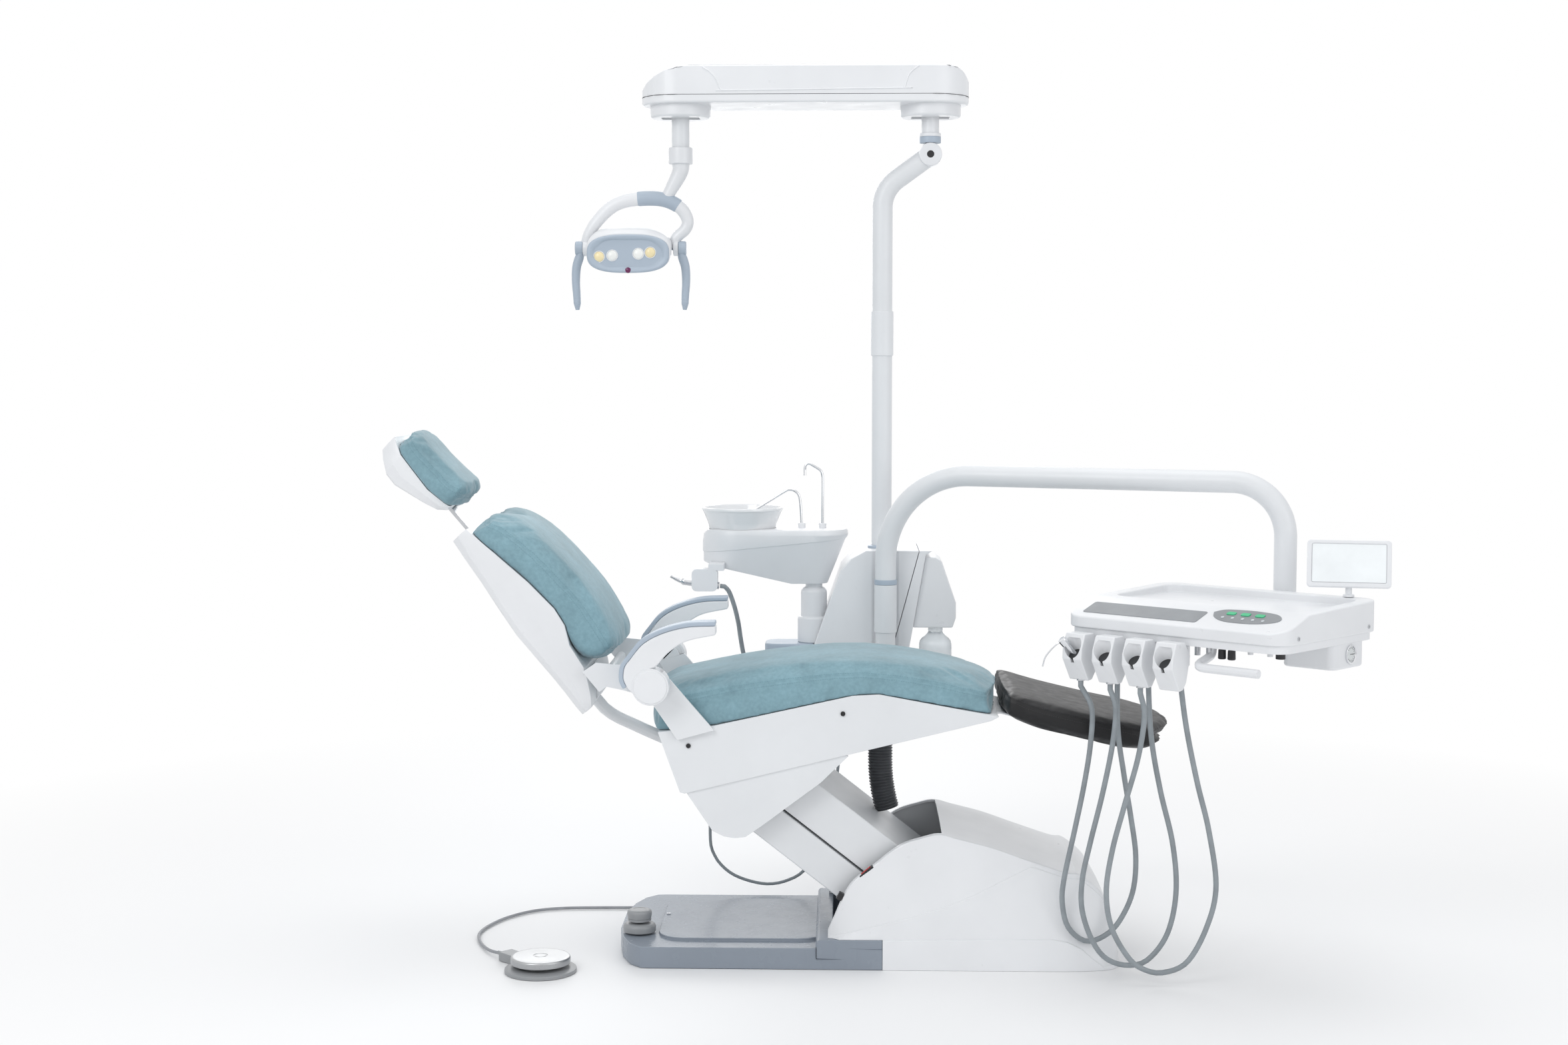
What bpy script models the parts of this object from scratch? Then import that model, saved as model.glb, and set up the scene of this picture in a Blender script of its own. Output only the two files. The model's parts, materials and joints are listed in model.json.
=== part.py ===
"""Dental unit: a patient chair on a lifting base, with lamp, cuspidor, side box and delivery tray.

Metres, +Z up. The origin is on the floor below the chair's lifting links, Y = 0 is the chair's
middle plane, +X points to the patient's feet and +Y to the side box. Every solid is one closed
body. The seat, and all that it carries, is placed from a datum that moves with the links.
"""

import math

import bmesh
import bpy
from mathutils import Matrix, Vector

# General fits
CLEAR = 0.0003
OVERRUN = 0.02
SHEET = 0.004

# Base and its steel frame
BASE_HALF_WIDTH = 0.239
BASE_LEFT = 0.552
BASE_BREAK = 0.038
BASE_HEIGHT = 0.047
TREAD_HALF_WIDTH = 0.180
TREAD_LEFT = 0.459
TREAD_RIGHT = 0.107
TREAD_HEIGHT = 0.053
TREAD_CORNER = 0.060
RIM_HEIGHT = 0.065
WELL_HALF_WIDTH = 0.186
WELL_LEFT = 0.070
PLATE_HALF_LENGTH = 0.500
PLATE_HALF_WIDTH = 0.200
PLATE_THICKNESS = 0.008
CHEEK_INNER = 0.166
CHEEK_THICKNESS = 0.012
CHEEK_LEFT = 0.045
CHEEK_LENGTH = 0.165
CHEEK_HEIGHT = 0.190

# Hump over the lifting links
HUMP_LEFT = 0.090
HUMP_RIGHT = 0.559
HUMP_HEIGHT = 0.291
HUMP_TOP_INSET = 0.041
HUMP_TOP_HALF_WIDTH = BASE_HALF_WIDTH - HUMP_TOP_INSET
HUMP_BULGE = 0.006
HUMP_BAND = 0.067
HUMP_SHELL = 0.005
HUMP_CROWN = 0.006
HUMP_MOUTH_RIGHT = 0.165
HUMP_MOUTH_RIM = 0.014
HUMP_MOUTH_HALF_WIDTH = HUMP_TOP_HALF_WIDTH - HUMP_MOUTH_RIM

# Lifting links
AXLE_X = 0.125
AXLE_Z = 0.159
AXLE_RADIUS = 0.012
LINK_LENGTH = 0.420
LINK_SLOPE_DEG = 37.9
PIVOT_SPACING = 0.0909
PIVOT_SLANT_DEG = 242.1
UPPER_LINK_DEPTH = 0.092
LOWER_LINK_DEPTH = 0.077
LINK_HALF_WIDTH = 0.160
SEAT_REACH = 0.2064
SEAT_DROP = 0.4170

# Seat pan, beam, post and link bracket
SEAT_CUSHION_LEFT = 0.483
SEAT_CUSHION_LENGTH = 0.7857
PAN_BACK_INSET = 0.030
PAN_LEFT = SEAT_CUSHION_LEFT - PAN_BACK_INSET
PAN_BOTTOM = 0.380
PAN_SHORTER = 0.0427
PAN_LENGTH = SEAT_CUSHION_LENGTH - PAN_SHORTER
PAN_HEIGHT = 0.220
PAN_HALF_WIDTH = 0.205
TONGUE_HALF_WIDTH = 0.120
TONGUE_REACH = 0.1573
TONGUE_END = SEAT_CUSHION_LENGTH - SEAT_CUSHION_LEFT + TONGUE_REACH
BRACKET_OUTER = 0.2007
BRACKET_SHEET = 0.006
BRACKET_LEFT = 0.398
BRACKET_BOTTOM = 0.281
BRACKET_LENGTH = 0.361
BRACKET_HEIGHT = 0.194
BEAM_WIDTH = 0.080
BEAM_HEIGHT = 0.050
BEAM_BOTTOM = 0.520
POST_X = 0.053
POST_Y = 0.3275
POST_RADIUS = 0.024
SLEEVE_RADIUS = 0.027
SLEEVE_BOTTOM = 0.671
SLEEVE_TOP = 0.786
SPIGOT_RADIUS = 0.018
SPIGOT_LENGTH = 0.080

# Seat and foot cushions
SEAT_CUSHION_HALF_WIDTH = 0.208
SEAT_CUSHION_BASE = 0.495
SEAT_CUSHION_RISE = 0.180
FOOT_CUSHION_LENGTH = 0.3965
FOOT_CUSHION_HALF_WIDTH = 0.226
FOOT_CUSHION_DROP = 0.076
FOOT_CUSHION_TOP = 0.6055
FOOT_CUSHION_THICKNESS = 0.052

# Ribbed hose between the seat and the hump
CONDUIT_X = 0.037
CONDUIT_Y = 0.070
CONDUIT_RADIUS = 0.0255
CONDUIT_RIB = 0.0030
CONDUIT_BORE = 0.0200
CONDUIT_RIBS = 16
CONDUIT_TOP = 0.520
CONDUIT_BOTTOM = 0.2937

# Backrest, its frame and the arch under it
BACK_PIVOT_X = 0.463
BACK_PIVOT_Z = 0.624
BACK_SLOPE_DEG = 49.72
BACK_LENGTH = 0.535
BACK_HALF_WIDTH = 0.207
SHELL_HALF_WIDTH = 0.203
BACK_DEPTH = 0.200
ARCH_RADIUS = 0.014
EAR_INNER = 0.2195
EAR_SHEET = 0.0055
EAR_LENGTH = 0.151
EAR_HEIGHT = 0.100
EAR_EYE_RADIUS = 0.034
BAR_RADIUS = 0.011
PIN_RADIUS = 0.008

# Headrest
HEAD_BAR_HALF_WIDTH = 0.030
HEAD_BAR_THICKNESS = 0.008
HEAD_BAR_FOOT = 0.360
HEAD_PIVOT_REACH = 0.600
HEAD_PIVOT_DEPTH = 0.122
HEAD_SLOPE_DEG = 45.8
HEAD_LENGTH = 0.217
HEAD_HALF_WIDTH = 0.130
HEAD_SHELL_HALF_WIDTH = 0.122
HEAD_KNUCKLE_RADIUS = 0.010
HEAD_PIN_RADIUS = 0.005
HEAD_PIN_HALF_LENGTH = 0.045

# Armrests
MOUNT_INNER = 0.2105
MOUNT_SHEET = 0.008
MOUNT_LENGTH = 0.159
MOUNT_HEIGHT = 0.133
MOUNT_LEFT = 0.488
MOUNT_BOTTOM = 0.500
MOUNT_BOSS_RADIUS = 0.0055
ARM_INNER = 0.2255
ARM_WIDTH = 0.0445
ARM_SPAN = 0.100
ARM_HUB_RADIUS = 0.040
ARM_COVER = 0.005
ARM_PAD = 0.0095
ARM_PIN_END = 0.245

# Side box, bottle and its housing
BOX_NEAR = 0.360
BOX_FAR = 0.600
BOX_LEFT = 0.125
BOX_BOTTOM = 0.500
BOX_LENGTH = 0.292
BOX_HEIGHT = 0.365
BOX_ROUND = 0.012
CHANNEL_RADIUS = 0.046
UNIT_Y = 0.440
BOTTLE_BOX_LEFT = 0.121
BOTTLE_BOX_LENGTH = 0.104
BOTTLE_BOX_HEIGHT = 0.172
BOTTLE_BOX_BOTTOM = 0.676
BOTTLE_BOX_NEAR = 0.372
BOTTLE_BOX_FAR = 0.505
BOTTLE_X = 0.178
BOTTLE_RADIUS = 0.040
BOTTLE_NECK_RADIUS = 0.015
BOTTLE_SHOULDER = 0.640
BOTTLE_BOTTOM = 0.455
BOTTLE_SOCKET = 0.020

# Cuspidor
COLUMN_X = 0.121
BRACKET_TOP = 0.633
CUSP_BRACKET_HEIGHT = 0.040
CUSP_BRACKET_LEFT = 0.241
CUSP_BRACKET_HALF_WIDTH = 0.052
COLUMN_FOOT_RADIUS = 0.040
COLUMN_FOOT_TOP = 0.697
COLUMN_RADIUS = 0.032
COLUMN_TOP = 0.765
COLUMN_NECK_RADIUS = 0.0205
HOUSING_LEFT = 0.395
HOUSING_LENGTH = 0.358
HOUSING_BOTTOM = 0.779
HOUSING_HEIGHT = 0.136
HOUSING_LOW_RADIUS = 0.050
HOUSING_HIGH_RADIUS = 0.084
HOUSING_END_RADIUS = 0.088
BOWL_X = 0.297
BOWL_RIM_RADIUS = 0.100
BOWL_RIM_TOP = 0.966
BOWL_FOOT_RADIUS = 0.0815
BOWL_SEAT = 0.902
BOWL_WALL = 0.004
BOWL_SPIGOT_RADIUS = 0.012
BOWL_SPIGOT_DROP = 0.018
SPOUT_RADIUS = 0.004
SOCKET_RADIUS = 0.009
SOCKET_HEIGHT = 0.013
SOCKET_BASE = 0.9135
FILLER_X = 0.100
FILLER_TOP = 1.062
FILLER_REACH = 0.043
RINSER_X = 0.151
RINSER_TOP = 1.001
RINSER_REACH = 0.117
HOLDER_X = 0.383
HOLDER_Z = 0.7965
HOLDER_LENGTH = 0.062
HOLDER_HEIGHT = 0.054
HOLDER_DEPTH = 0.040
HANDPIECE_RADIUS = 0.009
HANDPIECE_LENGTH = 0.095
SUCTION_RADIUS = 0.0055
DRAIN_RADIUS = 0.00375

# Lamp
LAMP_POLE_X = 0.045
LAMP_Y = 0.450
LAMP_TUBE_RADIUS = 0.0245
LAMP_COLLAR_BOTTOM = 1.336
LAMP_COLLAR_TOP = 1.444
LAMP_COLLAR_RADIUS = 0.0275
LAMP_BEND_START = 1.600
KNUCKLE_X = 0.160
KNUCKLE_Z = 1.822
KNUCKLE_RADIUS = 0.028
KNUCKLE_HALF_WIDTH = 0.030
SWIVEL_COLLAR_RADIUS = 0.026
SWIVEL_COLLAR_TOP = 1.874
SWIVEL_PIN_RADIUS = 0.012
ARM_AXIS_Z = 1.955
LAMP_ARM_SPAN = 0.607
LAMP_ARM_HALF_WIDTH = 0.093
LAMP_ARM_BOTTOM = 1.940
LAMP_ARM_TOP = 2.030
LAMP_ARM_ROUND = 0.014
LAMP_DISC_RADIUS = 0.0735
LAMP_DISC_BOTTOM = 1.911
LAMP_POCKET_HALF_LENGTH = 0.046
LAMP_POCKET_RISE = 0.036
LAMP_PIN_RADIUS = 0.008
LAMP_PIN_HALF_LENGTH = 0.050
DROP_RADIUS = 0.0215
DROP_BOTTOM = 1.815
YOKE_COLLAR_RADIUS = 0.0295
YOKE_COLLAR_BOTTOM = 1.801
YOKE_COLLAR_TOP = 1.841
YOKE_RADIUS = 0.0085
YOKE_EYE_RADIUS = 0.013
YOKE_EYE_WIDTH = 0.0119
HEAD_AXIS_X = 0.5700
HEAD_AXIS_Z = 1.598
LAMP_HEAD_HALF_LENGTH = 0.1025
LAMP_HEAD_HALF_HEIGHT = 0.0475
LAMP_HEAD_FRONT = 0.070
LAMP_HEAD_DEPTH = 0.135
BEZEL_THICKNESS = 0.010
BEZEL_RECESS = 0.006
TRUNNION_RADIUS = 0.005
HANDLE_DROP = 0.150
HANDLE_WIDTH = 0.022
HANDLE_THICKNESS = 0.011

# Delivery arm and tray
ARM_LEVEL = 1.053
ARM_TUBE_RADIUS = 0.025
ARM_LEFT_BEND = 0.210
ARM_RIGHT_BEND = 0.120
TRAY_POST_X = 0.933
TRAY_POST_Y = 0.050
TRAY_POST_BOTTOM = 0.700
TRAY_X = 0.763
TRAY_Y = 0.219
TRAY_SEAM = 0.750
TRAY_TURN_DEG = -42.0
TRAY_WIDTH = 0.545
TRAY_DEPTH = 0.398
TRAY_HEIGHT = 0.068
TRAY_CORNER = 0.045
TRAY_RECESS = 0.010
LIP_INSET = 0.008
LIP_HEIGHT = 0.017
TRAY_BOSS_RADIUS = 0.036
TRAY_BOSS_TOP = 0.030
TRAY_BOSS_FLOOR = 0.0065
GRIP_RADIUS = 0.0095
GRIP_DROP = 0.042
POD_LENGTH = 0.105
POD_DEPTH = 0.085
POD_HEIGHT = 0.058
HOLDER_PITCH = 0.0765
HOLDER_WIDTH = 0.050
HOLDER_FIRST = 0.0629
HOLDER_RISE = 0.102
HOLDER_DEEP = 0.070
HOLDER_FRONT = 0.252
HOLDER_LOW = 0.640
CONE_RADIUS = 0.024
CONE_FOOT_RADIUS = 0.0085
SLOT_WIDTH = 0.010
COUPLING_RADIUS = 0.009
COUPLING_LENGTH = 0.014
RETURN_DEPTH = 0.165
NIPPLE_LENGTH = 0.030
HOSE_RADIUS = 0.0058
SYRINGE_RADIUS = 0.0075
SYRINGE_LENGTH = 0.058
NOZZLE_RADIUS = 0.0016
VIEWER_WIDTH = 0.176
VIEWER_HEIGHT = 0.102
VIEWER_THICKNESS = 0.016
VIEWER_RISE = 0.070
VIEWER_PLACE = 0.200
VIEWER_TILT_DEG = 14.0
VIEWER_PIN_RADIUS = 0.004
KNOB_RADIUS = 0.010
KNOB_LENGTH = 0.018

# Foot switch and pedal
SWITCH_X = 0.503
SWITCH_Y = 0.115
SKIRT_RADIUS = 0.0365
SKIRT_HEIGHT = 0.019
SKIRT_LIFT = 0.0045
CAP_RADIUS = 0.0275
CAP_HEIGHT = 0.026
CAP_LIFT = 0.0035
HUB_RADIUS = 0.003
PEDAL_X = 0.705
PEDAL_Y = 0.265
PEDAL_BASE_RADIUS = 0.0785
PEDAL_BASE_HEIGHT = 0.012
PEDAL_DISC_RADIUS = 0.065
PEDAL_DISC_BOTTOM = 0.019
PEDAL_DISC_TOP = 0.035
PEDAL_STEM_RADIUS = 0.012
PEDAL_BOX_LENGTH = 0.060
PEDAL_BOX_WIDTH = 0.036
PEDAL_BOX_HEIGHT = 0.020
CABLE_RADIUS = 0.0035
ROCKER_X = 0.003
ROCKER_INSET = 0.0065
ROCKER_Y = HUMP_TOP_HALF_WIDTH - ROCKER_INSET
ROCKER_Z = 0.2075
ROCKER_SLOPE_DEG = 40.6
ROCKER_LENGTH = 0.026
ROCKER_WIDTH = 0.007

FRONT = Matrix.Rotation(math.radians(90), 4, "X")


# Places that follow the sizes
def link_pivots():
    """Return the X, Z places of both base axles and both seat pivots, upper ones first."""
    slope = math.radians(LINK_SLOPE_DEG)
    slant = math.radians(PIVOT_SLANT_DEG)
    step = Vector((PIVOT_SPACING * math.cos(slant), PIVOT_SPACING * math.sin(slant)))
    upper_axle = Vector((AXLE_X, AXLE_Z))
    upper_seat = upper_axle + Vector((-LINK_LENGTH * math.cos(slope), LINK_LENGTH * math.sin(slope)))
    return upper_axle, upper_axle + step, upper_seat, upper_seat + step


def seat_datum():
    """Return the point of the seat's frame of reference that meets the origin at rest."""
    seat_pivot = link_pivots()[2]
    return Vector((seat_pivot.x + SEAT_REACH, 0, seat_pivot.y - SEAT_DROP))


def seat_point(x, y, z):
    """Return a point given from the seat's datum."""
    return seat_datum() + Vector((x, y, z))


def back_frame():
    """Return the backrest's frame: X up along the back, Y sideways, Z out of its front."""
    slope = math.radians(BACK_SLOPE_DEG)
    along = Vector((-math.cos(slope), 0, math.sin(slope)))
    return frame_of(seat_point(-BACK_PIVOT_X, 0, BACK_PIVOT_Z), along)


def head_frame():
    """Return the headrest's frame, on its own tilting axis."""
    slope = math.radians(HEAD_SLOPE_DEG)
    place = back_frame() @ Vector((HEAD_PIVOT_REACH, 0, -HEAD_PIVOT_DEPTH))
    return frame_of(place, Vector((-math.cos(slope), 0, math.sin(slope))))


def frame_of(place, along):
    """Return a frame at a place whose X lies along a direction in the chair's middle plane."""
    out = Vector((along.z, 0, -along.x))
    side = out.cross(along)
    return Matrix((
        (along.x, side.x, out.x, place.x),
        (along.y, side.y, out.y, place.y),
        (along.z, side.z, out.z, place.z),
        (0, 0, 0, 1),
    ))


def tray_frame():
    """Return the tray's frame: X along its front edge, Y to its back, Z up from its seam."""
    place = seat_point(TRAY_X, -TRAY_Y, TRAY_SEAM)
    return Matrix.Translation(place) @ Matrix.Rotation(math.radians(TRAY_TURN_DEG), 4, "Z")


def scaled(shares, left, bottom, width, height):
    """Return outline points from shares of a width and a height."""
    return [(left + across * width, bottom + up * height) for across, up in shares]


def arc(cx, cz, radius, start_deg, end_deg, steps):
    """Return points along an arc."""
    turns = [math.radians(start_deg + (end_deg - start_deg) * i / steps) for i in range(steps + 1)]
    return [(cx + radius * math.cos(turn), cz + radius * math.sin(turn)) for turn in turns]


def smooth(points, count):
    """Return points read at even steps from a smooth curve through the given ones."""
    nodes = [Vector(point) for point in points]
    nodes = [nodes[0] * 2 - nodes[1]] + nodes + [nodes[-1] * 2 - nodes[-2]]
    fine = []
    for i in range(1, len(nodes) - 2):
        a, b, c, d = nodes[i - 1:i + 3]
        for k in range(16):
            t = k / 16
            fine.append(0.5 * (b * 2 + (c - a) * t + (a * 2 - b * 5 + c * 4 - d) * t ** 2
                               + (b * 3 - a - c * 3 + d) * t ** 3))
    fine.append(nodes[-2])
    walked = [0]
    for start, end in zip(fine, fine[1:]):
        walked.append(walked[-1] + (end - start).length)
    read = []
    place = 0
    for i in range(count + 1):
        target = walked[-1] * i / count
        while place < len(fine) - 2 and walked[place + 1] < target:
            place += 1
        gap = walked[place + 1] - walked[place]
        read.append(fine[place].lerp(fine[place + 1], (target - walked[place]) / gap))
    return read


def offset_line(points, distance):
    """Return a line of 2D points moved sideways, to the right of its direction."""
    moved = []
    for i, point in enumerate(points):
        before = Vector(points[max(i - 1, 0)][:2])
        after = Vector(points[min(i + 1, len(points) - 1)][:2])
        run = (after - before).normalized()
        moved.append((point[0] + run.y * distance, point[1] - run.x * distance))
    return moved


def fillet(points, radii, steps):
    """Return a 3D route whose inner corners are arcs of the given radii."""
    route = [Vector(points[0])]
    for before, corner, after, radius in zip(points, points[1:], points[2:], radii):
        corner = Vector(corner)
        back = (Vector(before) - corner).normalized()
        ahead = (Vector(after) - corner).normalized()
        half = back.angle(ahead) / 2
        reach = radius / math.tan(half)
        centre = corner + (back + ahead).normalized() * radius / math.sin(half)
        start = corner + back * reach - centre
        end = corner + ahead * reach - centre
        for i in range(steps + 1):
            route.append(centre + start.slerp(end, i / steps) * radius)
    route.append(Vector(points[-1]))
    return route


# Scene and materials
def clear_scene():
    """Remove the scene's objects and collections."""
    for item in list(bpy.data.objects):
        bpy.data.objects.remove(item, do_unlink=True)
    for group in list(bpy.data.collections):
        bpy.data.collections.remove(group)


def group(name):
    """Return the collection of a name, made when it is missing."""
    if name not in bpy.data.collections:
        bpy.context.scene.collection.children.link(bpy.data.collections.new(name))
    return bpy.data.collections[name]


def finish(name, colour, roughness, metallic=0.0):
    """Return a Principled material."""
    material = bpy.data.materials.new(name)
    material.use_nodes = True
    shader = material.node_tree.nodes["Principled BSDF"]
    shader.inputs["Base Color"].default_value = (*colour, 1.0)
    shader.inputs["Roughness"].default_value = roughness
    shader.inputs["Metallic"].default_value = metallic
    material.diffuse_color = (*colour, 1.0)
    return material


WHITE = (0.78, 0.79, 0.80)
GREY = (0.30, 0.31, 0.32)
BASE_GREY = (0.17, 0.19, 0.21)
BLUE_GREY = (0.42, 0.49, 0.57)
TEAL = (0.22, 0.37, 0.43)
STEEL = (0.60, 0.61, 0.62)
DARK = (0.06, 0.065, 0.07)
BLACK = (0.015, 0.015, 0.017)
RED = (0.55, 0.03, 0.03)
CLEAR_BLUE = (0.72, 0.78, 0.80)


def part(name, mesh, colour, roughness=0.4, metallic=0.0):
    """Place a mesh as a part of the unit, with its own material."""
    piece = bpy.data.objects.new(name, mesh)
    group("Dental unit").objects.link(piece)
    mesh.materials.clear()
    mesh.materials.append(finish(name, colour, roughness, metallic))
    mesh.shade_smooth()
    mesh.set_sharp_from_angle(angle=math.radians(35))
    return piece


def operand(piece, mesh, operation):
    """Join, cut or keep a piece with another shape by a live exact Boolean."""
    tool = bpy.data.objects.new(f"{piece.name}_tool_{len(piece.modifiers)}", mesh)
    group("Cutters").objects.link(tool)
    tool.hide_render = True
    tool.display_type = "WIRE"
    step = piece.modifiers.new(operation.title(), "BOOLEAN")
    step.operation = operation
    step.solver = "EXACT"
    step.object = tool
    return piece


def join(piece, *meshes):
    """Add shapes to a piece."""
    for mesh in meshes:
        operand(piece, mesh, "UNION")
    return piece


def cut(piece, *meshes):
    """Take shapes out of a piece."""
    for mesh in meshes:
        operand(piece, mesh, "DIFFERENCE")
    return piece


def keep(piece, mesh):
    """Keep only what a piece shares with a shape."""
    return operand(piece, mesh, "INTERSECT")


def carry(axis_name, place, *pieces, turn=None):
    """Parent pieces to an empty on their joint's axis."""
    empty = bpy.data.objects.new(axis_name, None)
    group("Dental unit").objects.link(empty)
    empty.location = place
    if turn:
        empty.rotation_euler = turn
    bpy.context.view_layer.update()
    for piece in pieces:
        piece.parent = empty
        piece.matrix_parent_inverse = empty.matrix_world.inverted()
    return empty


# Shapes
def from_bmesh(shape):
    """Return a mesh of a bmesh, which is freed."""
    mesh = bpy.data.meshes.new("shape")
    shape.to_mesh(mesh)
    shape.free()
    return mesh


def box(size, centre, turn=None):
    """Return a box mesh."""
    shape = bmesh.new()
    bmesh.ops.create_cube(shape, size=1.0)
    matrix = Matrix.Translation(centre) @ (turn or Matrix()) @ Matrix.Diagonal((*size, 1))
    bmesh.ops.transform(shape, matrix=matrix, verts=shape.verts)
    return from_bmesh(shape)


def rod(start, end, radius, end_radius=None, sides=20):
    """Return a cylinder or cone mesh between two points."""
    start, end = Vector(start), Vector(end)
    run = end - start
    shape = bmesh.new()
    bmesh.ops.create_cone(
        shape, cap_ends=True, segments=sides, radius1=radius,
        radius2=radius if end_radius is None else end_radius, depth=run.length,
    )
    turn = run.to_track_quat("Z", "Y").to_matrix().to_4x4()
    bmesh.ops.transform(shape, matrix=Matrix.Translation((start + end) / 2) @ turn, verts=shape.verts)
    return from_bmesh(shape)


def across(place, half, radius, **detail):
    """Return a rod across the chair, about a place and with a half length."""
    reach = Vector((0, half, 0))
    return rod(place - reach, place + reach, radius, **detail)


def bore(start, end, pin_radius, sides=16):
    """Return a cutter whose flats clear a round pin."""
    return rod(start, end, (pin_radius + CLEAR) / math.cos(math.pi / sides), sides=sides)


def read_curve(curve, matrix):
    """Return a curve's closed mesh, with its caps welded on."""
    holder = bpy.data.objects.new("curve", curve)
    holder.matrix_world = matrix
    bpy.context.scene.collection.objects.link(holder)
    bpy.context.view_layer.update()
    evaluated = holder.evaluated_get(bpy.context.evaluated_depsgraph_get())
    mesh = bpy.data.meshes.new_from_object(evaluated)
    mesh.transform(holder.matrix_world)
    bpy.data.objects.remove(holder, do_unlink=True)
    bpy.data.curves.remove(curve)
    shape = bmesh.new()
    shape.from_mesh(mesh)
    bmesh.ops.remove_doubles(shape, verts=shape.verts, dist=CLEAR / 30)
    bmesh.ops.recalc_face_normals(shape, faces=shape.faces)
    shape.to_mesh(mesh)
    shape.free()
    return mesh


def plate(points, thickness, matrix):
    """Return a flat outline of a thickness, centred on its plane."""
    curve = bpy.data.curves.new("outline", "CURVE")
    curve.dimensions = "2D"
    curve.fill_mode = "BOTH"
    curve.extrude = thickness / 2
    line = curve.splines.new("POLY")
    line.points.add(len(points) - 1)
    for place, point in zip(line.points, points):
        place.co = (point[0], point[1], 0, 1)
    line.use_cyclic_u = True
    return read_curve(curve, matrix)


def side(points, near, far, frame=Matrix()):
    """Return an outline in X and Z, run from one Y to another."""
    return plate(points, far - near, frame @ Matrix.Translation((0, (near + far) / 2, 0)) @ FRONT)


def plan(points, low, high, frame=Matrix()):
    """Return an outline in X and Y, run from one Z to another."""
    return plate(points, high - low, frame @ Matrix.Translation((0, 0, (low + high) / 2)))


def rounded_box(x0, x1, y0, y1, radius, steps=4):
    """Return a rectangle's outline with round corners."""
    points = []
    corners = ((x1, y1, 0), (x0, y1, 90), (x0, y0, 180), (x1, y0, 270))
    for x, y, start in corners:
        cx = x - radius if x == x1 else x + radius
        cy = y - radius if y == y1 else y + radius
        points += arc(cx, cy, radius, start, start + 90, steps)
    return points


def tube(points, radius, resolution=2, matrix=Matrix()):
    """Return a round tube with filled caps along a route."""
    curve = bpy.data.curves.new("tube", "CURVE")
    curve.dimensions = "3D"
    curve.bevel_depth = radius
    curve.bevel_resolution = resolution
    curve.use_fill_caps = True
    line = curve.splines.new("POLY")
    line.points.add(len(points) - 1)
    for place, point in zip(line.points, points):
        place.co = (*point, 1)
    return read_curve(curve, matrix)


def turned(profile, matrix, steps=24):
    """Return a turned body, its profile of radius and height given from the top down."""
    mesh = bpy.data.meshes.new("profile")
    mesh.from_pydata([(r, 0, z) for r, z in profile], [(i, i + 1) for i in range(len(profile) - 1)], [])
    holder = bpy.data.objects.new("profile", mesh)
    bpy.context.scene.collection.objects.link(holder)
    spin = holder.modifiers.new("Screw", "SCREW")
    spin.steps = steps
    spin.render_steps = steps
    spin.use_merge_vertices = True
    spin.merge_threshold = CLEAR / 30
    bpy.context.view_layer.update()
    evaluated = holder.evaluated_get(bpy.context.evaluated_depsgraph_get())
    body = bpy.data.meshes.new_from_object(evaluated)
    bpy.data.objects.remove(holder, do_unlink=True)
    shape = bmesh.new()
    shape.from_mesh(body)
    bmesh.ops.remove_doubles(shape, verts=shape.verts, dist=CLEAR / 30)
    bmesh.ops.recalc_face_normals(shape, faces=shape.faces)
    shape.to_mesh(body)
    shape.free()
    body.transform(matrix)
    return body


def loft(rings, matrix=Matrix()):
    """Return a closed body through rings of equal point counts, capped at both ends."""
    count = len(rings[0])
    shape = bmesh.new()
    rows = [[shape.verts.new(point) for point in ring] for ring in rings]
    for low, high in zip(rows, rows[1:]):
        for i in range(count):
            j = (i + 1) % count
            shape.faces.new((low[i], low[j], high[j], high[i]))
    shape.faces.new(list(reversed(rows[0])))
    shape.faces.new(rows[-1])
    bmesh.ops.recalc_face_normals(shape, faces=shape.faces)
    bmesh.ops.transform(shape, matrix=matrix, verts=shape.verts)
    return from_bmesh(shape)


def refined(mesh, levels=1):
    """Return a cage's mesh after a Subdivision Surface."""
    holder = bpy.data.objects.new("cage", mesh)
    bpy.context.scene.collection.objects.link(holder)
    soft = holder.modifiers.new("Subdivision", "SUBSURF")
    soft.levels = levels
    soft.render_levels = levels
    bpy.context.view_layer.update()
    evaluated = holder.evaluated_get(bpy.context.evaluated_depsgraph_get())
    body = bpy.data.meshes.new_from_object(evaluated)
    bpy.data.objects.remove(holder, do_unlink=True)
    return body


CUSHION_HALF_SHARES = (
    (0, 0, 0), (0.90, 0, 0), (1.0, 0.30, 0), (0.975, 0.70, 0),
    (1.0, 1.0, 0), (0.93, 1.0, 0.55), (0.62, 1.0, 0.92), (0, 1.0, 1.0),
)


def cushion_ring(x, base, seam, crown, half_width, shift):
    """Return one cross-section: flat below, drawn in above it, out at the seam and crowned."""
    half = []
    for across, rise, swell in CUSHION_HALF_SHARES:
        z = base + rise * (seam - base) + swell * (crown - seam)
        half.append((x + shift(across), across * half_width, z))
    return half + [(px, -py, pz) for px, py, pz in reversed(half[1:-1])]


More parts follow.
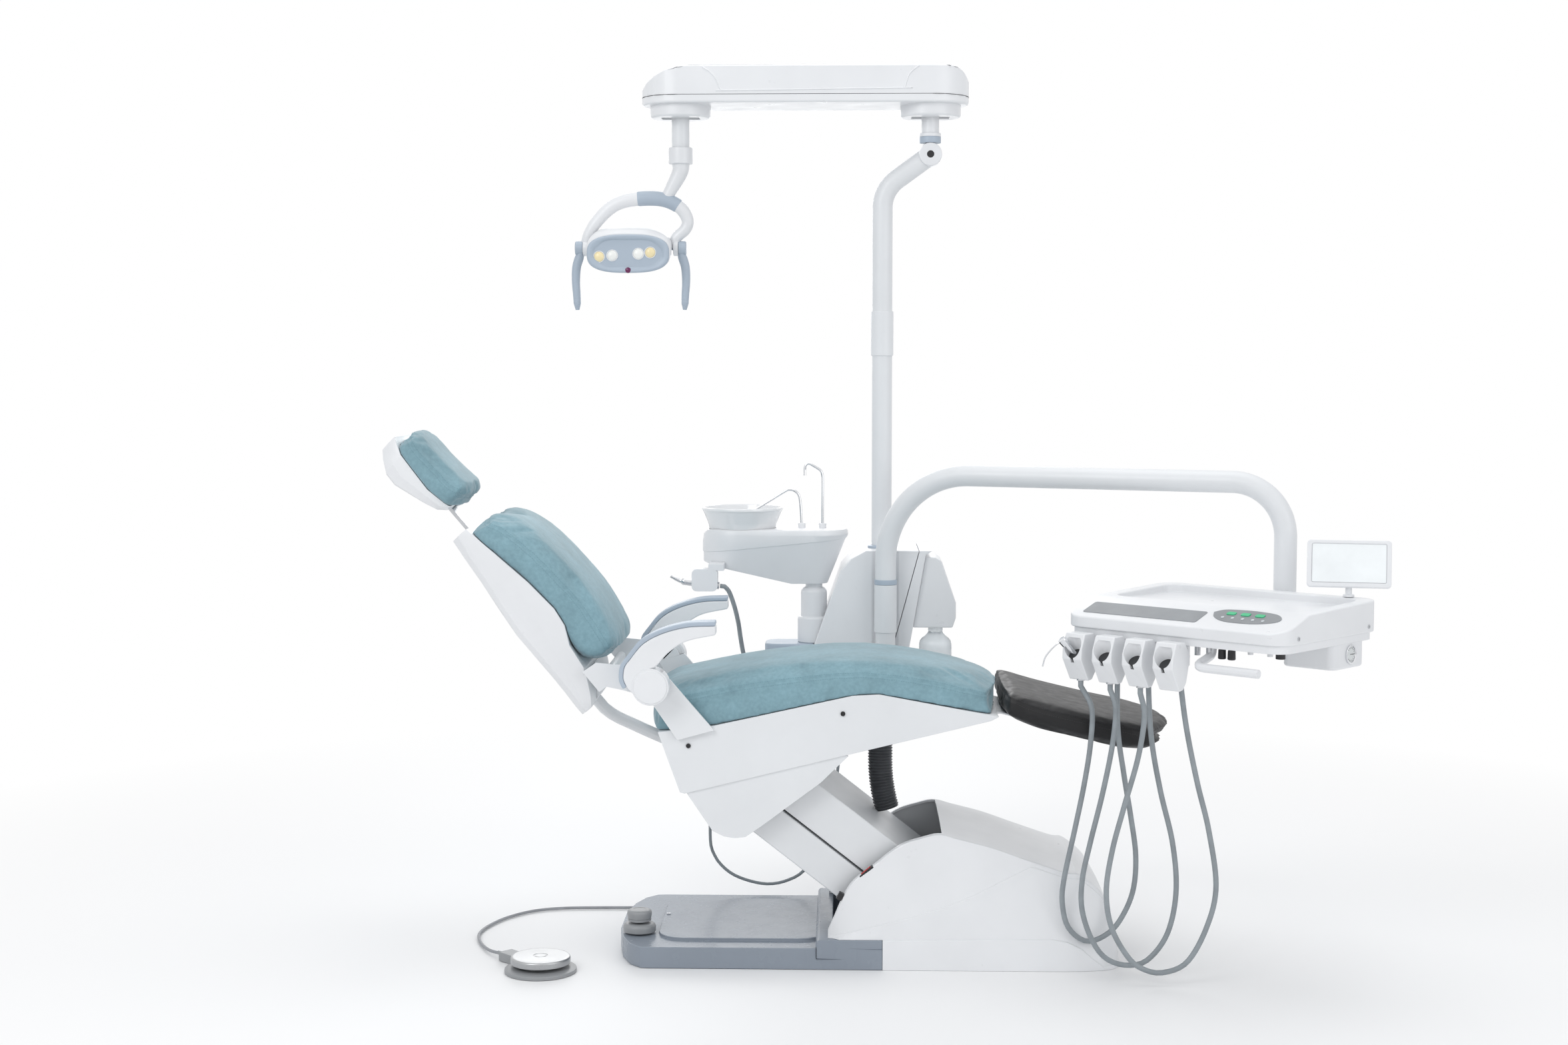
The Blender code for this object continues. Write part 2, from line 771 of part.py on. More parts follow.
def cushion(stations, half_width, first_shift, last_shift, matrix):
    """Return a crowned cushion from stations of place, base, seam, crown and width share."""
    still = [0.0] * len(stations)
    still[0], still[1], still[-2], still[-1] = 1.0, 0.5, 0.5, 1.0
    rings = []
    last = len(stations) - 1
    for i, (x, base, seam, crown, share) in enumerate(stations):
        bend = first_shift if i < len(stations) / 2 else last_shift
        weight = still[i]
        rings.append(cushion_ring(
            x, base, seam, crown, half_width * share,
            lambda across, bend=bend, weight=weight: weight * bend(across),
        ))
    caps = []
    for i in (0, last):
        x, base, seam, crown, share = stations[i]
        middle = (base + crown) / 2
        caps.append([(px, py * 0.9, middle + (pz - middle) * 0.8) for px, py, pz in rings[i]])
    return refined(loft([caps[0]] + rings + [caps[1]], matrix))


# Base
BASE_END_SHARES = ((0.861, 0.992), (0.897, 0.983), (0.941, 0.858), (0.975, 0.623), (0.995, 0.30))
CHEEK_SHARES = (
    (0, 0), (0.06, 0.42), (0.10, 0.56), (0.30, 0.90), (0.42, 1.0), (0.60, 1.0), (0.72, 0.90),
    (0.92, 0.30), (1.0, 0),
)


def make_base_frame():
    """Steel bottom plate with two cheeks that hold both base axles."""
    frame = part("base_frame", box(
        (PLATE_HALF_LENGTH * 2, PLATE_HALF_WIDTH * 2, PLATE_THICKNESS), (0, 0, PLATE_THICKNESS / 2),
    ), GREY, 0.5, 0.6)
    outline = scaled(CHEEK_SHARES, CHEEK_LEFT, PLATE_THICKNESS / 2, CHEEK_LENGTH, CHEEK_HEIGHT)
    outer = CHEEK_INNER + CHEEK_THICKNESS
    join(frame, side(outline, CHEEK_INNER, outer), side(outline, -outer, -CHEEK_INNER))
    for axle in link_pivots()[:2]:
        join(frame, rod(
            (axle.x, -outer - CLEAR, axle.y), (axle.x, outer + CLEAR, axle.y), AXLE_RADIUS, sides=16,
        ))
    return frame


def make_base_cover():
    """Moulded grey cover of the base, with its tread panel, raised rims and well."""
    reach = BASE_LEFT + BASE_BREAK
    far = [(BASE_BREAK - a * reach, b * BASE_HALF_WIDTH) for a, b in BASE_END_SHARES]
    outline = [(BASE_BREAK, BASE_HALF_WIDTH)] + far
    outline += [(x, -y) for x, y in reversed(outline)]
    cover = part("base_cover", plan(outline, 0, BASE_HEIGHT), BASE_GREY, 0.25)
    tread = rounded_box(
        -TREAD_LEFT, -TREAD_RIGHT + OVERRUN, -TREAD_HALF_WIDTH, TREAD_HALF_WIDTH, TREAD_CORNER,
    )
    tread = [(x if x < -TREAD_RIGHT else -TREAD_RIGHT + OVERRUN / 4, y) for x, y in tread]
    rim = (
        (-TREAD_RIGHT, BASE_HEIGHT / 2), (BASE_BREAK, BASE_HEIGHT / 2), (BASE_BREAK, RIM_HEIGHT),
        (-TREAD_RIGHT + OVERRUN / 4, RIM_HEIGHT), (-TREAD_RIGHT, RIM_HEIGHT - OVERRUN / 4),
    )
    join(
        cover, plan(tread, BASE_HEIGHT / 2, TREAD_HEIGHT),
        side(rim, -BASE_HALF_WIDTH + CLEAR, BASE_HALF_WIDTH - CLEAR),
    )
    wells = (BASE_BREAK + WELL_LEFT, WELL_HALF_WIDTH * 2, RIM_HEIGHT * 2)
    plate_room = (
        PLATE_HALF_LENGTH + BASE_BREAK + OVERRUN, (PLATE_HALF_WIDTH + CLEAR) * 2, PLATE_THICKNESS * 2,
    )
    cut(
        cover,
        box(plate_room, (
            -PLATE_HALF_LENGTH - CLEAR + plate_room[0] / 2, 0, CLEAR,
        )),
        box((wells[0] + OVERRUN, wells[1], wells[2]), (
            -WELL_LEFT + (wells[0] + OVERRUN) / 2, 0, PLATE_THICKNESS + RIM_HEIGHT,
        )),
    )
    return cover


HUMP_SHARES = (
    (0, 0.22, 1.0), (0.031, 0.347, 1.0), (0.086, 0.605, 1.0), (0.165, 0.756, 1.0),
    (0.254, 0.911, 1.0), (0.332, 0.973, 1.0), (0.391, 1.0, 1.0), (0.455, 0.966, 1.0),
    (0.569, 0.90, 1.0), (0.68, 0.814, 1.0), (0.814, 0.715, 0.995), (0.862, 0.698, 0.985),
    (0.938, 0.553, 0.955), (0.974, 0.344, 0.90), (1.0, 0.079, 0.80),
)


def hump_ring(along, rise, spread, inset):
    """Return the hump's cross-section at a share of its length."""
    length = HUMP_LEFT + HUMP_RIGHT
    x = -HUMP_LEFT + along * length
    top = max(rise * HUMP_HEIGHT - inset, CLEAR * 10)
    foot = BASE_HALF_WIDTH * spread - inset
    head = HUMP_TOP_HALF_WIDTH * spread - inset
    band = min(HUMP_BAND, top * 0.6)
    crease = min(band + (top - band) * min(max(along * 1.15 - 0.1, 0.1), 0.85), top * 0.9)
    lean = (crease - band) / (top - band)
    waist = foot + (head - foot) * lean + HUMP_BULGE
    half = [
        (foot, 0), (foot, band * 0.9), (foot - SHEET, band), (min(waist, foot - SHEET), crease),
        (head, top - min(SHEET * 2, top * 0.1)), (head - SHEET * 2, top), (0, top + HUMP_CROWN * rise),
    ]
    ring = [(x, y, z) for y, z in half]
    return ring + [(x, -y, z) for y, z in reversed(half[:-1])]


def make_rear_cover():
    """White moulded hump over the links, open on the side where they swing out."""
    shell = part("rear_cover", loft([hump_ring(*row, 0) for row in HUMP_SHARES]), WHITE, 0.35)
    inner_rows = [hump_ring(*row, HUMP_SHELL) for row in HUMP_SHARES[:-1]]
    low = [[(x, y, z if z > 0 else -OVERRUN) for x, y, z in ring] for ring in inner_rows]
    low[0] = [(x - OVERRUN, y, z) for x, y, z in low[0]]
    low[-1] = [(min(x, HUMP_RIGHT - HUMP_SHELL * 3), y, z) for x, y, z in low[-1]]
    mouth = HUMP_LEFT + HUMP_MOUTH_RIGHT + OVERRUN
    under = HUMP_LEFT + BASE_BREAK + OVERRUN
    cut(
        shell, loft(low),
        box((mouth, HUMP_MOUTH_HALF_WIDTH * 2, HUMP_HEIGHT), (
            HUMP_MOUTH_RIGHT - mouth / 2, 0, RIM_HEIGHT + HUMP_HEIGHT / 2,
        )),
        box((under, BASE_HALF_WIDTH * 2 + OVERRUN, RIM_HEIGHT * 2), (
            BASE_BREAK + CLEAR - under / 2, 0, CLEAR,
        )),
        box((ROCKER_LENGTH + CLEAR * 2, ROCKER_WIDTH + CLEAR * 2, OVERRUN * 2), Vector((
            ROCKER_X, -ROCKER_Y, ROCKER_Z,
        )), rocker_turn()),
    )
    return shell


def rocker_turn():
    """Return the rocker's turn about Y, along the hump's slanting edge."""
    return Matrix.Rotation(math.radians(-ROCKER_SLOPE_DEG), 4, "Y")


def make_power_rocker():
    """Red rocker in its black surround, edge-on beside the link opening."""
    centre = Vector((ROCKER_X, -ROCKER_Y, ROCKER_Z))
    rocker = part("power_rocker", box(
        (ROCKER_LENGTH, ROCKER_WIDTH, ROCKER_WIDTH), centre, rocker_turn(),
    ), RED, 0.3)
    carry("power_rocker_axis", centre, rocker)
    return rocker


# Foot controls
def make_foot_switch():
    """Two-way foot stick on the base: a skirt that tilts one way and a cap that tilts the other."""
    floor = BASE_HEIGHT + CLEAR
    place = Matrix.Translation((-SWITCH_X, -SWITCH_Y, floor))
    skirt_top = SKIRT_LIFT + SKIRT_HEIGHT
    skirt = part("foot_switch_skirt", turned((
        (0, skirt_top), (CAP_RADIUS, skirt_top), (SKIRT_RADIUS * 0.93, skirt_top - SHEET),
        (SKIRT_RADIUS, skirt_top - SHEET * 2), (SKIRT_RADIUS, SKIRT_LIFT), (HUB_RADIUS, 0), (0, 0),
    ), place), GREY, 0.45)
    base = skirt_top + CLEAR
    top = base + CAP_LIFT + CAP_HEIGHT
    cap = part("foot_switch_cap", turned((
        (0, top), (CAP_RADIUS * 0.6, top - CLEAR), (CAP_RADIUS * 0.9, top - SHEET),
        (CAP_RADIUS, top - SHEET * 2), (CAP_RADIUS * 0.94, base + CAP_LIFT), (HUB_RADIUS, base),
        (0, base),
    ), place), GREY, 0.4)
    axis = carry("foot_switch_axis", (-SWITCH_X, -SWITCH_Y, floor), skirt)
    cap_axis = carry("foot_switch_cap_axis", (-SWITCH_X, -SWITCH_Y, floor + base), cap)
    cap_axis.parent = axis
    cap_axis.matrix_parent_inverse = axis.matrix_world.inverted()
    return skirt, cap


PEDAL_CABLE_ROUTE = (
    (-0.400, 0.2450, 0.020), (-0.403, 0.2580, 0.0185), (-0.418, 0.270, 0.014),
    (-0.445, 0.2760, 0.008), (-0.480, 0.2765, 0.0045), (-0.537, 0.2745, 0.0045),
    (-0.636, 0.2715, 0.0045), (-0.727, 0.263, 0.0045),
    (-0.793, 0.234, 0.0045), (-0.845, 0.171, 0.0045), (-0.876, 0.096, 0.0045),
    (-0.887, 0.030, 0.0045), (-0.879, -0.026, 0.0045), (-0.862, -0.078, 0.0045),
    (-0.836, -0.131, 0.0075),
)


def make_pedal():
    """Round floor pedal: base on the floor, sprung disc, and its cable to the base."""
    centre = Vector((-PEDAL_X, -PEDAL_Y, 0))
    base = part("pedal_base", turned((
        (PEDAL_STEM_RADIUS + CLEAR, PEDAL_BASE_HEIGHT), (PEDAL_DISC_RADIUS, PEDAL_BASE_HEIGHT),
        (PEDAL_BASE_RADIUS, PEDAL_BASE_HEIGHT * 0.6), (PEDAL_BASE_RADIUS, 0),
        (0, 0), (0, SHEET / 2), (PEDAL_STEM_RADIUS + CLEAR, SHEET / 2),
        (PEDAL_STEM_RADIUS + CLEAR, PEDAL_BASE_HEIGHT),
    ), Matrix.Translation(centre), 32), BLUE_GREY, 0.5)
    turn_z = math.radians(135)
    reach = PEDAL_BASE_RADIUS + PEDAL_BOX_LENGTH * 0.35
    place = centre + Vector((reach * math.cos(turn_z), reach * math.sin(turn_z), PEDAL_BOX_HEIGHT / 2))
    join(base, box(
        (PEDAL_BOX_LENGTH, PEDAL_BOX_WIDTH, PEDAL_BOX_HEIGHT), place + Vector((0, 0, CLEAR)),
        Matrix.Rotation(turn_z, 4, "Z"),
    ))
    stem_foot = PEDAL_BASE_HEIGHT * 0.55
    disc = part("pedal_disc", turned((
        (0, PEDAL_DISC_TOP), (PEDAL_DISC_RADIUS * 0.9, PEDAL_DISC_TOP - CLEAR * 4),
        (PEDAL_DISC_RADIUS, PEDAL_DISC_TOP - SHEET), (PEDAL_DISC_RADIUS, PEDAL_DISC_BOTTOM),
        (PEDAL_STEM_RADIUS, PEDAL_DISC_BOTTOM), (PEDAL_STEM_RADIUS, stem_foot), (0, stem_foot),
    ), Matrix.Translation(centre), 28), STEEL, 0.3, 1.0)
    carry("pedal_disc_axis", centre, disc)
    route = [Vector(point) for point in PEDAL_CABLE_ROUTE]
    start = Vector((route[0].x, BASE_HALF_WIDTH - CLEAR * 4, route[0].z))
    run = Vector((math.cos(turn_z), math.sin(turn_z), 0))
    plug = place + Vector((0, 0, CLEAR)) + run * (PEDAL_BOX_LENGTH / 2 + CLEAR)
    route.append(plug + run * CABLE_RADIUS * 4)
    cable = part("pedal_cable", tube([start] + smooth(route, 46) + [plug], CABLE_RADIUS), GREY, 0.5)
    return base, disc, cable


# Lifting links
def stadium(start, end, radius, steps=8):
    """Return an outline with round ends about two points."""
    run = Vector(end) - Vector(start)
    turn = math.degrees(math.atan2(run.y, run.x))
    return (arc(start[0], start[1], radius, turn + 90, turn + 270, steps)
            + arc(end[0], end[1], radius, turn - 90, turn + 90, steps))


def make_link(name, axle, seat, depth, colour):
    """Box-shaped lifting link with round ends, bored for both its axles."""
    link = part(name, side(stadium(axle, seat, depth / 2), -LINK_HALF_WIDTH, LINK_HALF_WIDTH), colour)
    for place in (axle, seat):
        cut(link, bore(
            (place.x, -LINK_HALF_WIDTH - OVERRUN, place.y),
            (place.x, LINK_HALF_WIDTH + OVERRUN, place.y), AXLE_RADIUS,
        ))
    return link


def make_links():
    """Parallel pair of links between the base axles and the seat's pivots."""
    upper_axle, lower_axle, upper_seat, lower_seat = link_pivots()
    upper = make_link("upper_link", upper_axle, upper_seat, UPPER_LINK_DEPTH, WHITE)
    lower = make_link("lower_link", lower_axle, lower_seat, LOWER_LINK_DEPTH, WHITE)
    carry("upper_link_axis", (upper_axle.x, 0, upper_axle.y), upper)
    carry("lower_link_axis", (lower_axle.x, 0, lower_axle.y), lower)
    return upper, lower


# Seat
PAN_TOP_SHARES = (
    (0, 0.614), (0.167, 0.682), (0.4186, 0.873), (0.572, 0.986), (0.650, 1.0), (0.8035, 0.909),
    (1.0, 0.782),
)
TONGUE_ROOT_SHARES = ((0.957, 0.772), (1.0135, 0.770))
PAN_BOTTOM_SHARES = ((0.977, 0.741), (0.689, 0.514), (0.078, 0.0), (0.0646, 0.0136))


def pan_line(shares, lift=0):
    """Return points of the pan's outline, given from the seat's datum."""
    datum = seat_datum()
    return scaled(shares, datum.x - PAN_LEFT, datum.z + PAN_BOTTOM + lift, PAN_LENGTH, PAN_HEIGHT)


def make_seat_frame():
    """Pressed seat pan, open below and behind, with its beam, post, sleeve and front tongue."""
    datum = seat_datum()
    frame = part("seat_frame", side(
        pan_line(PAN_TOP_SHARES + PAN_BOTTOM_SHARES), -PAN_HALF_WIDTH, PAN_HALF_WIDTH,
    ), WHITE, 0.4)
    top = pan_line(PAN_TOP_SHARES[:-1], -SHEET)
    room = [(top[0][0] - OVERRUN, top[0][1])] + top[1:]
    tip = pan_line(((0.94, 0.70),))[0]
    room += [
        tip, (tip[0], datum.z + PAN_BOTTOM - OVERRUN),
        (top[0][0] - OVERRUN, datum.z + PAN_BOTTOM - OVERRUN),
    ]
    inner = PAN_HALF_WIDTH - SHEET
    cut(frame, side(room, -inner, inner))
    root = pan_line(TONGUE_ROOT_SHARES)
    run = (FOOT_BASE_SHARES[1][0] * FOOT_CUSHION_LENGTH + SEAT_CUSHION_LENGTH - SEAT_CUSHION_LEFT, TONGUE_END)
    tongue = root + [(datum.x + x, datum.z + foot_base(x) - CLEAR * 2) for x in run]
    tongue += [(x, z - SHEET) for x, z in reversed(tongue)]
    beam_near = inner - SHEET / 2
    beam_far = BOX_NEAR - CLEAR
    beam = box(
        (BEAM_WIDTH, beam_far - beam_near, BEAM_HEIGHT),
        seat_point(POST_X + CLEAR * 10, (beam_far + beam_near) / 2, BEAM_BOTTOM + BEAM_HEIGHT / 2),
    )
    foot = seat_point(POST_X, POST_Y, BEAM_BOTTOM + BEAM_HEIGHT / 2)
    post = rod(foot, seat_point(POST_X, POST_Y, SLEEVE_BOTTOM + OVERRUN), POST_RADIUS)
    sleeve = rod(
        seat_point(POST_X, POST_Y, SLEEVE_BOTTOM), seat_point(POST_X, POST_Y, SLEEVE_TOP), SLEEVE_RADIUS,
    )
    join(frame, side(tongue, -TONGUE_HALF_WIDTH, TONGUE_HALF_WIDTH), beam, post, sleeve)
    cut(frame, bore(
        seat_point(POST_X, POST_Y, SLEEVE_TOP - SPIGOT_LENGTH),
        seat_point(POST_X, POST_Y, SLEEVE_TOP + OVERRUN), SPIGOT_RADIUS, 24,
    ))
    return frame


BRACKET_SHARES = (
    (0, 0.768), (0.014, 0.531), (0.177, 0.082), (0.244, 0.021), (0.31, 0.0), (0.377, 0.015),
    (0.46, 0.119), (0.834, 0.639), (1.0, 0.943), (0.936, 1.0),
)


def make_link_bracket():
    """Two vee-shaped plates inside the pan, with a wall between them and both seat pivots."""
    datum = seat_datum()
    outline = scaled(
        BRACKET_SHARES, datum.x - BRACKET_LEFT, datum.z + BRACKET_BOTTOM, BRACKET_LENGTH, BRACKET_HEIGHT,
    )
    inner = BRACKET_OUTER - BRACKET_SHEET
    bracket = part("link_bracket", side(outline, -BRACKET_OUTER, -inner), WHITE, 0.4)
    edge = offset_line(outline[:3], -CLEAR)
    wall = edge + list(reversed(offset_line(edge, -BRACKET_SHEET)))
    join(
        bracket, side(wall, -BRACKET_OUTER + CLEAR, BRACKET_OUTER - CLEAR),
        side(outline, inner, BRACKET_OUTER),
    )
    for place in link_pivots()[2:]:
        join(bracket, rod(
            (place.x, -inner - CLEAR * 4, place.y), (place.x, inner + CLEAR * 4, place.y),
            AXLE_RADIUS, sides=16,
        ))
    return bracket


SEAT_STATION_SHARES = (
    (0.0, 0.06, 0.48, 0.58, 0.93), (0.05, 0.03, 0.535, 0.66, 0.985), (0.125, 0.05, 0.555, 0.71, 1.0),
    (0.25, 0.10, 0.665, 0.84, 1.0), (0.434, 0.24, 0.78, 0.955, 1.0), (0.615, 0.40, 0.85, 1.0, 1.0),
    (0.80, 0.38, 0.74, 0.895, 1.0), (0.93, 0.25, 0.635, 0.76, 0.985), (1.0, 0.24, 0.58, 0.67, 0.95),
)


def make_seat_cushion():
    """Crowned seat cushion, trimmed by the pan that it lies on."""
    datum = seat_datum()
    left = datum.x - SEAT_CUSHION_LEFT
    rows = []
    for along, base, seam, crown, share in SEAT_STATION_SHARES:
        levels = [datum.z + SEAT_CUSHION_BASE + level * SEAT_CUSHION_RISE for level in (base, seam, crown)]
        rows.append((left + along * SEAT_CUSHION_LENGTH, *levels, share))
    body = cushion(
        rows, SEAT_CUSHION_HALF_WIDTH,
        lambda across: SHEET * 5 * across ** 4, lambda across: -SHEET * 7 * across ** 4, Matrix(),
    )
    seat = part("seat_cushion", body, TEAL, 0.6)
    top = pan_line(PAN_TOP_SHARES, CLEAR * 2)
    floor = datum.z + PAN_BOTTOM
    start = (top[0][0] - SEAT_CUSHION_LEFT, top[0][1] + CLEAR)
    end = (top[-1][0] + OVERRUN * 2, top[-1][1] - OVERRUN * 0.2)
    cut(seat, side(
        [start] + top + [end, (end[0], floor), (start[0], floor)], -PAN_HALF_WIDTH * 2, PAN_HALF_WIDTH * 2,
    ))
    return seat


FOOT_BASE_SHARES = ((0, 1.0), (0.18, 0.70), (0.466, 0.342), (0.684, 0.08), (0.83, 0.0), (1.0, 0.05))
FOOT_STATION_SHARES = (
    (0.0, 0.80, 0.96, 0.97), (0.05, 0.86, 1.0, 1.0), (0.20, 0.82, 1.02, 1.0),
    (0.42, 0.82, 1.02, 1.0), (0.62, 0.82, 1.02, 1.0), (0.80, 0.80, 0.98, 0.98),
    (0.93, 0.66, 0.86, 0.92), (1.0, 0.42, 0.60, 0.80),
)


def foot_base(x):
    """Return the underside height of the foot cushion at an X, both from the seat's datum."""
    left = SEAT_CUSHION_LENGTH - SEAT_CUSHION_LEFT + CLEAR * 2
    share = min(max((x - left) / FOOT_CUSHION_LENGTH, 0), 1)
    low = FOOT_CUSHION_TOP - FOOT_CUSHION_THICKNESS - FOOT_CUSHION_DROP
    for (a, low_a), (b, low_b) in zip(FOOT_BASE_SHARES, FOOT_BASE_SHARES[1:]):
        if share <= b:
            return low + FOOT_CUSHION_DROP * (low_a + (low_b - low_a) * (share - a) / (b - a))
    return low


def make_foot_cushion():
    """Foot end of the upholstery, sloping down to its rounded tip."""
    datum = seat_datum()
    left = SEAT_CUSHION_LENGTH - SEAT_CUSHION_LEFT + CLEAR * 2
    rows = []
    for along, seam, crown, share in FOOT_STATION_SHARES:
        x = left + along * FOOT_CUSHION_LENGTH
        base = foot_base(x)
        rows.append((
            datum.x + x, datum.z + base - SHEET * (2 if along < 0.7 else 0),
            datum.z + base + seam * FOOT_CUSHION_THICKNESS,
            datum.z + base + crown * FOOT_CUSHION_THICKNESS, share,
        ))
    body = cushion(
        rows, FOOT_CUSHION_HALF_WIDTH, lambda across: 0,
        lambda across: -SHEET * 22 * across ** 3, Matrix(),
    )
    foot = part("foot_cushion", body, BLACK, 0.45)
    points = [(datum.x + left + a * FOOT_CUSHION_LENGTH, 0) for a, _ in FOOT_BASE_SHARES[:-1]]
    line = [(x, datum.z + foot_base(x - datum.x)) for x, _ in points]
    line = [
        (line[0][0] - OVERRUN, line[0][1] + OVERRUN * 0.3),
    ] + line + [(line[-1][0] + OVERRUN * 5, line[-1][1])]
    low = datum.z + PAN_BOTTOM
    cut(foot, side(line + [(line[-1][0], low), (line[0][0], low)], -PAN_HALF_WIDTH * 2, PAN_HALF_WIDTH * 2))
    front = datum.x + SEAT_CUSHION_LENGTH - SEAT_CUSHION_LEFT + CLEAR
    cut(foot, box(
        (OVERRUN * 4, PAN_HALF_WIDTH * 4, PAN_HEIGHT * 2),
        (front - OVERRUN * 2, 0, datum.z + FOOT_CUSHION_TOP),
    ))
    return foot


def make_conduit_hose():
    """Ribbed hose with its bore, from under the seat down into the hump."""
    bottom_shift = SHEET * 4
    top = seat_point(CONDUIT_X, CONDUIT_Y, CONDUIT_TOP)
    low = Vector((top.x + bottom_shift, CONDUIT_Y, CONDUIT_BOTTOM))
    straight = (CONDUIT_RADIUS + CONDUIT_RIB) * 0.8
    rings = []
    places = [(0, CONDUIT_RADIUS)]
    length = top.z - low.z
    pitch = (length - straight * 2) / CONDUIT_RIBS
    for i in range(CONDUIT_RIBS):
        places.append((straight + pitch * i, CONDUIT_RADIUS))
        places.append((straight + pitch * (i + 0.5), CONDUIT_RADIUS + CONDUIT_RIB))
    places += [(length - straight, CONDUIT_RADIUS), (length, CONDUIT_RADIUS)]
    sides = 12

    def ring_at(fallen, radius):
        share = max(fallen / length * 2 - 1, 0)
        x = top.x + bottom_shift * share ** 2
        turns = [math.tau * k / sides for k in range(sides)]
        return [(x + radius * math.cos(a), CONDUIT_Y + radius * math.sin(a), top.z - fallen) for a in turns]

    for fallen, radius in places:
        rings.append(ring_at(fallen, radius))
    hose = part("conduit_hose", loft(rings), DARK, 0.5)
    inside = [ring_at(length * k / 6, CONDUIT_BORE) for k in range(7)]
    inside[0] = [(x, y, z + OVERRUN) for x, y, z in inside[0]]
    inside[-1] = [(x, y, z - OVERRUN) for x, y, z in inside[-1]]
    cut(hose, loft(inside))
    return hose


# Backrest
JOINT_SHARES = (
    (0.205, -0.52), (0.224, -0.475), (0.3355, -0.4325), (0.411, -0.332), (0.49, -0.2995),
    (0.641, -0.3295), (0.817, -0.4035), (0.9645, -0.475), (1.05, -0.52),
)
BACK_STATION_SHARES = (
    (0.159, -0.30, -0.175, -0.085, 0.93), (0.20, -0.42, -0.14, -0.03, 0.985),
    (0.30, -0.50, -0.10, 0.03, 1.0), (0.411, -0.40, -0.045, 0.08, 1.0),
    (0.49, -0.37, -0.038, 0.0875, 1.0), (0.641, -0.40, -0.045, 0.08, 1.0),
    (0.80, -0.47, -0.09, 0.03, 1.0), (0.912, -0.54, -0.18, -0.07, 0.985),
    (0.985, -0.58, -0.26, -0.17, 0.93),
)
SHELL_STATION_SHARES = (
    (0.083, -0.8775, -0.70, 0.93), (0.12, -0.87, -0.62, 0.98), (0.20, -0.855, -0.50, 1.0),
    (0.28, -0.85, -0.42, 1.0), (0.40, -0.852, -0.30, 1.0), (0.507, -0.85, -0.25, 1.0),
    (0.64, -0.81, -0.30, 1.0), (0.76, -0.767, -0.34, 1.0), (0.88, -0.74, -0.42, 0.98),
    (0.968, -0.72, -0.46, 0.93),
)


def back_joint(lift):
    """Return the line where the backrest's cushion meets its shell."""
    return [(a * BACK_LENGTH, b * BACK_DEPTH + lift) for a, b in JOINT_SHARES]


def make_backrest_shell():
    """White moulded shell behind the backrest, with the slot of the headrest's bar."""
    rings = []
    for along, rear, front, share in SHELL_STATION_SHARES:
        x = along * BACK_LENGTH
        back, face = rear * BACK_DEPTH, front * BACK_DEPTH
        wide = SHELL_HALF_WIDTH * share
        half = [
            (0, back), (wide * 0.55, back), (wide * 0.88, back + SHEET * 1.2),
            (wide * 0.98, back + SHEET * 5), (wide, (back + face) / 2), (wide, face), (0, face),
        ]
        ring = [(x, y, z) for y, z in half]
        rings.append(ring + [(x, -y, z) for y, z in reversed(half[1:-1])])
    shell = part("backrest_shell", loft(rings, back_frame()), WHITE, 0.35)
    line = back_joint(0)
    wide = SHELL_HALF_WIDTH * 2
    cut(shell, side(line + [(line[-1][0], BACK_DEPTH), (line[0][0], BACK_DEPTH)], -wide, wide, back_frame()))
    slot_half = HEAD_BAR_HALF_WIDTH + CLEAR
    foot = HEAD_BAR_FOOT - OVERRUN
    slot = HEAD_BAR_THICKNESS / 2 + CLEAR
    cut(shell, side(
        ((foot, -HEAD_PIVOT_DEPTH - slot), (BACK_LENGTH + OVERRUN, -HEAD_PIVOT_DEPTH - slot),
         (BACK_LENGTH + OVERRUN, -HEAD_PIVOT_DEPTH + slot), (foot, -HEAD_PIVOT_DEPTH + slot)),
        -slot_half, slot_half, back_frame(),
    ))
    return shell


def make_backrest_cushion():
    """Crowned backrest cushion with two lobes at its top."""
    rows = []
    for along, base, seam, crown, share in BACK_STATION_SHARES:
        levels = [level * BACK_DEPTH for level in (base, seam, crown)]
        rows.append((along * BACK_LENGTH, *levels, share))

    def lobes(across):
        notch = -SHEET * 5 * max(1 - across / 0.6, 0)
        return notch - SHEET * 6 * max(across - 0.6, 0) ** 2 / 0.16

    body = cushion(
        rows, BACK_HALF_WIDTH, lambda across: SHEET * 6 * across ** 4, lobes, back_frame(),
    )
    back = part("backrest_cushion", body, TEAL, 0.6)
    line = back_joint(CLEAR * 2)
    wide = BACK_HALF_WIDTH * 2
    line = [(line[0][0] - CLEAR, line[0][1])] + line[1:]
    cut(back, side(line + [(line[-1][0], -BACK_DEPTH), (line[0][0], -BACK_DEPTH)], -wide, wide, back_frame()))
    return back


EAR_SHARES = (
    (-1.0, 0.26), (-0.808, 0.46), (-0.457, 0.41), (0, 0.30), (0, -0.30), (-0.437, -0.13),
    (-0.66, -0.06), (-0.762, -0.18),
)


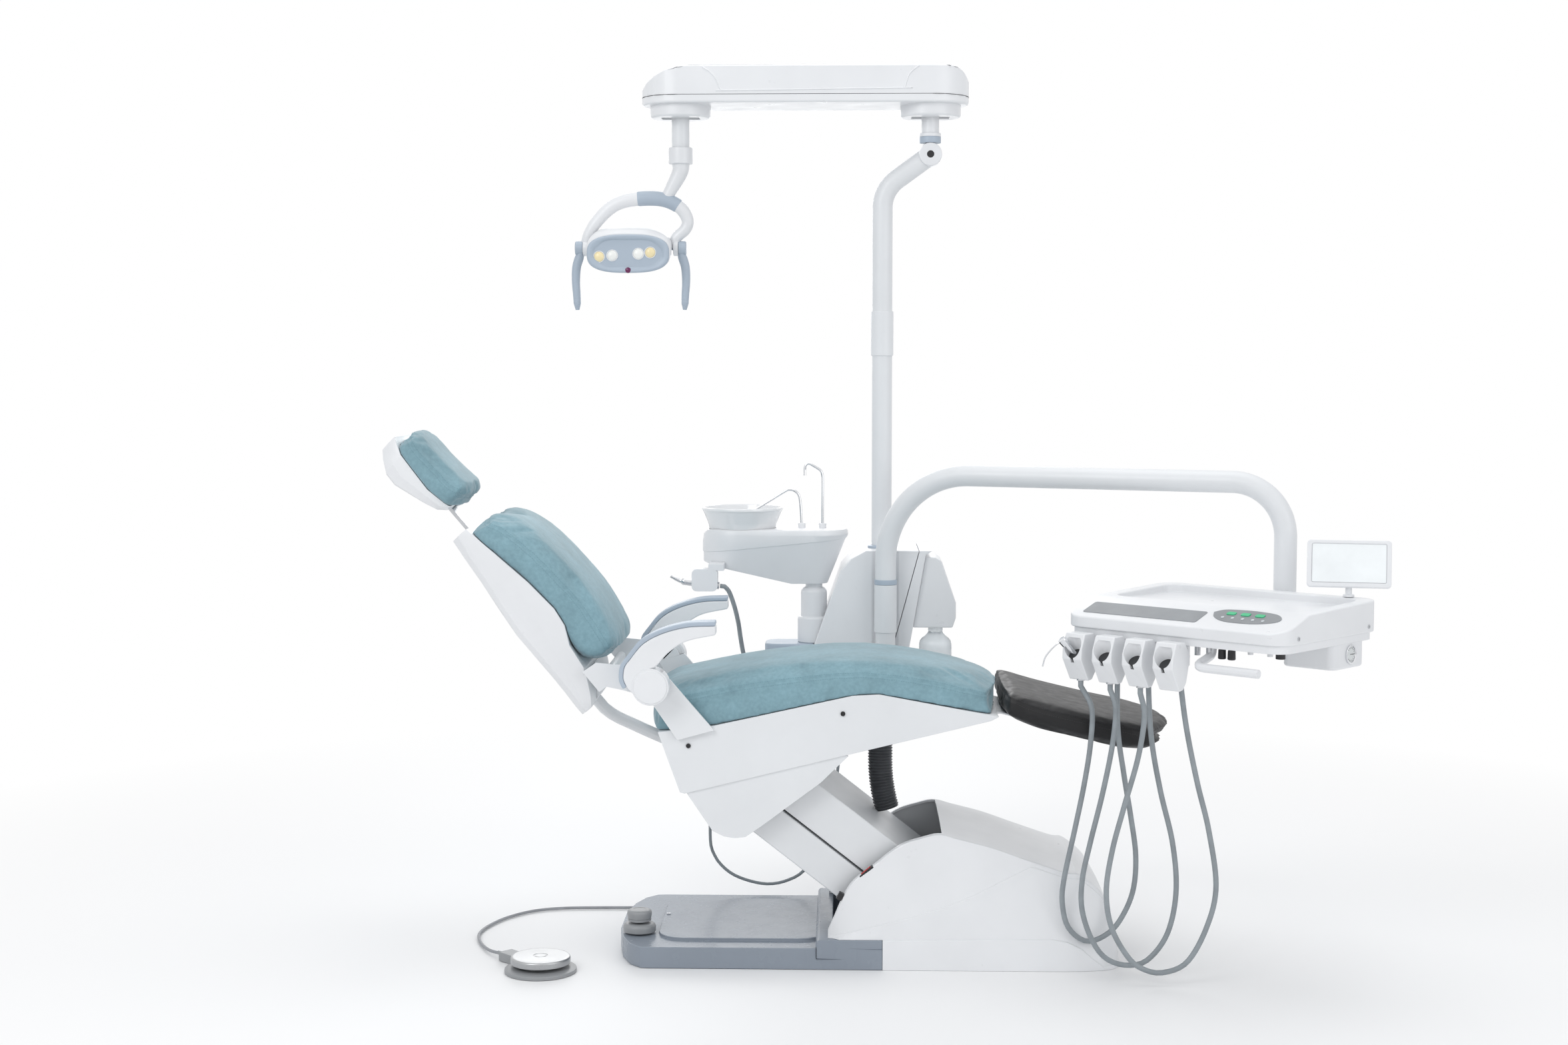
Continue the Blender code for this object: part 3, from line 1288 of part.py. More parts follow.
def make_backrest_frame():
    """Ear plates that turn on the back's axis, the bar between them and its two lugs."""
    pivot = seat_point(-BACK_PIVOT_X, 0, BACK_PIVOT_Z)
    outline = scaled(EAR_SHARES, pivot.x, pivot.z, EAR_LENGTH, EAR_HEIGHT)
    outer = EAR_INNER + EAR_SHEET
    frame = part("backrest_frame", side(outline, EAR_INNER, outer), WHITE, 0.4)
    place = pivot + Vector((-EAR_LENGTH * 0.742, 0, EAR_HEIGHT * 0.01))
    join(
        frame, across(place, EAR_INNER + CLEAR * 3, BAR_RADIUS),
        side(outline, -outer, -EAR_INNER),
    )
    for sign in (1, -1):
        near, far = sorted((sign * (EAR_INNER + CLEAR), sign * (outer - CLEAR)))
        join(frame, rod((pivot.x, near, pivot.z), (pivot.x, far, pivot.z), EAR_EYE_RADIUS))
    joint_low = Vector((SHELL_STATION_SHARES[0][0] * BACK_LENGTH, 0, SHELL_STATION_SHARES[0][2] * BACK_DEPTH))
    joint_high = Vector(
        (SHELL_STATION_SHARES[1][0] * BACK_LENGTH, 0, SHELL_STATION_SHARES[1][2] * BACK_DEPTH),
    )
    local = back_frame().inverted() @ place
    run = (joint_high - joint_low).normalized()
    out = Vector((-run.z, 0, run.x))
    low = joint_low + run * CLEAR * 10 + out * CLEAR
    high = joint_high + out * CLEAR
    lug = [
        (low.x, low.z), (high.x, high.z), (local.x, local.z + BAR_RADIUS * 0.6),
        (local.x - BAR_RADIUS * 0.6, local.z),
    ]
    for sign in (1, -1):
        near, far = sorted((sign * BACK_HALF_WIDTH * 0.3, sign * BACK_HALF_WIDTH * 0.45))
        join(frame, side(lug, near, far, back_frame()))
    for sign in (1, -1):
        cut(frame, bore(
            (pivot.x, sign * (EAR_INNER - OVERRUN), pivot.z), (pivot.x, sign * (outer + OVERRUN), pivot.z),
            PIN_RADIUS,
        ))
    return frame


ARCH_SHARES = ((-0.70, -0.70), (-0.54, -0.775), (-0.245, -0.91), (0.053, -1.04), (0.285, -1.127))


def make_back_arch():
    """Curved lever under the backrest that runs down into the seat pan."""
    pivot = seat_point(-BACK_PIVOT_X, 0, BACK_PIVOT_Z)
    end = SHELL_STATION_SHARES[0][0] * BACK_LENGTH - CLEAR
    level = SHELL_STATION_SHARES[0][1] * BACK_DEPTH + OVERRUN
    route = [back_frame() @ Vector((end - run, 0, level)) for run in (0, ARCH_RADIUS * 2)]
    route += [Vector((pivot.x + a * EAR_LENGTH, 0, pivot.z + b * EAR_LENGTH)) for a, b in ARCH_SHARES]
    return part("back_arch", tube(route[:1] + smooth(route[1:], 9), ARCH_RADIUS, 3), WHITE, 0.4)


# Headrest
HEAD_BACK_SHARES = (
    (-0.17, 0.155), (-0.065, 0.066), (0.20, 0.040), (0.64, 0.095), (0.79, 0.155), (0.86, 0.20),
)
HEAD_FRONT_SHARES = (
    (-0.165, 0.13, 0.225, 0.27, 0.93), (-0.12, 0.04, 0.29, 0.355, 0.985), (0.03, 0.01, 0.255, 0.335, 1.0),
    (0.22, 0.0, 0.245, 0.325, 1.0), (0.42, 0.02, 0.245, 0.325, 1.0), (0.62, 0.05, 0.265, 0.34, 1.0),
    (0.74, 0.10, 0.27, 0.335, 0.985), (0.81, 0.13, 0.26, 0.30, 0.93),
)
HEAD_SHELL_SHARES = (
    (-0.08, 0.0, 0.10, 0.85), (0.0, -0.075, 0.10, 0.93), (0.13, -0.118, 0.12, 0.98),
    (0.265, -0.153, 0.12, 1.0), (0.486, -0.209, 0.12, 1.0), (0.62, -0.194, 0.16, 1.0),
    (0.742, -0.121, 0.20, 0.96), (0.82, -0.06, 0.24, 0.88),
)


def head_line(lift):
    """Return the line where the headrest's cushion meets its shell."""
    return [(a * HEAD_LENGTH, b * HEAD_LENGTH + lift) for a, b in HEAD_BACK_SHARES]


def make_headrest():
    """Headrest: the flat bar that slides in the back, the tilting shell and its cushion."""
    back = back_frame()
    pivot = head_frame() @ Vector((0, 0, 0))
    wide = HEAD_BAR_HALF_WIDTH
    half = HEAD_BAR_THICKNESS / 2
    bar = part("headrest_bar", side(
        ((HEAD_BAR_FOOT, -HEAD_PIVOT_DEPTH - half), (HEAD_PIVOT_REACH, -HEAD_PIVOT_DEPTH - half),
         (HEAD_PIVOT_REACH, -HEAD_PIVOT_DEPTH + half), (HEAD_BAR_FOOT, -HEAD_PIVOT_DEPTH + half)),
        -wide, wide, back,
    ), STEEL, 0.3, 1.0)
    join(
        bar, across(pivot, wide - CLEAR, HEAD_KNUCKLE_RADIUS, sides=16),
        across(pivot, HEAD_PIN_HALF_LENGTH, HEAD_PIN_RADIUS, sides=12),
    )
    frame = head_frame()
    rings = []
    for along, rear, face, share in HEAD_SHELL_SHARES:
        x = along * HEAD_LENGTH
        low, high = rear * HEAD_LENGTH, face * HEAD_LENGTH
        span = HEAD_SHELL_HALF_WIDTH * share
        outline = [
            (0, low), (span * 0.6, low), (span * 0.88, low + (high - low) * 0.12),
            (span, low + (high - low) * 0.45), (span, high), (0, high),
        ]
        ring = [(x, y, z) for y, z in outline]
        rings.append(ring + [(x, -y, z) for y, z in reversed(outline[1:-1])])
    shell = part("headrest_shell", loft(rings, frame), WHITE, 0.35)
    line = head_line(0)
    span = HEAD_HALF_WIDTH * 2
    cut(shell, side(line + [(line[-1][0], HEAD_LENGTH), (line[0][0], HEAD_LENGTH)], -span, span, frame))
    room = HEAD_KNUCKLE_RADIUS + CLEAR * 3
    swing = math.radians(34)
    reach = HEAD_LENGTH * 0.4
    wedge = [(-reach * math.cos(swing), reach * math.sin(swing))]
    wedge += arc(0, 0, room / math.cos(math.radians(15)), 90, -90, 6)
    wedge += [(-reach * math.cos(swing), -reach * math.sin(swing))]
    cut(
        shell, side(wedge, -wide - CLEAR * 2, wide + CLEAR * 2, frame),
        bore(
            pivot - Vector((0, HEAD_PIN_HALF_LENGTH + CLEAR, 0)),
            pivot + Vector((0, HEAD_PIN_HALF_LENGTH + CLEAR, 0)), HEAD_PIN_RADIUS, 12,
        ),
    )
    rows = []
    for along, base, seam, crown, share in HEAD_FRONT_SHARES:
        levels = [level * HEAD_LENGTH for level in (base, seam, crown)]
        rows.append((along * HEAD_LENGTH, *levels, share))
    body = cushion(
        rows, HEAD_HALF_WIDTH, lambda across: SHEET * 6 * across ** 4,
        lambda across: -SHEET * 6 * across ** 4, frame,
    )
    pad = part("headrest_cushion", body, TEAL, 0.6)
    line = head_line(CLEAR * 2)
    cut(pad, side(line + [(line[-1][0], -HEAD_LENGTH), (line[0][0], -HEAD_LENGTH)], -span, span, frame))
    return bar, shell, pad


# Armrests
MOUNT_SHARES = ((0, 0.865), (0.497, 0), (1.0, 0.165), (0.396, 1.0))
ARM_TOP_SHARES = (
    (-0.60, -0.05), (-0.68, 0.16), (-0.65, 0.45), (-0.51, 0.66), (-0.22, 1.0), (0.21, 1.24),
    (0.78, 1.39), (1.40, 1.42),
)
ARM_UNDER_SHARES = ((1.41, 1.13), (0.78, 0.99), (0.39, 0.74), (0.13, 0.45), (-0.01, 0.39))


def make_armrest(suffix, sign):
    """One armrest: its fixed plate with the pivot pin, the swinging arm and the pad on it."""
    datum = seat_datum()
    pivot = seat_point(-BACK_PIVOT_X, 0, BACK_PIVOT_Z)

    def reach(near, far):
        return sorted((sign * near, sign * far))

    outline = scaled(MOUNT_SHARES, datum.x - MOUNT_LEFT, datum.z + MOUNT_BOTTOM, MOUNT_LENGTH, MOUNT_HEIGHT)
    mount = part(
        f"armrest_plate_{suffix}", side(outline, *reach(MOUNT_INNER, MOUNT_INNER + MOUNT_SHEET)), WHITE,
        0.4,
    )
    outer = MOUNT_INNER + MOUNT_SHEET
    join(
        mount,
        rod(
            (pivot.x, sign * (MOUNT_INNER + CLEAR), pivot.z), (pivot.x, sign * (outer - CLEAR), pivot.z),
            EAR_EYE_RADIUS * 0.8,
        ),
        rod(
            (pivot.x, sign * (MOUNT_INNER + SHEET), pivot.z), (pivot.x, sign * ARM_PIN_END, pivot.z),
            PIN_RADIUS, sides=16,
        ),
    )
    for across, up in ((0.583, 0.10), (0.86, 0.17)):
        x = datum.x - MOUNT_LEFT + across * MOUNT_LENGTH
        z = datum.z + MOUNT_BOTTOM + up * MOUNT_HEIGHT
        join(mount, rod(
            (x, sign * (PAN_HALF_WIDTH + CLEAR), z), (x, sign * (MOUNT_INNER + SHEET), z),
            MOUNT_BOSS_RADIUS, sides=12,
        ))
    near, far = reach(ARM_INNER, ARM_INNER + ARM_WIDTH)
    top = scaled(ARM_TOP_SHARES, pivot.x, pivot.z, ARM_SPAN, ARM_SPAN)
    top = [(p.x, p.y) for p in smooth([(x, z, 0) for x, z in top], 16)]
    under = scaled(ARM_UNDER_SHARES, pivot.x, pivot.z, ARM_SPAN, ARM_SPAN)
    body_top = offset_line(top, ARM_PAD + CLEAR)
    arm = part(f"armrest_{suffix}", side(
        body_top + under + [
            (pivot.x, pivot.z), (pivot.x - ARM_HUB_RADIUS * 0.6, pivot.z - ARM_HUB_RADIUS * 0.75),
        ],
        near, far,
    ), WHITE, 0.35)
    join(arm, rod(
        (pivot.x, sign * (ARM_INNER + CLEAR), pivot.z),
        (pivot.x, sign * (ARM_INNER + ARM_WIDTH + ARM_COVER), pivot.z),
        ARM_HUB_RADIUS, sides=32,
    ))
    cut(arm, bore(
        (pivot.x, sign * (ARM_INNER - OVERRUN), pivot.z), (pivot.x, sign * (ARM_PIN_END + CLEAR), pivot.z),
        PIN_RADIUS,
    ))
    pad = part(f"armrest_pad_{suffix}", side(
        top + list(reversed(offset_line(top, ARM_PAD))), near, far,
    ), BLUE_GREY, 0.5)
    carry(f"armrest_{suffix}_axis", (pivot.x, sign * ARM_INNER, pivot.z), arm, pad)
    return mount, arm, pad


# Side box and bottle
BOX_SHARES = (
    (0.051, 0), (0, 0.323), (0.24, 0.866), (0.325, 0.945), (0.449, 1.0), (1.0, 1.0),
    (0.945, 0.97), (0.805, 0.326), (0.788, 0),
)
BOTTLE_BOX_SHARES = (
    (0.250, 1.0), (0.52, 1.0), (0.66, 0.953), (1.0, 0.355), (1.0, 0.14), (0.923, 0), (-0.035, 0),
)


def box_edge(z):
    """Return the X just left of the side box's left edge at a height."""
    datum = seat_datum()
    low, high = scaled(BOX_SHARES[:2], datum.x - BOX_LEFT, datum.z + BOX_BOTTOM, BOX_LENGTH, BOX_HEIGHT)
    share = (z - low[1]) / (high[1] - low[1])
    return low[0] + (high[0] - low[0]) * share - CLEAR * 2


def make_side_box():
    """Side box with a channel for the tray's post and a hollow beside the cuspidor's column."""
    datum = seat_datum()
    outline = scaled(BOX_SHARES, datum.x - BOX_LEFT, datum.z + BOX_BOTTOM, BOX_LENGTH, BOX_HEIGHT)
    body = part("side_box", side(outline, BOX_NEAR, BOX_FAR), WHITE, 0.35)
    low, high = BOX_BOTTOM - OVERRUN, BOX_BOTTOM + BOX_HEIGHT + OVERRUN
    beam_top = BEAM_BOTTOM + BEAM_HEIGHT + OVERRUN
    cut(
        body, rod(seat_point(POST_X, POST_Y, beam_top), seat_point(POST_X, POST_Y, high), CHANNEL_RADIUS),
        rod(
            seat_point(-COLUMN_X, UNIT_Y, low), seat_point(-COLUMN_X, UNIT_Y, high),
            COLUMN_FOOT_RADIUS + SHEET, sides=32,
        ),
    )
    return body


def make_bottle():
    """Water bottle, screwed into the housing at the side box's end."""
    datum = seat_datum()
    outline = scaled(
        BOTTLE_BOX_SHARES, datum.x + BOTTLE_BOX_LEFT, datum.z + BOTTLE_BOX_BOTTOM, BOTTLE_BOX_LENGTH,
        BOTTLE_BOX_HEIGHT,
    )
    housing = part("bottle_housing", side(outline, BOTTLE_BOX_NEAR, BOTTLE_BOX_FAR), WHITE, 0.35)
    edge = scaled(BOX_SHARES, datum.x - BOX_LEFT + CLEAR, datum.z + BOX_BOTTOM, BOX_LENGTH, BOX_HEIGHT)
    right = [edge[5], edge[6], edge[7], edge[8]]
    cut(housing, side(
        [(right[0][0], right[0][1] + OVERRUN)] + right + [
            (right[3][0] - OVERRUN, right[3][1]), (right[3][0] - OVERRUN, right[0][1] + OVERRUN),
        ],
        BOTTLE_BOX_NEAR - OVERRUN, BOTTLE_BOX_FAR + OVERRUN,
    ))
    top = BOTTLE_BOX_BOTTOM + BOTTLE_SOCKET
    cut(housing, bore(
        seat_point(BOTTLE_X, UNIT_Y, BOTTLE_BOX_BOTTOM - OVERRUN),
        seat_point(BOTTLE_X, UNIT_Y, top + CLEAR), BOTTLE_NECK_RADIUS, 24,
    ))
    bottle = part("water_bottle", turned((
        (0, top), (BOTTLE_NECK_RADIUS, top), (BOTTLE_NECK_RADIUS, BOTTLE_SHOULDER + OVERRUN),
        (BOTTLE_RADIUS * 0.55, BOTTLE_SHOULDER + OVERRUN * 0.6), (BOTTLE_RADIUS * 0.9, BOTTLE_SHOULDER),
        (BOTTLE_RADIUS, BOTTLE_SHOULDER - OVERRUN * 0.6), (BOTTLE_RADIUS, BOTTLE_BOTTOM + SHEET),
        (BOTTLE_RADIUS - SHEET, BOTTLE_BOTTOM), (0, BOTTLE_BOTTOM),
    ), Matrix.Translation(seat_point(BOTTLE_X, UNIT_Y, 0))), CLEAR_BLUE, 0.15)
    carry("water_bottle_axis", seat_point(BOTTLE_X, UNIT_Y, top), bottle)
    return housing, bottle


# Cuspidor
HOUSING_SHARES = (
    (0.006, 0.831), (0.05, 0.949), (0.126, 0.978), (0.60, 0.99), (1.2, 1.0), (1.2, 0.0), (0.584, 0),
    (0.128, 0.316), (0, 0.397),
)


def housing_ring(z, axis_radius, end_radius, left, steps=8):
    """Return the housing's plan at one height: round about the column and at its free end."""
    centre = seat_point(-COLUMN_X, UNIT_Y, z)
    end = seat_point(-left + end_radius, UNIT_Y, z)
    slant = math.degrees(math.asin((end_radius - axis_radius) / (centre.x - end.x)))
    points = arc(centre.x, centre.y, axis_radius, -90 + slant, 90 - slant, steps)
    points += arc(end.x, end.y, end_radius, 90 - slant, 270 + slant, steps)
    return [(x, y, centre.z) for x, y in points]


def housing_body(grown):
    """Return the housing's body, grown sideways by a gap."""
    top = HOUSING_BOTTOM + HOUSING_HEIGHT
    levels = (
        (HOUSING_BOTTOM, HOUSING_LOW_RADIUS * 0.9, HOUSING_LOW_RADIUS, HOUSING_LEFT - SHEET * 4),
        (
            HOUSING_BOTTOM + HOUSING_HEIGHT * 0.3, HOUSING_LOW_RADIUS * 1.2, HOUSING_LOW_RADIUS * 1.45,
            HOUSING_LEFT,
        ),
        (
            HOUSING_BOTTOM + HOUSING_HEIGHT * 0.75, HOUSING_HIGH_RADIUS * 0.95, HOUSING_END_RADIUS,
            HOUSING_LEFT,
        ),
        (
            HOUSING_BOTTOM + HOUSING_HEIGHT * 0.92, HOUSING_HIGH_RADIUS, HOUSING_END_RADIUS,
            HOUSING_LEFT - SHEET,
        ),
        (top, HOUSING_HIGH_RADIUS - SHEET * 2, HOUSING_END_RADIUS - SHEET * 2, HOUSING_LEFT - SHEET * 3),
    )
    rings = [housing_ring(z, a + grown, b + grown, left + grown) for z, a, b, left in levels]
    return loft(rings)


def make_cuspidor():
    """Cuspidor: bracket, column, moulded housing, bowl and both spouts."""
    datum = seat_datum()
    low = BRACKET_TOP - CUSP_BRACKET_HEIGHT
    outline = rounded_box(
        -CUSP_BRACKET_LEFT, COLUMN_FOOT_RADIUS - COLUMN_X, UNIT_Y - CUSP_BRACKET_HALF_WIDTH,
        UNIT_Y + CUSP_BRACKET_HALF_WIDTH, CUSP_BRACKET_HALF_WIDTH * 0.6,
    )
    outline = [(datum.x + x, y) for x, y in outline]
    bracket = part("cuspidor_bracket", plan(outline, datum.z + low, datum.z + BRACKET_TOP), BLUE_GREY, 0.45)
    profile = scaled(BOX_SHARES, datum.x - BOX_LEFT - CLEAR, datum.z + BOX_BOTTOM, BOX_LENGTH, BOX_HEIGHT)
    wall = [profile[0], profile[1], profile[2]]
    cut(bracket, side(
        wall + [(wall[2][0] + BOX_LENGTH, wall[2][1]), (wall[2][0] + BOX_LENGTH, wall[0][1])],
        BOX_NEAR - OVERRUN, BOX_FAR,
    ))
    axis = Matrix.Translation(seat_point(-COLUMN_X, UNIT_Y, 0))
    foot = BRACKET_TOP + CLEAR
    column = part("cuspidor_column", turned((
        (0, HOUSING_BOTTOM + SHEET * 2), (COLUMN_NECK_RADIUS, HOUSING_BOTTOM + SHEET * 2),
        (COLUMN_NECK_RADIUS, COLUMN_TOP + SHEET), (COLUMN_RADIUS, COLUMN_TOP - SHEET),
        (COLUMN_RADIUS, COLUMN_FOOT_TOP), (COLUMN_FOOT_RADIUS, COLUMN_FOOT_TOP - SHEET),
        (COLUMN_FOOT_RADIUS, foot), (0, foot),
    ), axis), WHITE, 0.35)
    top = HOUSING_BOTTOM + HOUSING_HEIGHT
    housing = part("cuspidor_housing", housing_body(0), WHITE, 0.35)
    profile = scaled(
        HOUSING_SHARES, datum.x - HOUSING_LEFT - SHEET, datum.z + HOUSING_BOTTOM - CLEAR, HOUSING_LENGTH,
        HOUSING_HEIGHT + SHEET,
    )
    keep(housing, side(profile, UNIT_Y - HOUSING_END_RADIUS * 2, UNIT_Y + HOUSING_END_RADIUS * 2))
    for x in (FILLER_X, RINSER_X):
        join(housing, rod(
            seat_point(-x, UNIT_Y, SOCKET_BASE - SHEET),
            seat_point(-x, UNIT_Y, SOCKET_BASE + SOCKET_HEIGHT), SOCKET_RADIUS, sides=16,
        ))
    bowl_low = BOWL_SEAT - SHEET
    cut(
        housing,
        rod(
            seat_point(-BOWL_X, UNIT_Y, bowl_low - CLEAR), seat_point(-BOWL_X, UNIT_Y, top + OVERRUN),
            BOWL_FOOT_RADIUS + CLEAR * 4, sides=40,
        ),
        bore(
            seat_point(-BOWL_X, UNIT_Y, bowl_low - BOWL_SPIGOT_DROP - CLEAR),
            seat_point(-BOWL_X, UNIT_Y, top), BOWL_SPIGOT_RADIUS,
        ),
        bore(
            seat_point(-COLUMN_X, UNIT_Y, HOUSING_BOTTOM - OVERRUN),
            seat_point(-COLUMN_X, UNIT_Y, HOUSING_BOTTOM + SHEET * 2 + CLEAR), COLUMN_NECK_RADIUS, 32,
        ),
    )
    for x in (FILLER_X, RINSER_X):
        cut(housing, bore(
            seat_point(-x, UNIT_Y, SOCKET_BASE),
            seat_point(-x, UNIT_Y, SOCKET_BASE + SOCKET_HEIGHT + OVERRUN), SPOUT_RADIUS, 12,
        ))
    rim = BOWL_RIM_RADIUS
    wall = BOWL_WALL
    bowl = part("bowl", turned((
        (BOWL_SPIGOT_RADIUS * 0.6, BOWL_SEAT), (BOWL_FOOT_RADIUS * 0.5, BOWL_SEAT + SHEET / 2),
        (BOWL_FOOT_RADIUS * 0.8, BOWL_SEAT + SHEET * 2.5), (BOWL_FOOT_RADIUS, BOWL_SEAT + SHEET * 7),
        (rim - wall * 1.5, BOWL_RIM_TOP - wall), (rim - wall, BOWL_RIM_TOP), (rim, BOWL_RIM_TOP),
        (rim, BOWL_RIM_TOP - wall * 1.5), (BOWL_FOOT_RADIUS + wall, BOWL_SEAT + SHEET * 7),
        (BOWL_FOOT_RADIUS, BOWL_SEAT + SHEET * 3), (BOWL_FOOT_RADIUS * 0.93, bowl_low),
        (BOWL_SPIGOT_RADIUS, bowl_low), (BOWL_SPIGOT_RADIUS, bowl_low - BOWL_SPIGOT_DROP),
        (BOWL_SPIGOT_RADIUS * 0.6, bowl_low - BOWL_SPIGOT_DROP), (BOWL_SPIGOT_RADIUS * 0.6, BOWL_SEAT),
    ), Matrix.Translation(seat_point(-BOWL_X, UNIT_Y, 0)), 28), WHITE, 0.12)
    filler = make_spout("cup_filler", FILLER_X, FILLER_TOP, FILLER_REACH, 0.55)
    rinser = make_spout("bowl_rinser", RINSER_X, RINSER_TOP, RINSER_REACH, 0.42)
    empty = carry("cuspidor_axis", seat_point(-COLUMN_X, UNIT_Y, foot), column, housing)
    carry("bowl_axis", seat_point(-BOWL_X, UNIT_Y, BOWL_SEAT), bowl)
    return bracket, column, housing, bowl, filler, rinser, empty


def make_spout(name, x, top, reach, fall_share):
    """Bent spout that stands in its socket and turns about it."""
    foot = seat_point(-x, UNIT_Y, SOCKET_BASE + CLEAR)
    high = seat_point(-x, UNIT_Y, top)
    rise = top - SOCKET_BASE
    route = [
        foot, foot.lerp(high, 0.5), high - Vector((0, 0, rise * 0.22)),
        high + Vector((-reach * 0.12, 0, -rise * 0.05)), high + Vector((-reach * 0.45, 0, 0)),
        high + Vector((-reach * 0.80, 0, -rise * fall_share * 0.25)),
        high + Vector((-reach, 0, -rise * fall_share * 0.5)),
    ]
    spout = part(name, tube(smooth(route, 12), SPOUT_RADIUS, 2), STEEL, 0.2, 1.0)
    carry(f"{name}_axis", foot, spout)
    return spout


SUCTION_ROUTE = (
    (-0.325, 0.338, 0.766), (-0.313, 0.350, 0.730),
    (-0.305, 0.385, 0.685), (-0.300, 0.400, 0.644), (-0.292, 0.412, 0.600), (-0.274, 0.421, 0.562),
    (-0.240, 0.428, 0.540), (-0.200, 0.434, 0.530), (-0.165, 0.438, 0.528), (-0.138, 0.440, 0.528),
)
DRAIN_ROUTE = (
    (-0.200, 0.405, 0.585), (-0.203, 0.404, 0.568), (-0.225, 0.392, 0.538), (-0.270, 0.358, 0.502),
    (-0.318, 0.318, 0.458), (-0.350, 0.285, 0.395), (-0.364, 0.272, 0.310), (-0.368, 0.270, 0.178),
    (-0.358, 0.270, 0.136), (-0.338, 0.270, 0.108), (-0.308, 0.270, 0.086), (-0.265, 0.270, 0.071),
    (-0.225, 0.270, 0.066), (-0.185, 0.270, 0.074), (-0.145, 0.272, 0.096), (-0.105, 0.276, 0.150),
    (-0.078, 0.292, 0.230), (-0.062, 0.325, 0.330), (-0.055, 0.365, 0.415), (-0.053, 0.392, 0.462),
    (-0.053, 0.397, 0.490),
)


def make_suction():
    """Suction holder below the housing, its handpiece, and the two free hoses on this side."""
    centre = seat_point(-HOLDER_X, 0, HOLDER_Z)
    near = UNIT_Y - HOUSING_END_RADIUS - HOLDER_DEPTH
    far = UNIT_Y - HOUSING_END_RADIUS - CLEAR
    half = HOLDER_LENGTH / 2
    outline = rounded_box(
        centre.x - half, centre.x + half, centre.z - HOLDER_HEIGHT / 2, centre.z + HOLDER_HEIGHT / 2,
        SHEET * 3,
    )
    holder = part("suction_holder", side(outline, near, far), WHITE, 0.35)
    y = (near + far) / 2
    lean = Vector((HANDPIECE_LENGTH, 0, -HANDPIECE_LENGTH * 0.12))
    start = Vector((centre.x - HANDPIECE_LENGTH * 0.62, y, centre.z - SHEET))
    end = start + lean
    room = HANDPIECE_RADIUS + CLEAR
    cut(
        holder, bore(start - lean, end + lean, HANDPIECE_RADIUS),
        box((HOLDER_LENGTH * 2, room * 0.9, HOLDER_HEIGHT), (centre.x, y, centre.z + HOLDER_HEIGHT / 2)),
    )
    bracket_low = centre.z + HOLDER_HEIGHT / 2 - SHEET
    join(holder, box(
        (HOLDER_LENGTH * 0.6, far - near + OVERRUN * 2, SHEET * 4),
        (centre.x + HOLDER_LENGTH * 0.45, (near + far) / 2 + OVERRUN, bracket_low + SHEET * 2),
    ))
    cut(holder, housing_body(CLEAR))
    tip = start + Vector((-SHEET * 6, 0, SHEET * 3))
    handpiece = part("suction_handpiece", rod(start, end, HANDPIECE_RADIUS, sides=16), STEEL, 0.3, 1.0)
    join(handpiece, rod(start + lean * 0.05, tip, HANDPIECE_RADIUS * 0.6, HANDPIECE_RADIUS * 0.4, sides=12))
    datum = seat_datum()
    run = lean.normalized()
    first = end + run * CLEAR
    route = [first + run * SUCTION_RADIUS * 2] + [datum + Vector(p) for p in SUCTION_ROUTE]
    wall = Vector((box_edge(route[-1].z), route[-1].y, route[-1].z))
    suction = part(
        "suction_hose", tube([first] + smooth(route, 24) + [wall], SUCTION_RADIUS), BLUE_GREY, 0.5,
    )
    route = [datum + Vector(p) for p in DRAIN_ROUTE]
    first = Vector((route[0].x, route[0].y, datum.z + BRACKET_TOP - CUSP_BRACKET_HEIGHT - CLEAR))
    last = Vector((route[-1].x, route[-1].y, datum.z + BOX_BOTTOM - CLEAR))
    drain = part("drain_hose", tube([first] + smooth(route, 40) + [last], DRAIN_RADIUS), GREY, 0.5)
    return holder, handpiece, suction, drain


# Lamp
def make_lamp_pole():
    """Lamp pole on the side box, bent over to the round knuckle at its top."""
    box_top = BOX_BOTTOM + BOX_HEIGHT + CLEAR
    foot = seat_point(LAMP_POLE_X, LAMP_Y, box_top)
    bend = seat_point(LAMP_POLE_X, LAMP_Y, LAMP_BEND_START)
    knuckle = seat_point(KNUCKLE_X, LAMP_Y, KNUCKLE_Z)
    over = knuckle - bend
    route = [
        bend, bend + Vector((over.x * 0.02, 0, over.z * 0.25)),
        bend + Vector((over.x * 0.08, 0, over.z * 0.48)),
        bend + Vector((over.x * 0.28, 0, over.z * 0.70)), bend + Vector((over.x * 0.62, 0, over.z * 0.88)),
        knuckle,
    ]
    pole = part("lamp_pole", tube([foot] + smooth(route, 9), LAMP_TUBE_RADIUS, 3), WHITE, 0.35)
    join(
        pole,
        rod(
            seat_point(LAMP_POLE_X, LAMP_Y, LAMP_COLLAR_BOTTOM),
            seat_point(LAMP_POLE_X, LAMP_Y, LAMP_COLLAR_TOP), LAMP_COLLAR_RADIUS,
        ),
        across(knuckle, KNUCKLE_HALF_WIDTH, KNUCKLE_RADIUS),
        rod(knuckle, seat_point(KNUCKLE_X, LAMP_Y, SWIVEL_COLLAR_TOP - SHEET), SWIVEL_PIN_RADIUS, sides=16),
    )
    return pole


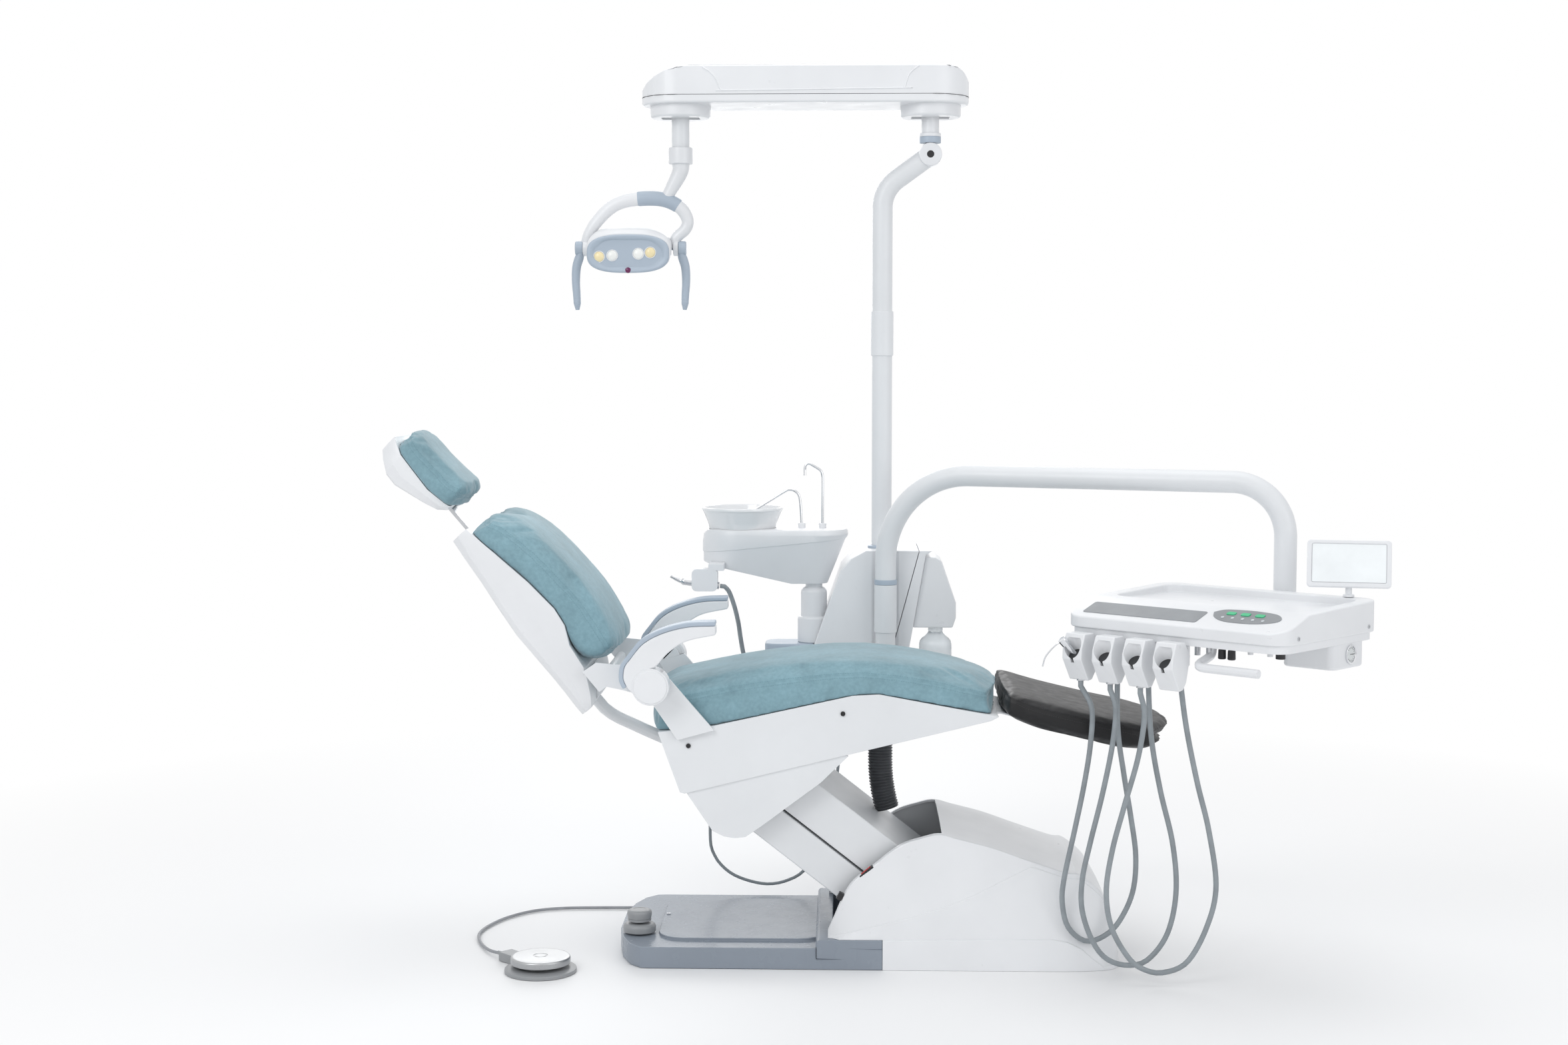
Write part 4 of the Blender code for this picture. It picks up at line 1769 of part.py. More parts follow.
def make_lamp_swivel():
    """Stub that turns on the knuckle and carries the lamp arm's cross pin."""
    low = KNUCKLE_Z + KNUCKLE_RADIUS + CLEAR
    top = seat_point(KNUCKLE_X, LAMP_Y, ARM_AXIS_Z)
    swivel = part("lamp_swivel", rod(
        seat_point(KNUCKLE_X, LAMP_Y, low), seat_point(KNUCKLE_X, LAMP_Y, SWIVEL_COLLAR_TOP),
        SWIVEL_COLLAR_RADIUS,
    ), BLUE_GREY, 0.45)
    join(
        swivel,
        rod(
            seat_point(KNUCKLE_X, LAMP_Y, SWIVEL_COLLAR_TOP - SHEET), top + Vector((0, 0, SHEET * 3)),
            DROP_RADIUS,
        ),
        across(top, LAMP_PIN_HALF_LENGTH, LAMP_PIN_RADIUS, sides=16),
    )
    cut(swivel, bore(
        seat_point(KNUCKLE_X, LAMP_Y, low - OVERRUN),
        seat_point(KNUCKLE_X, LAMP_Y, SWIVEL_COLLAR_TOP - SHEET + CLEAR), SWIVEL_PIN_RADIUS,
    ))
    carry("lamp_swivel_axis", seat_point(KNUCKLE_X, LAMP_Y, low), swivel)
    return swivel


def make_lamp_arm():
    """Long lamp arm with round ends, a disc below each end and the pockets of both joints."""
    right = seat_point(KNUCKLE_X, LAMP_Y, 0)
    left = seat_point(KNUCKLE_X - LAMP_ARM_SPAN, LAMP_Y, 0)
    base = right.z
    outline = stadium((right.x, right.y), (left.x, left.y), LAMP_ARM_HALF_WIDTH, 9)
    arm = part("lamp_arm", plan(outline, base + LAMP_ARM_BOTTOM, base + LAMP_ARM_TOP), WHITE, 0.35)
    soft = arm.modifiers.new("Bevel", "BEVEL")
    soft.width = LAMP_ARM_ROUND
    soft.segments = 2
    soft.limit_method = "ANGLE"
    soft.angle_limit = math.radians(50)
    drop = LAMP_ARM_BOTTOM - LAMP_DISC_BOTTOM
    for centre in (right, left):
        join(arm, turned((
            (0, LAMP_ARM_BOTTOM + drop), (LAMP_DISC_RADIUS, LAMP_ARM_BOTTOM + drop),
            (LAMP_DISC_RADIUS, LAMP_DISC_BOTTOM + SHEET), (LAMP_DISC_RADIUS - SHEET, LAMP_DISC_BOTTOM),
            (0, LAMP_DISC_BOTTOM),
        ), Matrix.Translation(centre), 28))
    top = ARM_AXIS_Z + LAMP_POCKET_RISE
    low = LAMP_DISC_BOTTOM - OVERRUN
    for centre in (right, left):
        pocket = (LAMP_POCKET_HALF_LENGTH * 2, (LAMP_TUBE_RADIUS + CLEAR * 4) * 2, top - low)
        cut(
            arm, box(pocket, centre + Vector((0, 0, (top + low) / 2))),
            bore(
                centre + Vector((0, -LAMP_PIN_HALF_LENGTH - CLEAR, ARM_AXIS_Z)),
                centre + Vector((0, LAMP_PIN_HALF_LENGTH + CLEAR, ARM_AXIS_Z)), LAMP_PIN_RADIUS,
            ),
        )
    carry("lamp_arm_axis", right + Vector((0, 0, ARM_AXIS_Z)), arm)
    return arm


def make_drop_tube():
    """Tube that hangs in the lamp arm's far pocket and stays upright."""
    x = KNUCKLE_X - LAMP_ARM_SPAN
    top = seat_point(x, LAMP_Y, ARM_AXIS_Z)
    drop = part("lamp_drop_tube", rod(
        seat_point(x, LAMP_Y, DROP_BOTTOM), top + Vector((0, 0, SHEET * 3)), DROP_RADIUS,
    ), WHITE, 0.35)
    join(drop, across(top, LAMP_PIN_HALF_LENGTH, LAMP_PIN_RADIUS, sides=16))
    carry("lamp_drop_axis", top, drop)
    return drop


YOKE_SHARES = (
    (1.05, 0.0), (1.04, 0.20), (0.86, 0.48), (0.50, 0.80), (0.12, 0.95), (-0.42, 1.0),
    (-0.85, 0.96), (-1.20, 0.80), (-1.36, 0.56), (-1.30, 0.38), (-1.12, 0.24), (-1.05, 0.14),
    (-1.05, 0.0),
)


def make_lamp_yoke():
    """Collar on the drop tube, its elbow and the arch that holds the lamp head."""
    x = KNUCKLE_X - LAMP_ARM_SPAN
    axis = Matrix.Translation(seat_point(x, LAMP_Y, 0))
    cup = DROP_BOTTOM - CLEAR
    yoke = part("lamp_yoke", turned((
        (DROP_RADIUS + CLEAR * 2, YOKE_COLLAR_TOP), (YOKE_COLLAR_RADIUS - SHEET / 2, YOKE_COLLAR_TOP),
        (YOKE_COLLAR_RADIUS, YOKE_COLLAR_TOP - SHEET), (YOKE_COLLAR_RADIUS, YOKE_COLLAR_BOTTOM + SHEET),
        (YOKE_COLLAR_RADIUS - SHEET, YOKE_COLLAR_BOTTOM), (0, YOKE_COLLAR_BOTTOM), (0, cup),
        (DROP_RADIUS + CLEAR * 2, cup), (DROP_RADIUS + CLEAR * 2, YOKE_COLLAR_TOP),
    ), axis, 20), WHITE, 0.4)
    centre = seat_point(-HEAD_AXIS_X, LAMP_Y, HEAD_AXIS_Z)
    rise = YOKE_COLLAR_BOTTOM - HEAD_AXIS_Z - OVERRUN * 4.1
    arch = [centre + Vector((-a * LAMP_HEAD_HALF_LENGTH, 0, b * rise)) for a, b in YOKE_SHARES]
    peak = centre + Vector((LAMP_HEAD_HALF_LENGTH * 0.83, 0, rise * 0.97))
    elbow = [
        seat_point(x, LAMP_Y, YOKE_COLLAR_BOTTOM + SHEET / 2),
        seat_point(x, LAMP_Y, YOKE_COLLAR_BOTTOM - SHEET * 3),
        seat_point(x - SHEET * 2, LAMP_Y, YOKE_COLLAR_BOTTOM - SHEET * 8), peak,
    ]
    join(yoke, tube(smooth(elbow, 6), YOKE_RADIUS * 1.5, 3), tube(smooth(arch, 20), YOKE_RADIUS, 2))
    for sign in (1, -1):
        inner = centre + Vector((sign * (LAMP_HEAD_HALF_LENGTH + SHEET / 2), 0, 0))
        join(yoke, rod(inner, inner + Vector((sign * YOKE_EYE_WIDTH, 0, 0)), YOKE_EYE_RADIUS, sides=16))
    reach = Vector((LAMP_HEAD_HALF_LENGTH + OVERRUN * 2, 0, 0))
    cut(yoke, bore(centre - reach, centre + reach, TRUNNION_RADIUS, 12))
    carry("lamp_yoke_axis", seat_point(x, LAMP_Y, YOKE_COLLAR_TOP), yoke)
    return yoke


HEAD_RING_SHARES = (
    (0.0, 0.97, 0.97), (0.12, 1.0, 1.02), (0.40, 0.985, 1.12), (0.68, 0.86, 0.98), (0.88, 0.60, 0.72),
    (1.0, 0.30, 0.36),
)


def oval(centre, half_length, half_height, y, points=24, wave=0.0):
    """Return a rounded oval in the plane of one Y, optionally with waves."""
    ring = []
    for i in range(points):
        a = math.tau * i / points
        swell = 1 + wave * math.cos(a * 6)
        squash = 0.72
        x = math.copysign(abs(math.cos(a)) ** squash, math.cos(a))
        z = math.copysign(abs(math.sin(a)) ** squash, math.sin(a))
        ring.append((centre.x + half_length * x * swell, y, centre.z + half_height * z * swell))
    return ring


def make_lamp_head():
    """Lamp head with its face bezel, and the handles on the shaft through it."""
    centre = seat_point(-HEAD_AXIS_X, LAMP_Y, HEAD_AXIS_Z)
    front = LAMP_Y - LAMP_HEAD_FRONT
    drop = LAMP_HEAD_HALF_HEIGHT * 0.35
    rings = []
    for depth, wide, high in HEAD_RING_SHARES:
        middle = centre - Vector((0, 0, drop * (1 - depth)))
        rings.append(
            oval(
                middle, LAMP_HEAD_HALF_LENGTH * wide, LAMP_HEAD_HALF_HEIGHT * high,
                front + depth * LAMP_HEAD_DEPTH,
            ),
        )
    head = part("lamp_head", loft(rings), WHITE, 0.3)
    reach = Vector((LAMP_HEAD_HALF_LENGTH * 1.5, 0, 0))
    cut(head, bore(centre - reach, centre + reach, TRUNNION_RADIUS, 12))
    face = centre - Vector((0, 0, drop))
    outer = [
        oval(face, LAMP_HEAD_HALF_LENGTH * 0.93, LAMP_HEAD_HALF_HEIGHT * 0.92, front - BEZEL_THICKNESS),
        oval(face, LAMP_HEAD_HALF_LENGTH * 0.97, LAMP_HEAD_HALF_HEIGHT * 0.97, front - CLEAR),
    ]
    bezel = part("lamp_bezel", loft(outer), BLUE_GREY, 0.3)
    hollow = [
        oval(
            face, LAMP_HEAD_HALF_LENGTH * 0.80, LAMP_HEAD_HALF_HEIGHT * 0.72, front - BEZEL_THICKNESS * 2,
            wave=0.03,
        ),
        oval(
            face, LAMP_HEAD_HALF_LENGTH * 0.76, LAMP_HEAD_HALF_HEIGHT * 0.66,
            front - BEZEL_THICKNESS + BEZEL_RECESS, wave=0.03,
        ),
    ]
    cut(bezel, loft(hollow))
    outside = LAMP_HEAD_HALF_LENGTH + SHEET / 2 + YOKE_EYE_WIDTH + CLEAR
    shaft = Vector((outside + HANDLE_THICKNESS * 0.6, 0, 0))
    handles = part(
        "lamp_handles", rod(centre - shaft, centre + shaft, TRUNNION_RADIUS, sides=12), BLUE_GREY, 0.5,
    )
    for sign in (1, -1):
        top = centre + Vector((sign * (outside + HANDLE_THICKNESS * 0.5), 0, 0))
        outline = [
            (top.x - HANDLE_THICKNESS / 2, top.z + SHEET), (top.x + HANDLE_THICKNESS / 2, top.z + SHEET),
            (top.x + HANDLE_THICKNESS / 2 + sign * HANDLE_DROP * 0.10, top.z - HANDLE_DROP * 0.35),
            (top.x + HANDLE_THICKNESS * 0.4 + sign * HANDLE_DROP * 0.07, top.z - HANDLE_DROP),
            (top.x - HANDLE_THICKNESS * 0.4 + sign * HANDLE_DROP * 0.07, top.z - HANDLE_DROP),
            (top.x - HANDLE_THICKNESS / 2 + sign * HANDLE_DROP * 0.10, top.z - HANDLE_DROP * 0.35),
        ]
        join(handles, side(outline, LAMP_Y - HANDLE_WIDTH / 2, LAMP_Y + HANDLE_WIDTH / 2))
    carry("lamp_head_axis", centre, head, bezel, handles)
    return head, bezel, handles


# Delivery arm and tray
def make_delivery_arm():
    """Bent tube from the post over to the tray, with the spigot that turns in the sleeve."""
    foot = seat_point(POST_X, POST_Y, SLEEVE_TOP + CLEAR)
    corner = seat_point(POST_X, POST_Y, ARM_LEVEL)
    far = seat_point(TRAY_POST_X, -TRAY_POST_Y, ARM_LEVEL)
    end = seat_point(TRAY_POST_X, -TRAY_POST_Y, TRAY_POST_BOTTOM)
    route = fillet([foot, corner, far, end], (ARM_LEFT_BEND, ARM_RIGHT_BEND), 7)
    arm = part("delivery_arm", tube(route, ARM_TUBE_RADIUS, 3), WHITE, 0.35)
    join(arm, rod(
        seat_point(POST_X, POST_Y, SLEEVE_TOP - SPIGOT_LENGTH + CLEAR), foot + Vector((0, 0, SHEET * 2)),
        SPIGOT_RADIUS,
    ))
    carry("delivery_arm_axis", foot, arm)
    return arm


TRAY_PROFILE_SHARES = ((-0.5, 0), (0.5, 0), (0.5, 1.0), (-0.25, 0.853), (-0.5, 0.353))
HOLDER_SHARES = (
    (0.20, 1.0), (0.67, 1.0), (0.97, 0.71), (0.77, 0.17), (0.60, 0.02), (0.40, 0), (0.0, 0.47), (0.02, 0.69),
)


def tray_outline(inset):
    """Return the tray's round-cornered outline, drawn in by an inset."""
    half_width = TRAY_WIDTH / 2 - inset
    half_depth = TRAY_DEPTH / 2 - inset
    return rounded_box(-half_width, half_width, -half_depth, half_depth, TRAY_CORNER - inset, 5)


def make_tray():
    """Tray: moulded top with its recess, and the lower half with lip, boss, pod and grip."""
    frame = tray_frame()
    turn = Matrix.Rotation(math.radians(90), 4, "Z")
    top = part("tray_top", plan(tray_outline(0), 0, TRAY_HEIGHT * 1.2, frame), WHITE, 0.3)
    half = TRAY_WIDTH
    wide = scaled(TRAY_PROFILE_SHARES, 0, 0, TRAY_DEPTH, TRAY_HEIGHT)
    low = [
        (wide[0][0] - OVERRUN, -OVERRUN), (wide[1][0] + OVERRUN, -OVERRUN),
        (wide[2][0] + OVERRUN, wide[2][1] + CLEAR), wide[3], wide[4],
        (wide[4][0] - OVERRUN, wide[4][1] - OVERRUN),
    ]
    keep(top, side(low, -half, half, frame @ turn))
    shelf = rounded_box(
        -TRAY_WIDTH * 0.44, TRAY_WIDTH * 0.44, -TRAY_DEPTH * 0.16, TRAY_DEPTH * 0.43, TRAY_CORNER * 0.8, 4,
    )
    shelf_floor = TRAY_HEIGHT * 0.86 - TRAY_RECESS
    cut(top, plan(shelf, shelf_floor, TRAY_HEIGHT * 1.5, frame))
    lip = part("tray_base", plan(tray_outline(LIP_INSET), -LIP_HEIGHT, -CLEAR, frame), WHITE, 0.3)
    post = frame.inverted() @ seat_point(TRAY_POST_X, -TRAY_POST_Y, TRAY_POST_BOTTOM)
    boss_low = post.z - TRAY_BOSS_FLOOR
    arm = [
        (post.x - TRAY_BOSS_RADIUS * 0.9, post.y),
        (post.x - TRAY_BOSS_RADIUS * 1.6, TRAY_DEPTH / 2 - LIP_INSET * 4),
        (post.x + TRAY_BOSS_RADIUS * 1.6, TRAY_DEPTH / 2 - LIP_INSET * 4),
        (post.x + TRAY_BOSS_RADIUS * 0.9, post.y),
    ]
    bridge_top = -LIP_HEIGHT + SHEET
    join(
        lip, plan(list(reversed(arm)), boss_low + SHEET, bridge_top, frame),
        rod(
            frame @ Vector((post.x, post.y, boss_low)),
            frame @ Vector((post.x, post.y, post.z + TRAY_BOSS_TOP)), TRAY_BOSS_RADIUS, sides=32,
        ),
        box((POD_LENGTH, POD_DEPTH, POD_HEIGHT), frame @ Vector((
            TRAY_WIDTH / 2 - POD_LENGTH * 0.75, POD_DEPTH * 0.9, -LIP_HEIGHT + SHEET - POD_HEIGHT / 2,
        )), Matrix.Rotation(math.radians(TRAY_TURN_DEG), 4, "Z")),
    )
    grip_y = -TRAY_DEPTH * 0.42
    start = (TRAY_WIDTH * 0.112, grip_y + TRAY_DEPTH * 0.10, -LIP_HEIGHT + SHEET / 2)
    grip = [
        start, (start[0], start[1], -LIP_HEIGHT - GRIP_DROP * 0.55),
        (start[0], grip_y - TRAY_DEPTH * 0.07, -LIP_HEIGHT - GRIP_DROP),
        (start[0] + TRAY_WIDTH * 0.28, grip_y - TRAY_DEPTH * 0.07, -LIP_HEIGHT - GRIP_DROP),
    ]
    join(lip, tube(fillet(grip, (GRIP_RADIUS * 1.6, GRIP_RADIUS * 2.6), 4), GRIP_RADIUS, 3, frame))
    for index in range(2):
        x = TRAY_WIDTH * (0.24 + 0.085 * index)
        join(
            lip,
            rod(
                frame @ Vector((x, grip_y + TRAY_DEPTH * 0.19, -LIP_HEIGHT + SHEET)),
                frame @ Vector((x, grip_y + TRAY_DEPTH * 0.19, -LIP_HEIGHT - OVERRUN)), KNOB_RADIUS * 0.6,
                sides=12,
            ),
        )
    for index in range(1, 4):
        x = holder_x(index) - HOLDER_PITCH * 0.235
        join(
            lip,
            rod(
                frame @ Vector((x, -RETURN_DEPTH, -LIP_HEIGHT + SHEET)),
                frame @ Vector((x, -RETURN_DEPTH, -LIP_HEIGHT - NIPPLE_LENGTH)), COUPLING_RADIUS, sides=12,
            ),
        )
    cut(lip, bore(
        frame @ Vector((post.x, post.y, post.z - CLEAR)),
        frame @ Vector((post.x, post.y, post.z + TRAY_BOSS_TOP + OVERRUN)), ARM_TUBE_RADIUS, 32,
    ))
    return top, lip


def holder_x(index):
    """Return the place of a holder along the tray."""
    return -TRAY_WIDTH / 2 + HOLDER_FIRST + HOLDER_PITCH * index


def make_instrument_holders():
    """Four faceted holders in a row, each with its cone and slot, on one hanging plate."""
    frame = tray_frame()
    turn = Matrix.Rotation(math.radians(90), 4, "Z")
    low = HOLDER_LOW - TRAY_SEAM
    outline = scaled(HOLDER_SHARES, -HOLDER_FRONT, low, HOLDER_DEEP, HOLDER_RISE)
    back = -HOLDER_FRONT + HOLDER_DEEP * 0.93
    left, right = holder_x(0), holder_x(3)
    span = right - left + HOLDER_WIDTH * 0.9
    plate_top = -LIP_HEIGHT - CLEAR
    plate_low = low + HOLDER_RISE * 0.50
    holders = part("instrument_holders", box(
        (span, SHEET * 2, plate_top - plate_low),
        frame @ Vector(((left + right) / 2, back, (plate_top + plate_low) / 2)),
        Matrix.Rotation(math.radians(TRAY_TURN_DEG), 4, "Z"),
    ), WHITE, 0.3)
    for index in range(4):
        x = holder_x(index)
        join(holders, side(outline, -x - HOLDER_WIDTH / 2, -x + HOLDER_WIDTH / 2, frame @ turn))
    for index in range(4):
        x = holder_x(index)
        mouth = Vector((x, -HOLDER_FRONT - SHEET, low + HOLDER_RISE * 0.80))
        foot = Vector((x, -HOLDER_FRONT + HOLDER_DEEP * 0.46, low + HOLDER_RISE * 0.36))
        cut(holders, rod(frame @ mouth, frame @ foot, CONE_RADIUS, CONE_FOOT_RADIUS, sides=16))
    for index in range(3):
        x = holder_x(index)
        start = Vector((x, -HOLDER_FRONT + HOLDER_DEEP * 0.50, low + HOLDER_RISE * 0.12))
        join(
            holders,
            rod(
                frame @ start, frame @ (start - Vector((0, 0, COUPLING_LENGTH))), COUPLING_RADIUS, sides=12,
            ),
        )
    return holders


def make_syringe():
    """Three-way syringe in the first holder, with its bent nozzle."""
    frame = tray_frame()
    low = HOLDER_LOW - TRAY_SEAM
    foot = Vector((holder_x(0), -HOLDER_FRONT + HOLDER_DEEP * 0.42, low + HOLDER_RISE * 0.435))
    run = Vector((-0.30, -0.62, 0.73)).normalized()
    head = foot + run * SYRINGE_LENGTH
    body = part(
        "syringe", rod(frame @ foot, frame @ head, SYRINGE_RADIUS * 0.85, SYRINGE_RADIUS, sides=16), STEEL,
        0.25, 1.0,
    )
    nozzle = [
        head - run * SYRINGE_RADIUS, head + Vector((-OVERRUN * 0.5, -OVERRUN * 0.35, -OVERRUN * 0.35)),
        head + Vector((-OVERRUN * 1.7, -OVERRUN * 0.7, -OVERRUN * 1.7)),
        head + Vector((-OVERRUN * 2.1, -OVERRUN * 0.8, -OVERRUN * 2.9)),
    ]
    join(body, tube(smooth(nozzle, 10), NOZZLE_RADIUS, 1, frame), rod(
        frame @ (head - run * SHEET), frame @ (head + run * SHEET * 1.5), SYRINGE_RADIUS * 1.3, sides=12,
    ))
    return body


HOSE_ROUTES = (
    ((0.486, 0.578), (0.484, 0.499), (0.471, 0.409), (0.452, 0.312), (0.430, 0.204), (0.427, 0.150),
     (0.441, 0.097), (0.481, 0.068), (0.528, 0.087), (0.559, 0.128), (0.580, 0.185), (0.584, 0.259),
     (0.572, 0.345), (0.556, 0.438), (0.542, 0.540)),
    ((0.531, 0.586), (0.525, 0.508), (0.505, 0.402), (0.480, 0.296), (0.464, 0.217), (0.464, 0.150),
     (0.486, 0.084), (0.517, 0.044), (0.562, 0.030), (0.606, 0.043), (0.647, 0.101), (0.664, 0.192),
     (0.655, 0.297), (0.627, 0.413), (0.606, 0.534)),
    ((0.585, 0.579), (0.573, 0.491), (0.545, 0.386), (0.521, 0.292), (0.509, 0.203), (0.521, 0.125),
     (0.557, 0.061), (0.589, 0.036), (0.630, 0.029), (0.681, 0.052), (0.721, 0.126), (0.740, 0.215),
     (0.723, 0.335), (0.697, 0.439), (0.672, 0.560)),
)


def make_hoses():
    """Three instrument hoses: from a holder down to a low loop and up behind the next one."""
    frame = tray_frame()
    low = HOLDER_LOW - TRAY_SEAM
    hoses = []
    for index, places in enumerate(HOSE_ROUTES):
        start = frame @ Vector((
            holder_x(index), -HOLDER_FRONT + HOLDER_DEEP * 0.50,
            low + HOLDER_RISE * 0.12 - COUPLING_LENGTH - CLEAR,
        ))
        end = frame @ Vector((
            holder_x(index + 1) - HOLDER_PITCH * 0.235, -RETURN_DEPTH, -LIP_HEIGHT - NIPPLE_LENGTH - CLEAR,
        ))
        straight = Vector((0, 0, -HOSE_RADIUS * 2))
        route = [start + straight]
        for i, (x, z) in enumerate(places):
            share = (i + 1) / (len(places) + 1)
            route.append(Vector((x, start.y + (end.y - start.y) * share, z)))
        points = [start] + smooth(route + [end + straight], 40) + [end]
        hoses.append(part(f"hose_{index + 1}", tube(points, HOSE_RADIUS), GREY, 0.5))
    return hoses


def make_viewer():
    """Small viewer that tilts on its stand at the back of the tray."""
    frame = tray_frame()
    foot = Vector((VIEWER_PLACE, TRAY_DEPTH / 2 - LIP_INSET * 1.6, TRAY_HEIGHT + CLEAR))
    pin = foot + Vector((0, 0, LIP_INSET * 1.5))
    lean = Matrix.Rotation(math.radians(-VIEWER_TILT_DEG), 4, "X")
    yaw = Matrix.Rotation(math.radians(-TRAY_TURN_DEG * 0.7), 4, "Z")
    local = frame @ Matrix.Translation(foot) @ yaw
    centre = Vector((0, 0, VIEWER_RISE))
    panel = rounded_box(
        -VIEWER_WIDTH / 2, VIEWER_WIDTH / 2, -VIEWER_HEIGHT / 2, VIEWER_HEIGHT / 2, LIP_INSET, 3,
    )
    hold = local @ Matrix.Translation(centre) @ lean
    viewer = part("viewer", plate(panel, VIEWER_THICKNESS, hold @ FRONT), WHITE, 0.3)
    join(
        viewer,
        rod(
            local @ Vector((0, 0, 0)), local @ Vector((0, 0, VIEWER_RISE * 0.5)), KNOB_RADIUS * 0.7,
            sides=16,
        ),
    )
    glass = rounded_box(
        -VIEWER_WIDTH * 0.44, VIEWER_WIDTH * 0.44, -VIEWER_HEIGHT * 0.40, VIEWER_HEIGHT * 0.42,
        LIP_INSET / 2, 2,
    )
    cut(viewer, plate(glass, SHEET, hold @ Matrix.Translation((0, -VIEWER_THICKNESS / 2, 0)) @ FRONT))
    carry("viewer_axis", frame @ pin, viewer)
    return viewer


def make_valve_knob():
    """Black knob of a valve under the tray."""
    frame = tray_frame()
    place = Vector((TRAY_WIDTH * 0.40, -TRAY_DEPTH * 0.30, -LIP_HEIGHT - CLEAR))
    knob = part("valve_knob", turned((
        (0, place.z), (KNOB_RADIUS * 0.5, place.z), (KNOB_RADIUS * 0.5, place.z - KNOB_LENGTH * 0.3),
        (KNOB_RADIUS, place.z - KNOB_LENGTH * 0.4), (KNOB_RADIUS, place.z - KNOB_LENGTH),
        (0, place.z - KNOB_LENGTH),
    ), frame @ Matrix.Translation((place.x, place.y, 0)), 20), BLACK, 0.4)
    carry("valve_knob_axis", frame @ place, knob)
    return knob


# Whole unit
def main():
    clear_scene()
    group("Dental unit")
    group("Cutters")
    make_base_frame()
    make_base_cover()
    make_rear_cover()
    make_power_rocker()
    make_foot_switch()
    make_pedal()
    make_links()
    make_seat_frame()
    make_link_bracket()
    make_seat_cushion()
    make_foot_cushion()
    make_conduit_hose()
    shell = make_backrest_shell()
    back = make_backrest_cushion()
    frame = make_backrest_frame()
    arch = make_back_arch()
    carry("backrest_axis", seat_point(-BACK_PIVOT_X, 0, BACK_PIVOT_Z), shell, back, frame, arch)
    bar, head_shell, head_pad = make_headrest()
    carry("headrest_bar_axis", head_frame() @ Vector((0, 0, 0)), bar)
    carry("headrest_axis", head_frame() @ Vector((0, 0, 0)), head_shell, head_pad)
    make_armrest("near", -1)
    make_armrest("far", 1)
    make_side_box()
    make_bottle()
    make_cuspidor()
    make_suction()
    make_lamp_pole()
    make_lamp_swivel()
    make_lamp_arm()
    make_drop_tube()
    make_lamp_yoke()
    make_lamp_head()
    make_delivery_arm()
    make_tray()
    make_instrument_holders()
    make_syringe()
    make_hoses()
    make_viewer()
    make_valve_knob()


main()
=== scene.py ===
"""Looks of the dental unit: finishes, upholstery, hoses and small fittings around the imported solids."""

from __future__ import annotations

import json
import logging
import math
from collections.abc import Callable, Iterable, Sequence
from dataclasses import dataclass, field
from enum import Enum

import bmesh
import bpy
from mathutils import Matrix, Vector
from mathutils.bvhtree import BVHTree
from mathutils.kdtree import KDTree


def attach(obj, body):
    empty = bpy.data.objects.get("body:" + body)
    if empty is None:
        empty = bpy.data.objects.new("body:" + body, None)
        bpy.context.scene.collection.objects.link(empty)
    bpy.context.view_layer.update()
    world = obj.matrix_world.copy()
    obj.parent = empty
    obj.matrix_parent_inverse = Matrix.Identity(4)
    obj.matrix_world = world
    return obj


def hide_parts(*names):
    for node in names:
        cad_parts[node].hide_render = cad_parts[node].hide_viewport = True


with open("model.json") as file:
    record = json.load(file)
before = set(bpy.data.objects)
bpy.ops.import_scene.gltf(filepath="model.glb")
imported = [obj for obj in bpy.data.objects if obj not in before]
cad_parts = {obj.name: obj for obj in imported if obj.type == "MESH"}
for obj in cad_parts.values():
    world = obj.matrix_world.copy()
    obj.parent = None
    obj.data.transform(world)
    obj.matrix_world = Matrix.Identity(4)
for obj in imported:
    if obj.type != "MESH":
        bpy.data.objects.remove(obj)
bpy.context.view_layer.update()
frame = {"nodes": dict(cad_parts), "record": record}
LOG = logging.getLogger("dental_unit")
BODY = {node: body for body, nodes in frame["record"]["behaviour"]["bodies"].items() for node in nodes}

Colour = tuple[float, float, float]
Point = Sequence[float]
Mesh, Object, Socket = bpy.types.Mesh, bpy.types.Object, bpy.types.NodeSocket
UP = Vector((0.0, 0.0, 1.0))
FRONT = Matrix.Rotation(math.radians(90), 4, "X")


# Finishes
def shade(colour: Colour, share: float) -> tuple[float, float, float, float]:
    """Return a colour made lighter or darker by a share, with its alpha."""
    return (*[min(max(part * share, 0.0), 1.0) for part in colour], 1.0)


class Network:
    """A node tree under construction."""

    def __init__(self, tree: bpy.types.NodeTree) -> None:
        """Start from a tree."""
        self.tree = tree

    def feed(self, socket: Socket, value: object) -> None:
        """Link a socket to another one, or give it a value."""
        if isinstance(value, Socket):
            self.tree.links.new(value, socket)
        else:
            socket.default_value = value

    def add(self, kind: str, inputs: dict[str | int, object] | None = None, out: str | int = 0,
            **settings: object) -> Socket:
        """Add a node.

        Args:
            kind: The node's type.
            inputs: Values or sockets for its inputs, by name or number.
            out: The name or number of the output that is wanted.
            **settings: Values of its own properties.

        Returns:
            That output.
        """
        node = self.tree.nodes.new(kind)
        for key, value in settings.items():
            setattr(node, key, value)
        for key, value in (inputs or {}).items():
            self.feed(node.inputs[key], value)
        return node.outputs[out]


